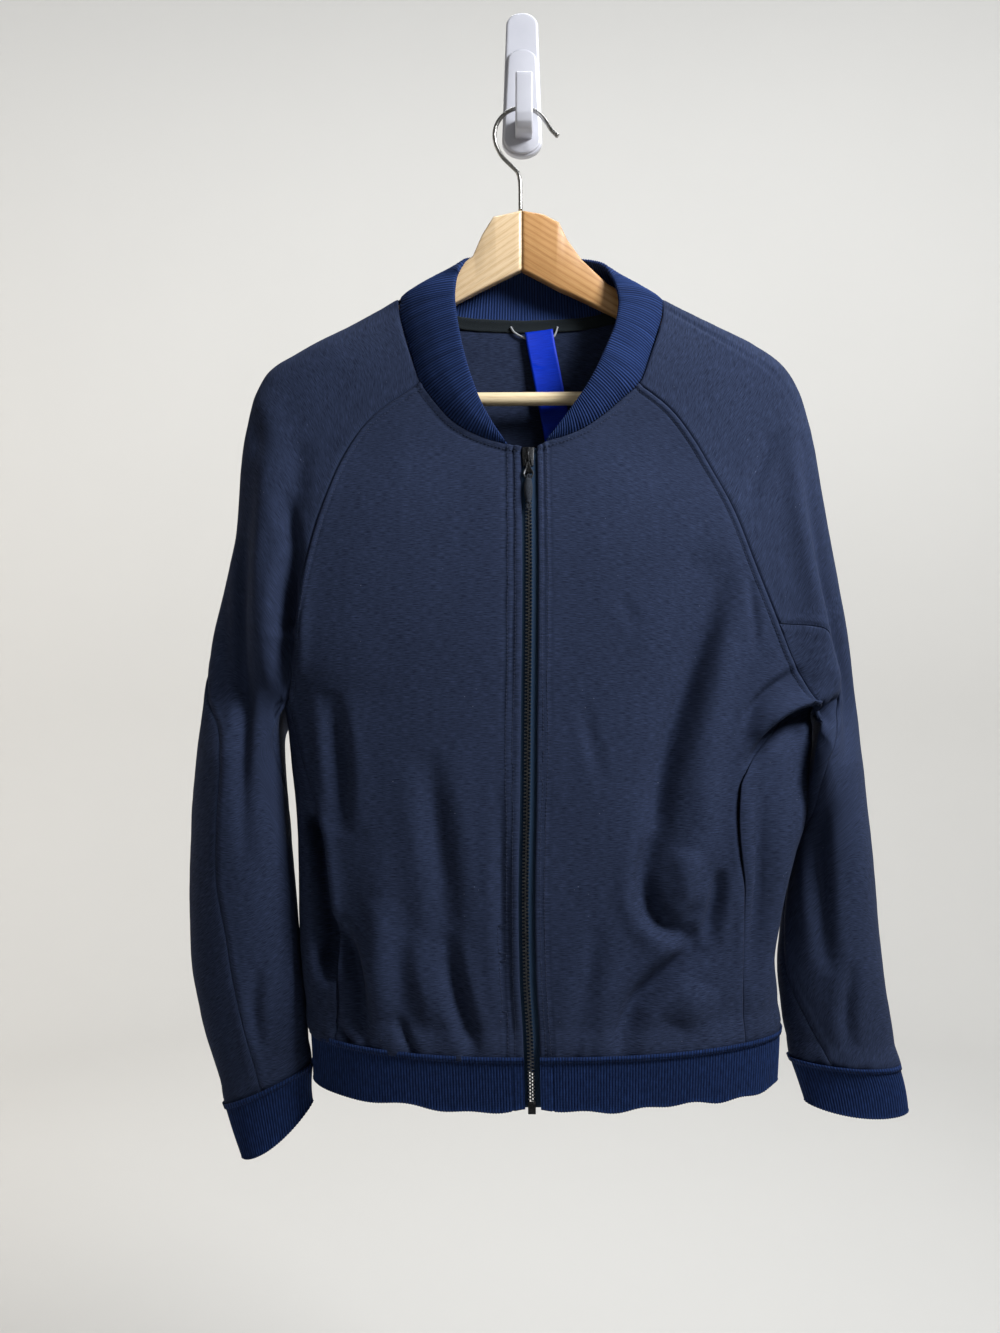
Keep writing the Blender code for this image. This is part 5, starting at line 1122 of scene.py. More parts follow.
def shell(patch, wall=CLOTH_WALL):
    """Outer face, rounded rim and plainer inner face of a patch: points, faces, flat places."""
    half = wall / 2
    points, normals = patch.points.copy(), patch.normals
    outward = np.zeros_like(points)
    for a, b in patch.rim:
        tangent = points[b] - points[a]
        tangent = tangent / max(np.linalg.norm(tangent), 1e-9)
        for vertex in (a, b):
            outward[vertex] += np.cross(tangent, normals[vertex])
    rim = np.array(patch.rim_points)
    outward[rim] /= np.maximum(np.linalg.norm(outward[rim], axis=1, keepdims=True), 0.4)
    points[rim] -= outward[rim] * (half - 0.05)
    blocks, flats, faces = [points], [patch.cloth], list(patch.faces)
    base = {vertex: vertex for vertex in patch.rim_points}
    count = len(points)
    for angle in ROLL:
        ring = points[rim] + outward[rim] * (half * math.sin(angle))
        ring = ring - normals[rim] * (half * (1 - math.cos(angle)))
        blocks.append(ring)
        flats.append(patch.cloth[rim])
        moved = {vertex: count + number for number, vertex in enumerate(patch.rim_points)}
        faces += [[base[b], base[a], moved[a], moved[b]] for a, b in patch.rim]
        base = moved
        count += len(ring)
    inner = np.setdiff1d(np.arange(len(points)), rim)
    index = np.full(len(points) + 1, -1)
    index[rim] = [base[vertex] for vertex in patch.rim_points]
    index[inner] = count + np.arange(len(inner))
    blocks.append(points[inner] - normals[inner] * wall)
    flats.append(patch.cloth[inner])
    faces += grid_faces(index[patch.grid], not patch.flip)
    return np.vstack(blocks), faces, np.vstack(flats)


def band(lines, closed, outward, per_rib, relief, thick, rows, sink, plain_ends=0.0):
    """A doubled rib-knit band: outer face, fold along the free edge, inner face, capped ends.

    The lines run from the seam to the free edge. The ribs run across the lines.
    """
    if closed:
        lines = np.concatenate([lines, lines[:, :1]], axis=1)
    middle = lines[len(lines) // 2]
    run = np.concatenate([[0], np.cumsum(np.linalg.norm(np.diff(middle, axis=0), axis=1))])
    ribs = round(run[-1] / RIB_PITCH)
    places = np.linspace(0, run[-1], ribs * per_rib + 1)
    if closed:
        places = places[:-1]
    columns = np.array([[np.interp(places, run, line[:, axis]) for axis in range(3)] for line in lines])
    columns = columns.transpose(0, 2, 1)
    levels = np.linspace(0, 1, len(lines))
    wanted = np.linspace(0, 1, rows + 1)
    grid = np.empty((rows + 1, len(places), 3))
    for axis in range(3):
        for column in range(len(places)):
            grid[:, column, axis] = np.interp(wanted, levels, columns[:, column, axis])
    if closed:
        ahead, behind = np.roll(grid, -1, axis=1), np.roll(grid, 1, axis=1)
    else:
        ahead = np.concatenate([grid[:, 1:], grid[:, -1:]], axis=1)
        behind = np.concatenate([grid[:, :1], grid[:, :-1]], axis=1)
    down = np.gradient(grid, axis=0)
    normal = np.cross(ahead - behind, down) * outward
    normal /= np.maximum(np.linalg.norm(normal, axis=2, keepdims=True), 1e-9)
    down /= np.maximum(np.linalg.norm(down, axis=2, keepdims=True), 1e-9)
    half = thick / 2
    height = np.linalg.norm(grid[-1] - grid[0], axis=1)
    thin = (height / (thick * 1.6)).clip(0.25, 1.0)[:, None]
    grid = grid - down * (wanted[:, None, None] ** 2 * half * thin)
    phase = 2 * math.pi * places * ribs / run[-1]
    rib = relief * (0.5 + 0.5 * np.cos(phase)) ** 0.8
    if plain_ends:
        edge = np.minimum(places, run[-1] - places)
        rib = np.where(edge < plain_ends, relief * 0.6, rib)
        rib = rib - 0.8 * np.exp(-((edge - plain_ends) / 0.9) ** 2)
    rib = rib[:, None] * thin
    dip = np.exp(-(wanted[:, None, None] * height[None, :, None] / 5.5) ** 2)
    outer = grid + normal * (rib - sink * dip * thin)
    inner = grid - normal * (thick * thin + rib * 0.8 - relief)
    turned = []
    for angle in (30, 60, 90, 120, 150):
        angle = math.radians(angle)
        along_down = down[-1] * (half * thin * math.sin(angle))
        swell = rib * abs(math.cos(angle)) * (1 if angle < math.pi / 2 else -1)
        turned.append(
            grid[-1] + along_down - normal[-1] * (half * thin * (1 - math.cos(angle))) + normal[-1] * swell
            + down[-1] * (rib * math.sin(angle) * 0.6)
        )
    tuck = grid[0] - normal[0] * (sink + 0.8) * thin
    allowance = inner[0] - down[0] * 2.5
    layers = [tuck[None], outer, np.array(turned), inner[::-1], allowance[None]]
    if sink > 1:                            # the deep seams reach up inside the cloth, so no gap shows
        layers.insert(0, (tuck - down[0] * 5.0 - normal[0] * 0.4)[None])
    layers = np.concatenate(layers, axis=0)
    depth = len(layers)
    count = len(places)
    ids = np.arange(depth * count).reshape(depth, count)
    ids = np.concatenate([ids, ids[:1]], axis=0)
    if closed:
        ids = np.concatenate([ids, ids[:, :1]], axis=1)
    faces = grid_faces(ids, outward > 0)
    if not closed:
        for column, keep in ((0, outward > 0), (count - 1, outward < 0)):
            for row in range((depth - 1) // 2):
                ring = [row, row + 1, depth - 2 - row, depth - 1 - row]
                ring = [int(ids[v, column]) for i, v in enumerate(ring) if v != ring[i - 1]]
                faces.append(ring if keep else ring[::-1])
    across = np.concatenate([[0], np.cumsum(np.linalg.norm(np.diff(layers[:, 0], axis=0), axis=1))])
    exact = places * (ribs * RIB_PITCH / run[-1])
    flat = np.stack(np.broadcast_arrays(exact[None, :], across[:, None]), axis=2).reshape(-1, 2)
    return layers.reshape(-1, 3), faces, flat


def loft(rings, closed=True, caps=True):
    """Points and faces through rings of the same count of points."""
    count = len(rings[0])
    points = np.array([tuple(point) for ring in rings for point in ring])
    ids = np.arange(len(rings) * count).reshape(len(rings), count)
    if closed:
        ids = np.concatenate([ids, ids[:, :1]], axis=1)
    faces = grid_faces(ids, False)
    if closed and caps:
        faces.append(ids[0, :count][::-1].tolist())
        faces.append(ids[-1, :count].tolist())
    return points, faces


def outward_faces(piece):
    """Turns a closed mesh's faces outward."""
    mesh = bmesh.new()
    mesh.from_mesh(piece.data)
    bmesh.ops.recalc_face_normals(mesh, faces=mesh.faces)
    mesh.to_mesh(piece.data)
    mesh.free()
    return piece


def smooth_route(points, spacing):
    """Catmull-Rom points through a route, about evenly spaced."""
    points = [Vector(point) for point in points]
    padded = [points[0] * 2 - points[1], *points, points[-1] * 2 - points[-2]]
    route = [points[0]]
    for before, start, end, after in zip(padded, padded[1:], padded[2:], padded[3:]):
        steps = max(1, round((end - start).length / spacing))
        for step in range(1, steps + 1):
            t = step / steps
            route.append(
                (start * 2 + (end - before) * t + (before * 2 - start * 5 + end * 4 - after) * t ** 2
                 + (start * 3 - before - end * 3 + after) * t ** 3) / 2
            )
    return route


def tube_rings(route, radii, sides=16, turn=None):
    """Rings of a round tube along a route, carried along without twist."""
    rings, side = [], None
    for number, spot in enumerate(route):
        ahead = (route[min(number + 1, len(route) - 1)] - route[max(number - 1, 0)]).normalized()
        if side is None:
            side = ahead.orthogonal().normalized()
        side = (side - ahead * side.dot(ahead)).normalized()
        up = ahead.cross(side)
        radius = radii[number] if hasattr(radii, "__len__") else radii
        ring = []
        for step in range(sides):
            angle = 2 * math.pi * step / sides
            grow = turn(number, step) if turn else 1.0
            ring.append(spot + (side * math.cos(angle) + up * math.sin(angle)) * (radius * grow))
        rings.append(ring)
    return rings


# ---------------------------------------------------------------- materials
class Shader:
    """Builds one Principled material node by node."""

    def __init__(self, name, **values):
        self.material = bpy.data.materials.new(name)
        self.material.use_nodes = True
        self.tree = self.material.node_tree
        self.base = self.tree.nodes["Principled BSDF"]
        for key, value in values.items():   # Sheen_Weight stands for the socket "Sheen Weight"
            self.base.inputs[key.replace("_", " ")].default_value = value

    def node(self, kind, **settings):
        made = self.tree.nodes.new(kind)
        for key, value in settings.items():
            setattr(made, key, value)
        return made

    def link(self, source, target):
        self.tree.links.new(source, target)

    def places(self, kind, scale, turn=(0, 0, 0)):
        """Texture places: "cloth" UVs or the object's own space, scaled."""
        mapping = self.node("ShaderNodeMapping")
        mapping.inputs["Scale"].default_value = scale
        if kind == "cloth":
            source = self.node("ShaderNodeUVMap", uv_map="cloth").outputs["UV"]
        else:
            source = self.node("ShaderNodeTexCoord").outputs["Object"]
        if any(turn):
            turned = self.node("ShaderNodeMapping")
            turned.inputs["Rotation"].default_value = turn
            self.link(source, turned.inputs["Vector"])
            source = turned.outputs["Vector"]
        self.link(source, mapping.inputs["Vector"])
        return mapping.outputs["Vector"]

    def noise(self, places, scale, detail=2.0, roughness=0.5, distortion=0.0):
        texture = self.node("ShaderNodeTexNoise")
        self.link(places, texture.inputs["Vector"])
        texture.inputs["Scale"].default_value = scale
        texture.inputs["Detail"].default_value = detail
        texture.inputs["Roughness"].default_value = roughness
        texture.inputs["Distortion"].default_value = distortion
        return texture.outputs["Fac"]

    def wave(self, places, scale, direction, distortion=0.0, detail=0.0, detail_scale=1.0):
        texture = self.node("ShaderNodeTexWave", bands_direction=direction)
        self.link(places, texture.inputs["Vector"])
        texture.inputs["Scale"].default_value = scale
        texture.inputs["Distortion"].default_value = distortion
        texture.inputs["Detail"].default_value = detail
        texture.inputs["Detail Scale"].default_value = detail_scale
        return texture.outputs["Fac"]

    def ramp(self, source, stops):
        ramp = self.node("ShaderNodeValToRGB")
        for number, (position, colour) in enumerate(stops):
            stop = ramp.color_ramp.elements[number] if number < 2 else ramp.color_ramp.elements.new(position)
            stop.position = position
            stop.color = (*colour, 1.0)
        self.link(source, ramp.inputs["Fac"])
        return ramp.outputs["Color"]

    def mix(self, share, first, second, blend="MIX"):
        made = self.node("ShaderNodeMix", data_type="RGBA", blend_type=blend)
        for name, value in (("Factor", share), ("A", first), ("B", second)):
            self.fill(made.inputs[name], value)
        return made.outputs["Result"]

    def fill(self, socket, value):
        if isinstance(value, tuple):
            socket.default_value = (*value, 1.0)
        elif isinstance(value, (int, float)):
            socket.default_value = value
        else:
            self.link(value, socket)

    def colour(self, source):
        self.link(source, self.base.inputs["Base Color"])

    def roughness(self, source, low, high):
        spread = self.node("ShaderNodeMapRange")
        self.link(source, spread.inputs["Value"])
        spread.inputs["To Min"].default_value = low
        spread.inputs["To Max"].default_value = high
        self.link(spread.outputs["Result"], self.base.inputs["Roughness"])

    def bump(self, source, distance, strength=1.0):
        made = self.node("ShaderNodeBump")
        made.inputs["Strength"].default_value = strength
        made.inputs["Distance"].default_value = distance
        self.link(source, made.inputs["Height"])
        before = self.base.inputs["Normal"].links
        if before:
            self.link(before[0].from_socket, made.inputs["Normal"])
        self.link(made.outputs["Normal"], self.base.inputs["Normal"])


def jersey_material(name, dark, light):
    """Heathered jersey: pale fibres among navy ones, drawn out along the rows of the knit."""
    shader = Shader(name, Roughness=0.9, Sheen_Weight=0.02, Sheen_Roughness=0.5, Specular_IOR_Level=0.1)
    shader.base.inputs["Sheen Tint"].default_value = (0.55, 0.65, 1.0, 1.0)
    fibres = shader.noise(shader.places("cloth", (150.0, 1900.0, 1.0)), 1.0, detail=3.0, roughness=0.6)
    slubs = shader.noise(shader.places("cloth", (60.0, 950.0, 1.0)), 1.0, detail=2.0)
    patches = shader.noise(shader.places("cloth", (11.0, 11.0, 1.0)), 1.0, detail=3.0)
    heather = shader.ramp(fibres, [(0.34, dark), (0.68, light)])
    worn = tuple(value * 1.35 for value in light)
    heather = shader.mix(shader.ramp(slubs, [(0.56, (0, 0, 0)), (0.76, (0.4, 0.4, 0.4))]), heather, worn)
    shade = shader.ramp(patches, [(0.3, (0.94, 0.94, 0.94)), (0.7, (1.05, 1.05, 1.05))])
    heather = shader.mix(1.0, heather, shade, "MULTIPLY")
    specks = shader.node("ShaderNodeTexVoronoi", feature="F1")
    shader.link(shader.places("cloth", (150.0, 190.0, 1.0)), specks.inputs["Vector"])
    specks.inputs["Scale"].default_value = 1.0
    lint = shader.ramp(specks.outputs["Distance"], [(0.045, (1, 1, 1)), (0.075, (0, 0, 0))])
    chance = shader.noise(shader.places("cloth", (90.0, 90.0, 1.0)), 1.0)
    sparse = shader.ramp(chance, [(0.60, (0, 0, 0)), (0.66, (0.6, 0.6, 0.6))])
    lint = shader.mix(1.0, lint, sparse, "MULTIPLY")
    shader.colour(shader.mix(lint, heather, (0.20, 0.23, 0.31)))
    knit = shader.wave(shader.places("cloth", (1.0, 1.0, 1.0)), 320.0, "Y", distortion=1.2, detail=1.0)
    shader.bump(knit, 0.00012, 0.5)
    shader.bump(fibres, 0.00008, 0.3)
    shader.bump(slubs, 0.0001, 0.3)
    return shader.material


def rib_material(name, dark, light):
    """Rib knit: painted highlight on the ridges of the yarn and painted shade between them, with a fine
    crossing stitch.
    """
    shader = Shader(name, Roughness=0.88, Sheen_Weight=0.03, Sheen_Roughness=0.5, Specular_IOR_Level=0.1)
    shader.base.inputs["Sheen Tint"].default_value = (0.4, 0.55, 1.0, 1.0)
    yarn = shader.noise(shader.places("cloth", (700.0, 160.0, 1.0)), 1.0, detail=3.0, roughness=0.6)
    patches = shader.noise(shader.places("cloth", (14.0, 14.0, 1.0)), 1.0, detail=2.0)
    colour = shader.ramp(yarn, [(0.3, dark), (0.7, light)])
    shade = shader.ramp(patches, [(0.3, (0.92, 0.92, 0.92)), (0.7, (1.08, 1.08, 1.08))])
    colour = shader.mix(1.0, colour, shade, "MULTIPLY")
    # painted shade in the valleys between the ribs and painted highlight on their ridges, multiplied into the
    # colour
    painted_shade_rib_wave = shader.wave(shader.places("cloth", (1.0, 1.0, 1.0)), WAVE_METRE / RIB_PITCH / MM, "X")
    depth = shader.ramp(painted_shade_rib_wave, [(0.25, (1.15, 1.15, 1.15)), (0.95, (0.38, 0.38, 0.42))])
    shader.colour(shader.mix(1.0, colour, depth, "MULTIPLY"))
    knit = shader.wave(shader.places("cloth", (1.0, 1.0, 1.0)), 260.0, "Y", distortion=0.8)
    shader.bump(knit, 0.0002, 0.6)
    shader.bump(yarn, 0.0002, 0.5)
    return shader.material


def tape_material(name, dark, light, pitch):
    """Woven tape: a fine twill in two close shades."""
    shader = Shader(name, Roughness=0.8, Sheen_Weight=0.03, Specular_IOR_Level=0.15)
    twill = shader.wave(shader.places("cloth", (1.0, 1.0, 1.0), (0, 0, 0.6)), pitch, "X", distortion=0.4)
    fuzz = shader.noise(shader.places("cloth", (900.0, 900.0, 1.0)), 1.0)
    shader.colour(shader.mix(fuzz, shader.ramp(twill, [(0.2, dark), (0.8, light)]), dark))
    shader.bump(twill, 0.0002, 0.7)
    return shader.material


def satin_material():
    shader = Shader("blue_satin", Roughness=0.45, Anisotropic=0.5, Specular_IOR_Level=0.12)
    weft = shader.noise(shader.places("cloth", (80.0, 2600.0, 1.0)), 1.0, detail=2.0)
    shader.colour(shader.ramp(weft, [(0.3, (0.001, 0.018, 0.34)), (0.7, (0.002, 0.036, 0.56))]))
    shader.roughness(weft, 0.38, 0.55)
    shader.bump(weft, 0.0001, 0.5)
    return shader.material


def metal_material(name, dark, light, roughness, scratches=900.0):
    shader = Shader(name, Metallic=1.0, Roughness=roughness)
    wear = shader.noise(shader.places("object", (scratches,) * 3), 1.0, detail=4.0, roughness=0.7)
    shader.colour(shader.ramp(wear, [(0.35, dark), (0.75, light)]))
    shader.roughness(wear, roughness * 0.75, roughness * 1.3)
    shader.bump(wear, 0.00005, 0.4)
    return shader.material


def wood_material(name, pale, warm, line, tilt, swirl):
    """Clear-lacquered wood: long grain along the arm, with growth rings that swirl near knots."""
    shader = Shader(name, Roughness=0.42, Coat_Weight=0.25, Coat_Roughness=0.25)
    turn = (0.0, tilt, 0.0)
    long_grain = shader.places("object", (14.0, 60.0, 130.0), turn)
    rings = shader.wave(long_grain, 0.45, "Z", distortion=swirl, detail=3.0, detail_scale=0.5)
    fine_grain = shader.places("object", (60.0, 900.0, 1500.0), turn)
    fibres = shader.noise(fine_grain, 1.0, detail=4.0, roughness=0.65)
    broad = shader.noise(shader.places("object", (9.0, 20.0, 28.0), turn), 1.0, detail=2.0, distortion=0.6)
    half_warm = tuple((a + b) / 2 for a, b in zip(pale, warm))
    colour = shader.ramp(rings, [(0.1, pale), (0.8, half_warm), (1.0, line)])
    colour = shader.mix(shader.ramp(broad, [(0.3, (0, 0, 0)), (0.75, (0.75, 0.75, 0.75))]), colour, warm)
    pores = shader.ramp(fibres, [(0.30, (0.80, 0.76, 0.70)), (0.52, (1.0, 1.0, 1.0))])
    shader.colour(shader.mix(1.0, colour, pores, "MULTIPLY"))
    shader.roughness(fibres, 0.34, 0.52)
    shader.bump(fibres, 0.00012, 0.5)
    return shader.material


def plastic_material():
    shader = Shader("white_plastic", Roughness=0.3, Coat_Weight=0.3, Coat_Roughness=0.15)
    shader.base.inputs["Subsurface Weight"].default_value = 0.08
    shader.base.inputs["Subsurface Radius"].default_value = (0.004, 0.004, 0.004)
    haze = shader.noise(shader.places("object", (30.0, 30.0, 30.0)), 1.0, detail=3.0)
    shader.colour(shader.ramp(haze, [(0.3, (0.50, 0.505, 0.56)), (0.7, (0.55, 0.555, 0.61))]))
    shader.roughness(haze, 0.24, 0.38)
    shader.bump(shader.noise(shader.places("object", (500.0,) * 3), 1.0), 0.00003, 0.5)
    return shader.material


def cord_material(name, dark, light):
    shader = Shader(name, Roughness=0.8, Sheen_Weight=0.04, Specular_IOR_Level=0.15)
    fuzz = shader.noise(shader.places("object", (1500.0,) * 3), 1.0, detail=3.0)
    shader.colour(shader.ramp(fuzz, [(0.3, dark), (0.7, light)]))
    shader.bump(fuzz, 0.0001, 0.6)
    return shader.material


def plain_material(name, colour, roughness):
    """Backdrop paint with the least unevenness."""
    shader = Shader(name, Roughness=roughness)
    haze = shader.noise(shader.places("object", (1.5, 1.5, 1.5)), 1.0, detail=2.0)
    shader.colour(shader.ramp(haze, [(0.3, tuple(v * 0.985 for v in colour)), (0.7, colour)]))
    return shader.material


# ---------------------------------------------------------------- the garment
def pressed(gap, centre, width):
    return np.exp(-((gap - centre) / width) ** 2)


def step_up(value, low, high):
    share = ((value - low) / (high - low)).clip(0, 1)
    return share * share * (3 - 2 * share)


def plain_seam(gap):
    """Pressed-open seam: a shallow dip with a soft swell beside it."""
    return -0.35 * pressed(gap, 0, 2.2) + 0.45 * pressed(gap, 5.0, 3.0)


def flat_seam(gap):
    """Raglan seam: the allowance lies flat under a raised band between the seam and its stitches."""
    ridge = 1.0 * step_up(gap, 0.6, 2.0) * (1 - step_up(gap, 4.4, 6.6))
    return ridge - 0.7 * pressed(gap, 5.6, 1.0) - 0.7 * pressed(gap, 0, 1.0)


FACING_ROWS = {"left": (5.2, 10.4), "right": (7.4, 14.2)}   # lines pressed beside the zip, from the edge


def zip_facing(gap, places, side):
    """The front's turned edge, puffed between the zip and its rows of stitches."""
    near, far = FACING_ROWS[side]
    ripple = 1 + 0.35 * grain(places, (400, 400, 16), 3)
    puff = 0.9 * np.sin(math.pi * (gap / near).clip(0, 1)) * ripple
    puff += 0.5 * np.sin(math.pi * ((gap - near) / (far - near)).clip(0, 1))
    return puff - 0.9 * pressed(gap, near, 1.0) - 0.7 * pressed(gap, far, 1.0)


def gathers(gap, places):
    """Cloth eased into the hem band: it puffs over the band's edge in uneven small lobes."""
    wide = np.stack([places[:, 0], places[:, 1] * 2, places[:, 2] * 0], axis=1)
    pucker = grain(wide, (15, 30, 1), 5) + 0.7 * grain(wide, (7.5, 15, 1), 6)
    strength = 0.6 + 1.1 * grain(wide, (60, 120, 1), 9).clip(-0.4, 1)
    puff = 3.4 * np.sin(math.pi * (gap / 26).clip(0, 1) ** 0.5)
    return 4.2 * pucker * strength * np.exp(-gap / 15) * step_up(gap, -2, 4) + puff


def overhang(gap, places):
    """How far the eased cloth hangs down over the band's edge, in uneven lobes."""
    wide = np.stack([places[:, 0], places[:, 1] * 2, places[:, 2] * 0], axis=1)
    return (1.5 + 2.6 * grain(wide, (15, 30, 1), 5)).clip(0, 4) * np.exp(-(gap / 7) ** 2)


POCKET = (-802.0, -640.0)                   # the mouth of the side pockets, low and high end
POCKET_LIP = {"left": 1.0, "right": 3.0}    # how far the front's edge stands out along the mouth
POCKET_STEP = {"left": 1.0, "right": 32.0}  # how far the side panel falls back behind it
SIDE_SPREAD = {"left": (5.0, -665, 60), "right": (4.5, -775, 60)}   # the panel leans out to the sleeve


def pocket(places):
    """1 along the pocket mouth, easing to 0 at its ends."""
    low, high = POCKET
    return step_up(places[:, 2], low, low + 30) * (1 - step_up(places[:, 2], high - 30, high))


def body_seams(patch, side):
    """How far the cloth stands out beside the seams of a front, side or back panel."""
    hem = patch.gap_to(patch.line(slice(0, 1), slice(None)))
    lift = gathers(hem, patch.points)
    if patch.name.startswith("front"):
        zip_gap = patch.gap_to(patch.line(slice(None), slice(0, 1)))
        lift *= 0.3 + 0.7 * step_up(zip_gap, 2, 16)
        lift += zip_facing(zip_gap, patch.points, side)
        seam = patch.gap_to(patch.line(slice(0, SIDE_ROWS + 1), slice(-1, None)))
        lift += plain_seam(seam) + POCKET_LIP[side] * pocket(patch.points) * np.exp(-(seam / 9) ** 2)
        lift += flat_seam(patch.gap_to(patch.line(slice(SIDE_ROWS, None), slice(-1, None))))
        neck = patch.gap_to(patch.line(slice(-1, None), slice(None)))
        lift += 1.1 * (1 - step_up(neck, 3.4, 6.2)) - 1.0 * pressed(neck, 5.2, 1.5)
    elif patch.name.startswith("side"):
        seam = patch.gap_to(patch.line(slice(None), slice(0, 1)))
        lift += plain_seam(seam)
        spread, centre, reach = SIDE_SPREAD[side]
        lift += spread * pressed(patch.points[:, 2], centre, reach)
        lift += plain_seam(patch.gap_to(patch.line(slice(None), slice(-1, None))))
    else:
        for columns in (slice(0, 1), slice(-1, None)):
            lift += plain_seam(patch.gap_to(patch.line(slice(0, SIDE_ROWS + 1), columns)))
            lift += flat_seam(patch.gap_to(patch.line(slice(SIDE_ROWS, None), columns)))
        neck = patch.gap_to(patch.line(slice(-1, None), slice(None)))
        lift += 0.5 * (1 - step_up(neck, 4.0, 5.6)) - 0.35 * pressed(neck, 4.4, 0.9)
    return lift


def sleeve_seams(patch, side):
    """How far the cloth stands out beside the seams and darts of a sleeve piece."""
    cuff = patch.gap_to(patch.line(slice(-1, None), slice(None)))
    wide = patch.points * np.array([1, 1, 0.3])
    lift = 2.2 * grain(wide, (11, 11, 30), 21) * np.exp(-cuff / 12) * step_up(cuff, -2, 4)
    lift += 2.6 * np.sin(math.pi * (cuff / 22).clip(0, 1) ** 0.5)
    if patch.name.startswith("sleeve_upper"):
        for columns, leg in ((slice(0, 1), FRONT_LEG_ROW), (slice(-1, None), BACK_LEG_ROW)):
            lift -= 0.6 * pressed(patch.gap_to(patch.line(slice(0, leg[side] + 1), columns)), 0, 1.3)
            lift += plain_seam(patch.gap_to(patch.line(slice(leg[side], None), columns)))
        lift -= 0.3 * pressed(patch.gap_to(patch.line(slice(0, 1), slice(None))), 0, 1.5)
    else:
        lift += 0.6 * plain_seam(patch.gap_to(patch.line(slice(0, None), slice(0, 1))))
        lift += 0.6 * plain_seam(patch.gap_to(patch.line(slice(0, None), slice(-1, None))))
    for line in DARTS.get(patch.name, []):
        gap, share = stroke(patch.points, line)
        fade = np.sin(math.pi * (0.08 + 0.84 * share).clip(0, 1)) ** 0.4
        lift += (0.6 * pressed(gap, 3.2, 2.4) - 1.0 * pressed(gap, 0, 1.3)) * fade
    return lift


DARTS = {
    "sleeve_upper_left": [
        [(127.9, -215.3), (160.7, -237), (190.5, -256.3), (215.3, -271.5), (228.4, -289.8), (236.2, -306.3)],
    ],
}


def unevenness(patch, seed):
    """Broad limpness of knitted cloth and a little cockling."""
    points = patch.points
    broad = 1.5 * grain(points, (70, 60, 120), seed) + 0.55 * grain(points, (30, 30, 48), seed + 1)
    return broad + 0.16 * grain(points, (9, 9, 12), seed + 2)


def add_cloth(materials):
    fronts = {side: front_patch(side) for side in SIDES}
    sides = {side: side_patch(side) for side in SIDES}
    uppers = {side: upper_sleeve_patch(side) for side in SIDES}
    unders = {}
    for side in SIDES:
        crotch = [Vector(sides[side].points[vertex]) for vertex in sides[side].grid[-1]][::-1]
        unders[side] = under_sleeve_patch(side, crotch)
    for patch in uppers.values():
        relaxed(patch, SHOULDER_ROWS, FINE, 3 * FINE)
    back = back_patch()
    patches = [*fronts.values(), *sides.values(), *uppers.values(), *unders.values(), back]
    cuffs = {side: cuff_lines(side, uppers[side], unders[side], LEVELS) for side in SIDES}
    weld_normals(patches)
    for patch in patches:
        lift = all_fold_lifts(patch.points, patch.normals)
        patch.points = patch.points + patch.normals * lift[:, None]
    weld_normals(patches)
    for patch in patches:
        side = "left" if patch.name.endswith("left") else "right"
        seams = sleeve_seams(patch, side) if patch.name.startswith("sleeve") else body_seams(patch, side)
        rim = patch.gap_to_rim()
        lift = seams + unevenness(patch, 40) * step_up(rim, 0, 18)
        drop = 0.0
        if patch.name.startswith("side"):
            seam = patch.gap_to(patch.line(slice(None), slice(0, 1)))
            patch.points[:, 1] += POCKET_STEP[side] * pocket(patch.points) * np.exp(-((seam - 6) / 11) ** 2)
        if not patch.name.startswith("sleeve"):
            drop = overhang(patch.gap_to(patch.line(slice(0, 1), slice(None))), patch.points)
        patch.points = patch.points + patch.normals * lift[:, None]
        patch.points[:, 2] -= drop
    weld_normals(patches, reach=2.5)
    for patch in patches:
        points, faces, flat = shell(patch)
        piece = add_mesh(patch.name + "_cloth", points, faces, materials["jersey"], flat)
        place(piece, [patch.name])
    return patches, cuffs


STITCH_PITCH = 3.2
STITCH_LENGTH = 2.3
NECK_STITCHES = 5.0                         # from the seam to its row of stitches
RAGLAN_STITCHES = 5.5


def stitch_row(patch, surface, vertices, offset):
    """Small stitches on the cloth, at an offset from one of its edges."""
    route = [Vector(patch.points[vertex]) for vertex in vertices]
    shifts = []
    for number, (vertex, spot) in enumerate(zip(vertices, route)):
        ahead = route[min(number + 1, len(route) - 1)] - route[max(number - 1, 0)]
        shifts.append(ahead.cross(Vector(patch.normals[vertex])).normalized() * offset)
    gaps = [sum(surface.find_nearest(a + b * sign)[3] for a, b in zip(route, shifts)) for sign in (1, -1)]
    sign = 1 if gaps[0] < gaps[1] else -1
    route = [spot + shift * sign for spot, shift in zip(route, shifts)]
    length = sum((b - a).length for a, b in zip(route, route[1:]))
    count = int(length / STITCH_PITCH)
    half = STITCH_LENGTH / 2 / length
    parts = []
    for step in range(1, count):
        share = step / count
        ends = along(route, [share - half, share, share + half])
        hits = [surface.find_nearest(spot) for spot in ends]
        spots = [hit[0] + hit[1] * lift for hit, lift in zip(hits, (-0.15, 0.25, -0.15))]
        parts.append(loft(tube_rings(spots, [0.2, 0.36, 0.2], 5)))
    return parts


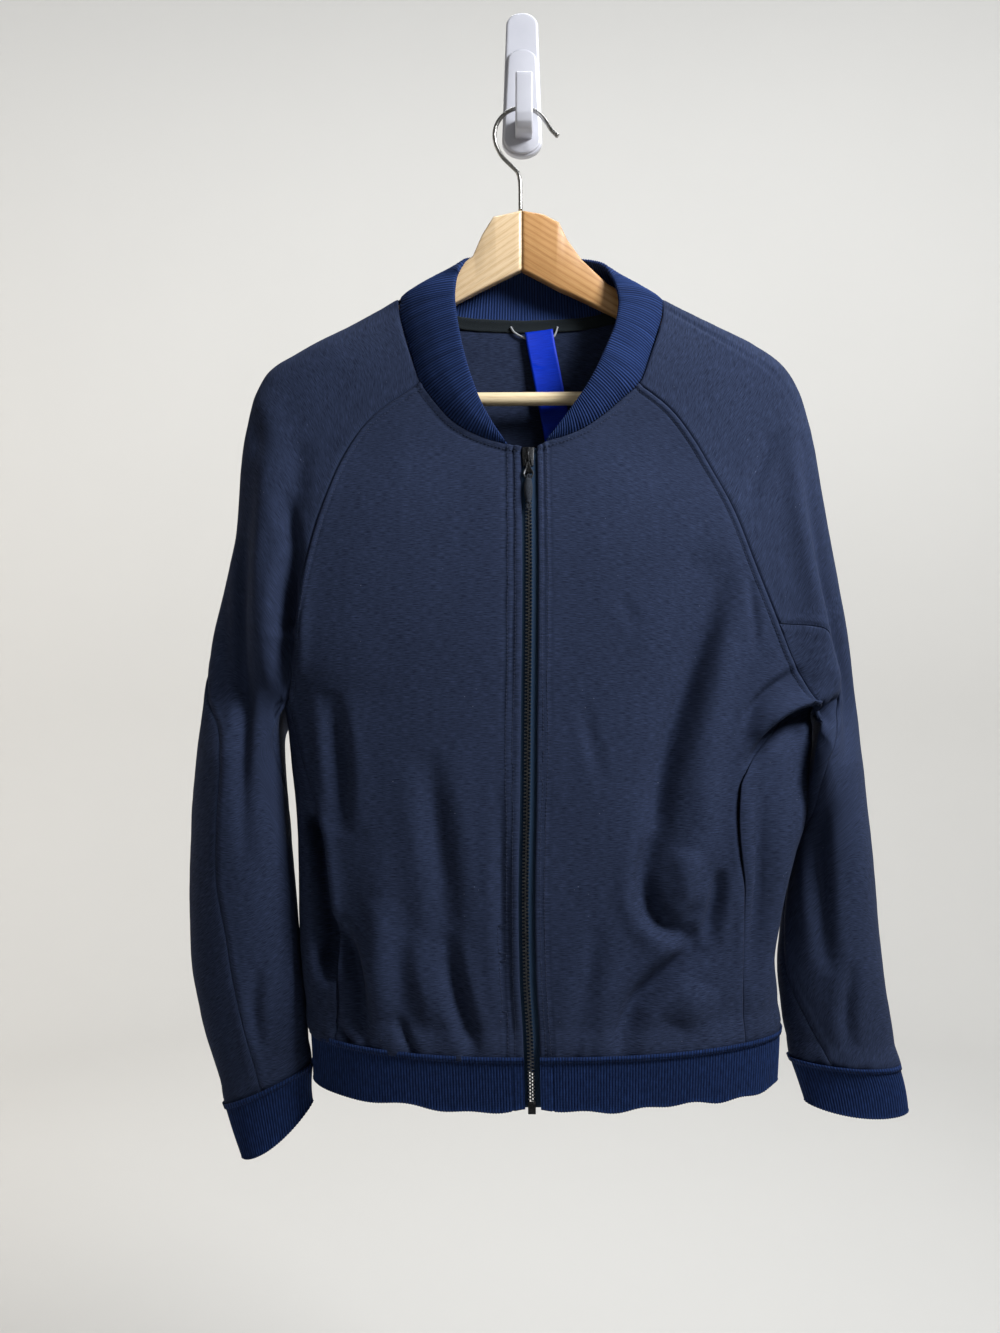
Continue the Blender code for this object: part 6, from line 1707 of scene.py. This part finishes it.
def add_stitches(materials, patches):
    parts = []
    for patch in patches:
        if not patch.name.startswith(("front", "back")):
            continue
        surface = BVHTree.FromPolygons(patch.points.tolist(), patch.faces)
        neck = patch.line(slice(-1, None), slice(None))
        parts += stitch_row(patch, surface, neck, NECK_STITCHES)
        sides = (slice(-1, None),) if patch.name.startswith("front") else (slice(0, 1), slice(-1, None))
        for columns in sides:
            raglan_seam = patch.line(slice(SIDE_ROWS, None), columns)
            parts += stitch_row(patch, surface, raglan_seam, RAGLAN_STITCHES)
        if patch.name.startswith("front"):
            for offset in FACING_ROWS[patch.name.split("_")[1]]:
                parts += stitch_row(patch, surface, patch.line(slice(None), slice(0, 1)), offset)
    piece = add_mesh("seam_stitches", *merged(parts), materials["thread"])
    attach(outward_faces(piece), "jacket")


LEVELS = [step / 12 for step in range(13)]


def folded_lines(lines, outward):
    """Carries the body's folds into a band."""
    ahead = np.concatenate([lines[:, 1:], lines[:, -1:]], axis=1)
    behind = np.concatenate([lines[:, :1], lines[:, :-1]], axis=1)
    normal = np.cross(ahead - behind, np.gradient(lines, axis=0)) * outward
    normal /= np.maximum(np.linalg.norm(normal, axis=2, keepdims=True), 1e-9)
    flat_points, flat_normals = lines.reshape(-1, 3), normal.reshape(-1, 3)
    lift = all_fold_lifts(flat_points, flat_normals)
    return (flat_points + flat_normals * lift[:, None]).reshape(lines.shape)


def squared(lines, ease=26):
    """Slides the points of each line along it until the columns cross the middle line squarely."""
    middle = lines[len(lines) // 2]
    tangents = np.gradient(middle, axis=0)
    count = len(middle)
    ends = np.minimum(np.arange(count), np.arange(count)[::-1])
    weight = step_up(ends.astype(float), 3, ease)
    made = []
    for line in lines:
        slid = np.arange(count, dtype=float)
        for column in range(count):
            low, high = max(column - 22, 0), min(column + 23, count)
            ahead = np.maximum.accumulate((line[low:high] - middle[column]) @ tangents[column])
            spot = np.interp(0.0, ahead, np.arange(low, high))
            slid[column] += (spot - column) * weight[column]
        slid = np.maximum.accumulate(slid)
        made.append(np.stack([np.interp(slid, np.arange(count), line[:, axis]) for axis in range(3)], axis=1))
    return np.array(made)


RIB_RELIEF = 0.7                            # height of the ribs
BAND_THICK = 3.0
COLLAR_SINK = 0.7                           # how far a band's seam edge lies behind the cloth
BAND_SINK = 3.4
HEM_PLAIN_END = 10.0                        # the hem band has no ribs this near the zip


def add_bands(materials, cuffs):
    """The collar, the hem band and both cuffs."""
    fine = 6
    rows = 14

    def add_band(name, node, lines, outward, closed, material, per_rib, sink, plain_ends=0.0):
        points, faces, flat = band(
            lines, closed, outward, per_rib, RIB_RELIEF, BAND_THICK, rows, sink, plain_ends)
        place(add_mesh(name, points, faces, materials[material], flat), [node])

    collar = squared(folded_lines(collar_lines(LEVELS), 1))
    # the collar takes the copy of the rib with painted light
    add_band("collar_knit", "collar_rib", collar, 1, False, "rib with painted light at collar", fine, COLLAR_SINK)
    hem = folded_lines(hem_lines(LEVELS), 1)
    add_band("hem_knit", "hem_rib", hem, 1, False, "rib", 4, BAND_SINK, HEM_PLAIN_END)
    for side, sign in SIDES.items():
        cuff = folded_lines(cuffs[side], sign)
        add_band("cuff_knit_" + side, "cuff_" + side, cuff, sign, True, "rib", fine, BAND_SINK)


# ---------------------------------------------------------------- zip
def zip_place(z):
    """The zip's centre line: x, and the depth of the fronts' outer face."""
    depth = at(DEPTHS, z)
    return depth.zip_x, depth.front_y


def tooth(centre, sign, run):
    """One chain tooth: a shank in the tape's edge and a rounded head past the centre line."""
    x, y, z = centre
    half_outline = [(2.7, 0.58), (1.0, 0.48), (0.2, 0.60), (-0.6, 0.36)]
    outline = half_outline + [(out, -up) for out, up in reversed(half_outline)]
    points, faces = [], []
    for depth, grow in ((-1.05, 0.72), (-0.75, 1.0), (0.9, 1.0), (1.2, 0.75)):
        for out, up in outline:
            reach = 0.9 + (out - 0.9) * (grow * 0.1 + 0.9)
            points.append((x + sign * reach, y + depth + run * up, z + up * grow))
    count = len(outline)
    for ring in range(3):
        for step in range(count):
            a, b = ring * count + step, ring * count + (step + 1) % count
            faces.append([a, b, b + count, a + count])
    faces.append(list(range(count))[::-1])
    faces.append([3 * count + step for step in range(count)])
    return points, faces


def merged(parts):
    points, faces = [], []
    for part_points, part_faces in parts:
        start = len(points)
        points += [tuple(point) for point in part_points]
        faces += [[start + vertex for vertex in ring] for ring in part_faces]
    return points, faces


def add_zip(materials):
    parts = []
    count = int((CHAIN_TOP_Z - CHAIN_BOTTOM_Z) / TOOTH_PITCH)
    for step in range(count):
        for sign in SIDES.values():
            z = CHAIN_BOTTOM_Z + TOOTH_PITCH * (step + (0.25 if sign > 0 else 0.75))
            x, y = zip_place(z)
            slope = (zip_place(z + 4)[1] - zip_place(z - 4)[1]) / 8
            parts.append(tooth((x, y + 0.9, z), sign, slope))
    piece = add_mesh("zip_teeth", *merged(parts), materials["teeth"], smooth=False)
    place(outward_faces(piece), ["zip_chain"])
    for side, sign in SIDES.items():
        rings = []
        rows = 160
        for step in range(rows + 1):
            z = TAPE_BOTTOM_Z + (TAPE_TOP_Z - TAPE_BOTTOM_Z) * step / rows
            x, y = zip_place(z)
            wall = RIB_WALL if z < HEM_SEAM_Z + 4 else CLOTH_WALL
            sway = 0.12 * math.sin(z * 0.21 + sign) + 0.08 * math.sin(z * 0.53)
            section = [(1.5, -0.3), (1.7, -0.75), (2.3, -0.85), (2.9, -0.55), (3.4, -0.1), (5, 0), (8, 0.05),
                       (13.6, 0.1), (13.6, 0.9), (3.0, 0.9), (1.6, 0.7)]
            rings.append([(x + sign * (out + sway), y + wall + 0.45 + depth, z) for out, depth in section])
        points, faces = loft(rings)
        flat = np.stack([points[:, 0], points[:, 2]], axis=1)
        piece = add_mesh("zip_tape_woven_" + side, points, faces, materials["zip tape"], flat)
        place(outward_faces(piece), ["zip_tape_" + side])


def rounded_box(size, edge, segments=3):
    """Points and faces of a box with rounded edges, centred."""
    mesh = bmesh.new()
    bmesh.ops.create_cube(mesh, size=1.0)
    for vertex in mesh.verts:
        vertex.co = Vector(vertex.co[i] * size[i] for i in range(3))
    bmesh.ops.bevel(mesh, geom=list(mesh.edges), offset=edge, segments=segments, profile=0.5, affect="EDGES")
    mesh.verts.index_update()
    points = [tuple(vertex.co) for vertex in mesh.verts]
    faces = [[vertex.index for vertex in face.verts] for face in mesh.faces]
    mesh.free()
    return points, faces


def moved(part, shift, shape=None):
    points, faces = part
    made = []
    for point in points:
        spot = shape(point) if shape else point
        made.append((spot[0] + shift[0], spot[1] + shift[1], spot[2] + shift[2]))
    return made, faces


def add_slider(materials):
    """Slider body with flared top, guide ears and the bridge that carries the pull."""
    x, y = zip_place(-351)
    slope = (zip_place(-345)[1] - zip_place(-357)[1]) / 12

    def body(point):
        share = point[2] / 17 + 0.5
        half = 0.78 + 0.30 * min(share * 1.6, 1) - 0.18 * max(share - 0.8, 0) * 5
        return point[0] * half, point[1] + point[2] * slope, point[2]

    front = rounded_box((SLIDER_WIDTH, 1.3, SLIDER_HEIGHT), 0.5)
    behind = rounded_box((SLIDER_WIDTH, 1.1, SLIDER_HEIGHT), 0.4)
    parts = [moved(front, (x, y - 1.4, SLIDER_Z), body), moved(behind, (x, y + 1.0, SLIDER_Z), body)]
    parts.append(moved(rounded_box((2.4, 2.6, 5.0), 0.4), (x, y - 0.2, -345.5)))
    for sign in (1, -1):
        parts.append(moved(rounded_box((0.9, 3.2, 4.6), 0.35), (x + sign * 2.6, y - 3.0, -356.4)))
    bridge = [(1.6, -346), (3.4, -347.6), (4.0, -351), (3.6, -354.6)]
    bridge = smooth_route([(x, y - proud, z) for proud, z in bridge], 0.7)
    parts.append(loft(tube_rings(bridge, 0.75, 10)))
    pin = smooth_route([(x + out, y - PIVOT_PROUD, PIVOT_Z) for out in (-3.1, 0, 3.1)], 1.0)
    parts.append(loft(tube_rings(pin, 0.55, 10)))
    piece = add_mesh("slider", *merged(parts), materials["gunmetal"])
    place(outward_faces(piece), ["zip_slider"])


def add_pull(materials):
    """Tab with rounded rim and eye, and the braided cord looped through it."""
    x, y = zip_place(PIVOT_Z)
    pivot = Vector((x, y - PIVOT_PROUD, PIVOT_Z))
    slope = (zip_place(PIVOT_Z - 40)[1] - y) / 40
    down = Vector((0, slope, -1)).normalized()
    front = Vector((0, down.z, -down.y)).normalized()
    half = TAB_WIDTH / 2
    steps = 40
    rings = []
    for depth, grow in ((0.55, 0.86), (0.62, 0.92), (0.5, 1.0), (-0.5, 1.0), (-0.62, 0.92), (-0.55, 0.86)):
        ring = []
        for step in range(steps):
            angle = 2 * math.pi * step / steps
            across, along_tab = math.cos(angle), math.sin(angle)
            width = half * (0.42 + 0.58 * clamp((along_tab + 0.35) / 0.6, 0, 1))
            ring.append(
                pivot + Vector((across * width * grow, 0, 0)) + front * depth
                + down * (TAB_MIDDLE + along_tab * (TAB_REACH * grow + 0.3))
            )
        rings.append(ring)
    hole = []
    for depth in (-0.55, 0.55):
        hole.append([
            pivot + Vector((EYE_HALF[0] * math.cos(2 * math.pi * s / steps), 0, 0)) + front * depth
            + down * (EYE_BELOW_PIN + EYE_HALF[1] * math.sin(2 * math.pi * s / steps))
            for s in range(steps)
        ])
    rings = rings + hole + rings[:1]
    points, faces = loft(rings, caps=False)
    tab = add_mesh("pull_tab_metal", points, faces, materials["gunmetal"])
    modifier = tab.modifiers.new("weld", "WELD")
    modifier.merge_threshold = 0.00001
    place(tab, ["pull_tab"], "zip_pull")
    add_pull_cord(materials, pivot + down * CORD_BELOW_PIN, down, front)


def add_pull_cord(materials, start, down, front):
    """The cord from its start in the tab's eye: loop, braid and end knot."""
    parts = []
    for strand in range(BRAID_STRANDS):
        route = []
        for step in range(90):
            share = step / 89
            turn = 2 * math.pi * (share * BRAID_TURNS + strand / BRAID_STRANDS)
            swell = 0.8 + 1.5 * math.sin(math.pi * min(share * 1.15, 1)) ** 0.5
            side = Vector((math.cos(turn) * swell * 1.15, 0, 0)) + front * (math.sin(turn) * swell * 0.75)
            route.append(start + down * (BRAID_START + BRAID_LENGTH * share) + side)
        parts.append(loft(tube_rings(route, BRAID_RADIUS, 8)))
    for sign in (1, -1):
        turns = ((3.0, 0.9, 0), (0, 1.0, 0.9), (-1.6, 0.3, 0.9), (-1.9, 0, 0))
        loop = [
            start + down * fall + Vector((sign * out, 0, 0)) + front * proud for fall, out, proud in turns
        ]
        parts.append(loft(tube_rings(smooth_route(loop, 0.5), 0.7, 8)))
    tail = [start + down * KNOT_START]
    for angle in (-60, -20, 20, 60, 90, 120, 160, 200, 240):
        angle = math.radians(angle)
        side = Vector((1.5 * math.cos(angle), 0, 0))
        tail.append(start + down * (KNOT_MIDDLE + 2.2 * math.sin(angle)) + side)
    parts.append(loft(tube_rings(smooth_route(tail, 0.5), 0.6, 8)))
    cord = add_mesh("pull_cord_braid", *merged(parts), materials["cord"])
    place(outward_faces(cord), ["pull_cord"], "zip_pull")


def add_box(materials):
    """Bottom box of the zip, with the end of the pin in it."""
    x, y = zip_place(-892)
    parts = [moved(rounded_box((6.4, 3.4, 9.6), 0.5), (x, y + 0.2, BOX_Z))]
    parts.append(moved(rounded_box((1.0, 3.9, 8.0), 0.3), (x + 1.3, y + 0.1, BOX_Z - 0.2)))
    piece = add_mesh("bottom_box", *merged(parts), materials["gunmetal"])
    place(outward_faces(piece), ["zip_box"])


# ---------------------------------------------------------------- inside the neck
def add_neck_tape(materials):
    samples = [("right", index) for index in neck_samples(NECK_BACK, NECK_CENTRE, 40)]
    samples += [("left", index) for index in reversed(neck_samples(NECK_BACK, NECK_CENTRE, 40)[:-1])]
    rings = []
    for number, (side, index) in enumerate(samples):
        seam = neck_rows(side, index)[0]
        ring = []
        section = [(-0.6, 0.9), (-1.2, 0.4), (-0.4, 0), (1.4, -0.35), (2.8, 0.05), (5.4, -0.1), (7.8, 0.05),
                   (8.6, -0.25), (9.6, 0), (10.2, 0.4), (9.8, 0.9)]
        for drop, depth in section:
            wave = 0.15 * math.sin(number * 0.9 + drop)
            face = on_body(side, seam.x, seam.z - drop, "back")
            ring.append((face.x, face.y - CLOTH_WALL - 0.45 - 1.0 + depth + wave * 0.4, face.z + wave))
        rings.append(ring)
    points, faces = loft(rings)
    flat = np.stack([points[:, 0], points[:, 2]], axis=1)
    tape = outward_faces(add_mesh("neck_tape_woven", points, faces, materials["neck tape"], flat))
    place(tape, ["neck_tape"])


def add_label(materials):
    """A bare ribbon that hangs from the neck tape and curls a little."""
    line = smooth_route(LABEL_LINE, 2.0)
    rows, flats = [], []
    for number, middle in enumerate(line):
        lean = Vector((0.9, 0, 0.12)).normalized() * (LABEL_WIDTH / 2)
        curl = 0.35 * math.sin(number * 0.35)
        row, flat_row = [], []
        for step in range(13):
            share = step / 6 - 1
            row.append(middle + lean * share + Vector((0, -0.5 * share * share + curl * share * 0.6, 0)))
            flat_row.append((share * LABEL_WIDTH / 2, number * 2.0))
        rows.append(row)
        flats.append(flat_row)
    front = np.array([[tuple(p) for p in row] for row in rows])
    behind = front + np.array([0, 0.55, 0])
    ids = np.arange(len(rows) * 13).reshape(len(rows), 13)
    faces = grid_faces(ids, False) + grid_faces(ids + ids.size, True)
    rim = list(ids[0]) + list(ids[1:, -1]) + list(ids[-1, -2::-1]) + list(ids[-2:0:-1, 0])
    faces += [[int(a), int(b), int(b + ids.size), int(a + ids.size)] for a, b in zip(rim, rim[1:] + rim[:1])]
    points = np.vstack([front.reshape(-1, 3), behind.reshape(-1, 3)])
    label = add_mesh("label_ribbon", points, faces, materials["satin"], np.array(flats * 2).reshape(-1, 2))
    place(outward_faces(label), ["label"])


def add_loop(materials):
    route = smooth_route(LOOP_ROUTE, 0.8)
    rings = tube_rings(route, LOOP_RADIUS, 10, lambda row, step: 1 + 0.12 * math.sin(row * 1.1 + step * 2.5))
    loop = add_mesh("hang_loop_cord", *loft(rings), materials["pale cord"])
    place(outward_faces(loop), ["hang_loop"])


# ---------------------------------------------------------------- hanger and wall hook
def arm_depth(x):
    """Depth of an arm's middle: straight near the hub, then coming forward with the shoulder."""
    return ARM_DEPTH - ARM_SWEEP * clamp((x - ARM_SWEEP_START) / (ARM_SWEEP_END - ARM_SWEEP_START), 0, 1)


def arm_rows(side):
    """The part's arm outline, with closer rows between its own."""
    rows = []
    for start, end in zip(ARMS[side], ARMS[side][1:]):
        count = max(1, round((end.x - start.x) / 3))
        for step in range(count):
            share = step / count
            rows.append(Arm(*(a + (b - a) * share for a, b in zip(start, end))))
    rows.append(ARMS[side][-1])
    return rows


def add_arms(materials, patches):
    """Both arms, their crowns kept under the shoulder cloth."""
    points, faces = [], []
    for patch in patches:
        start = len(points)
        points += patch.points.tolist()
        faces += [[start + vertex for vertex in ring] for ring in patch.faces]
    cloth = BVHTree.FromPolygons(points, faces)
    half = ARM_THICK / 2
    crown = [(-1, 0.62), (-0.93, 0.40), (-0.8, 0.22), (-0.55, 0.09), (-0.25, 0.02), (0, 0), (0.25, 0.02),
             (0.55, 0.09), (0.8, 0.22), (0.93, 0.40), (1, 0.62)]
    keel = [(1, 2.2), (0.94, 0.9), (0.8, 0.25), (0.6, 0), (-0.6, 0), (-0.8, 0.25), (-0.94, 0.9), (-1, 2.2)]
    for side, sign in SIDES.items():
        rings = []
        for number, row in enumerate(arm_rows(side)):
            x = HUB_GAP_X + sign * (row.x if row.x else SEAM_GAP / 2)
            middle = arm_depth(row.x)
            ease = 1.0 if number else 0.93
            section = []
            for share, drop in crown:
                y = middle + share * half * ease
                spot = cloth.ray_cast(Vector((x, y, row.bottom)), Vector((0, 0, 1)))
                limit = math.inf if spot[0] is None else spot[0].z - 3.2 / max(abs(spot[1].z), 0.2)
                section.append((y, min(row.top - drop * half, limit)))
            section += [(middle + share * half * ease, row.bottom + up) for share, up in keel]
            rings.append([Vector((x, y, z)) for y, z in section])
        last = rings[-1]
        middle = sum(last, Vector()) / len(last)
        for out, size in ((1.2, 0.93), (2.1, 0.75), (2.5, 0.45)):
            rings.append([middle + (point - middle) * size + Vector((sign * out, 0, 0)) for point in last])
        points, faces = loft(rings)
        arm = add_mesh("arm_" + side, points, faces, materials["wood_" + side])
        place(outward_faces(arm), ["hanger_arm_" + side])


def add_bar_and_wire(materials):
    route = smooth_route([
        (-BAR_END["right"], arm_depth(BAR_END["right"]), BAR_Z["right"]),
        (0, arm_depth(183) + 0.1, (BAR_Z["left"] + BAR_Z["right"]) / 2 - 0.2),
        (BAR_END["left"], arm_depth(BAR_END["left"]), BAR_Z["left"]),
    ], 6.0)
    bar = add_mesh("bar_dowel", *loft(tube_rings(route, BAR_RADIUS, 40)), materials["wood_bar"])
    place(outward_faces(bar), ["hanger_bar"])
    route = smooth_route(WIRE_ROUTE, 1.2)
    radii = [WIRE_RADIUS] * len(route)
    radii[-3:] = [WIRE_RADIUS * grow for grow in (1.12, 1.25, 1.18)]    # the blob at its tip
    wire = add_mesh("wire_hook", *loft(tube_rings(route, radii, 20)), materials["steel"])
    place(outward_faces(wire), ["hanger_wire"])


def plate_outline(top_z, bottom_z, margin, y, steps=28):
    """A tapered plate with round ends, in the plane y."""
    top_half, bottom_half = PLATE_TOP_HALF - margin, PLATE_BOTTOM_HALF - margin
    points = []
    for half, end_z, sign in ((bottom_half, bottom_z, 1), (top_half, top_z, -1)):
        for step in range(steps + 1):
            angle = math.pi * step / steps
            z = end_z + sign * half * 0.8 * (1 - math.sin(angle))
            points.append(Vector((sign * half * math.cos(angle), y, z)))
    return points


def add_wall_hook(materials):
    rings = [plate_outline(PLATE_TOP_Z, PLATE_BOTTOM_Z, 0, 0)]
    for inset, depth in ((0, 5.6), (0.25, 6.7), (0.9, 7.5), (1.9, 7.95), (3.2, 8.0)):
        rings.append(plate_outline(PLATE_TOP_Z - inset, PLATE_BOTTOM_Z + inset, inset, -depth))
    plate = add_mesh("plate_moulded", *loft(rings), materials["plastic"])
    place(outward_faces(plate), ["wall_plate"])
    top, low = PANEL_TOP_Z, PLATE_BOTTOM_Z + PANEL_MARGIN
    rings = [plate_outline(top, low, PANEL_MARGIN, -PLATE_THICK - 0.1)]
    for inset, depth in ((0, 1.6), (0.2, 2.3), (0.8, 2.9), (1.8, 3.1)):
        rings.append(plate_outline(top - inset, low + inset, PANEL_MARGIN + inset, -PLATE_THICK - depth))
    parts = [loft(rings)]
    profile = [Vector((0, y, z)) for y, z in PRONG_PROFILE]
    smooth = []
    for number, spot in enumerate(profile):
        before, after = profile[number - 1], profile[(number + 1) % len(profile)]
        sharp = min((spot - before).length, (after - spot).length)
        reach = min(1.2, sharp * 0.3)
        smooth.append(spot + (before - spot).normalized() * reach)
        smooth.append(spot * 0.5 + (spot + (before - spot).normalized() * reach) * 0.25
                      + (spot + (after - spot).normalized() * reach) * 0.25)
        smooth.append(spot + (after - spot).normalized() * reach)
    middle = sum(smooth, Vector()) / len(smooth)
    rings = []
    for x, inset in ((PRONG_RIGHT_X, 1.3), (PRONG_RIGHT_X + 0.35, 0.6), (PRONG_RIGHT_X + 1.1, 0.12),
                     (PRONG_RIGHT_X + 2, 0), (PRONG_LEFT_X - 2, 0), (PRONG_LEFT_X - 1.1, 0.12),
                     (PRONG_LEFT_X - 0.35, 0.6), (PRONG_LEFT_X, 1.3)):
        ring = []
        count = len(smooth)
        for number, spot in enumerate(smooth):
            tangent = smooth[(number + 1) % count] - smooth[number - 1]
            inward = Vector((0, -tangent.z, tangent.y)).normalized()
            if inward.length == 0:
                inward = (middle - spot).normalized()
            ring.append(Vector((x, spot.y, spot.z)) + inward * inset)
        rings.append(ring)
    parts.append(loft(rings))
    prong = add_mesh("prong_moulded", *merged(parts), materials["plastic"])
    place(outward_faces(prong), ["wall_prong"])


# ---------------------------------------------------------------- cuts
# A record of a cloth piece's flat size in metres, the area of it that shows, and what it hangs from; no piece
# is given one and nothing uses it.
Cut = namedtuple("Cut", "width length area hung_from")


# ---------------------------------------------------------------- studio
def add_light(name, spot, target, size, power, colour):
    data = bpy.data.lights.new(name, "AREA")
    data.shape = "RECTANGLE"
    data.size, data.size_y = size
    data.energy = power
    data.color = colour
    light = bpy.data.objects.new(name, data)
    light.location = spot
    light.rotation_mode = "QUATERNION"
    light.rotation_quaternion = (Vector(target) - Vector(spot)).to_track_quat("-Z", "Y")
    light.visible_camera = False
    bpy.context.scene.collection.objects.link(light)


def add_studio(materials):
    """A pale floor that turns up into a round backdrop on every side, open at the top."""
    floor, radius, turn, height = -1550.0, 3400.0, 900.0, 2600.0
    profile = [(step / 8 * (radius - turn), floor) for step in range(1, 9)]
    for step in range(1, 17):
        angle = math.pi / 2 * step / 16
        profile.append((radius - turn + turn * math.sin(angle), floor + turn * (1 - math.cos(angle))))
    profile.append((radius, height))
    steps = 96
    points, faces = [(0, 0, floor)], []
    for out, z in profile:
        for step in range(steps):
            angle = 2 * math.pi * step / steps
            points.append((out * math.cos(angle), out * math.sin(angle), z))
    faces += [[0, 1 + step, 1 + (step + 1) % steps] for step in range(steps)]
    for ring in range(len(profile) - 1):
        for step in range(steps):
            a, b = 1 + ring * steps + step, 1 + ring * steps + (step + 1) % steps
            faces.append([a, a + steps, b + steps, b])
    cove = add_mesh("studio_cove", points, faces, materials["backdrop"])
    world = bpy.data.worlds.new("soft_sky")
    world.use_nodes = True
    sky = world.node_tree.nodes["Background"]
    sky.inputs["Color"].default_value = (0.86, 0.93, 1.0, 1.0)
    sky.inputs["Strength"].default_value = 0.15
    bpy.context.scene.world = world
    add_light("key", (0.90, -0.72, 0.42), (0.02, -0.08, -0.40), (0.45, 0.45), 33, (0.97, 0.985, 1.0))
    add_light("fill", (-2.4, 0.6, -0.1), (-1.2, 3.2, -0.5), (1.2, 1.2), 22, (1.0, 0.88, 0.74))
    add_light("backdrop", (0.3, 0.5, 1.45), (0.2, 3.4, -0.5), (1.8, 1.0), 98, (0.95, 0.975, 1.0))


def add_camera():
    data = bpy.data.cameras.new("photo_camera")
    data.sensor_width = 36.0
    data.lens = 35.08
    camera = bpy.data.objects.new("photo_camera", data)
    camera.location = (-0.020, -1.18, -0.529)
    camera.rotation_euler = (math.pi / 2, 0, 0)
    bpy.context.scene.collection.objects.link(camera)
    bpy.context.scene.camera = camera


def main():
    materials = {
        "jersey": jersey_material("heather_jersey", (0.0085, 0.0125, 0.028), (0.031, 0.045, 0.096)),
        "rib": rib_material("navy_rib", (0.005, 0.014, 0.053), (0.0135, 0.034, 0.118)),
        # the navy rib again with lighter colours: painted light for the light falling on the collar
        "rib with painted light at collar": rib_material("navy_collar_rib", (0.008, 0.019, 0.068), (0.020, 0.044, 0.146)),
        "teeth": metal_material("chain_metal", (0.05, 0.056, 0.066), (0.27, 0.28, 0.29), 0.34),
        "gunmetal": metal_material("gunmetal", (0.020, 0.021, 0.023), (0.075, 0.077, 0.082), 0.38),
        "zip tape": tape_material("zip_tape_weave", (0.010, 0.024, 0.052), (0.022, 0.052, 0.100), 420.0),
        "neck tape": tape_material("neck_tape_weave", (0.006, 0.009, 0.012), (0.022, 0.030, 0.034), 300.0),
        "cord": cord_material("charcoal_cord", (0.010, 0.012, 0.017), (0.042, 0.050, 0.066)),
        "thread": cord_material("navy_thread", (0.010, 0.015, 0.034), (0.030, 0.042, 0.084)),
        "pale cord": tape_material("pale_cord", (0.30, 0.31, 0.33), (0.50, 0.51, 0.53), 500.0),
        "satin": satin_material(),
        "wood_left": wood_material(
            "orange_wood", (0.58, 0.33, 0.13), (0.46, 0.225, 0.075), (0.42, 0.20, 0.07), -0.55, 3.0),
        "wood_right": wood_material(
            "pale_wood", (0.80, 0.62, 0.40), (0.70, 0.50, 0.29), (0.66, 0.46, 0.25), 0.6, 9.0),
        "wood_bar": wood_material(
            "bar_wood", (0.93, 0.78, 0.52), (0.88, 0.70, 0.44), (0.78, 0.58, 0.34), 0.0, 1.0),
        "steel": metal_material("steel_wire", (0.24, 0.235, 0.225), (0.46, 0.45, 0.43), 0.26),
        "plastic": plastic_material(),
        "backdrop": plain_material("pale_backdrop", (0.58, 0.57, 0.55), 0.9),
    }
    patches, cuffs = add_cloth(materials)
    add_stitches(materials, patches)
    add_bands(materials, cuffs)
    add_zip(materials)
    add_slider(materials)
    add_pull(materials)
    add_box(materials)
    add_neck_tape(materials)
    add_label(materials)
    add_loop(materials)
    add_arms(materials, [patch for patch in patches if not patch.name.startswith("side")])
    add_bar_and_wire(materials)
    add_wall_hook(materials)
    add_studio(materials)
    add_camera()
    bpy.context.scene.view_settings.view_transform = "Standard"


main()
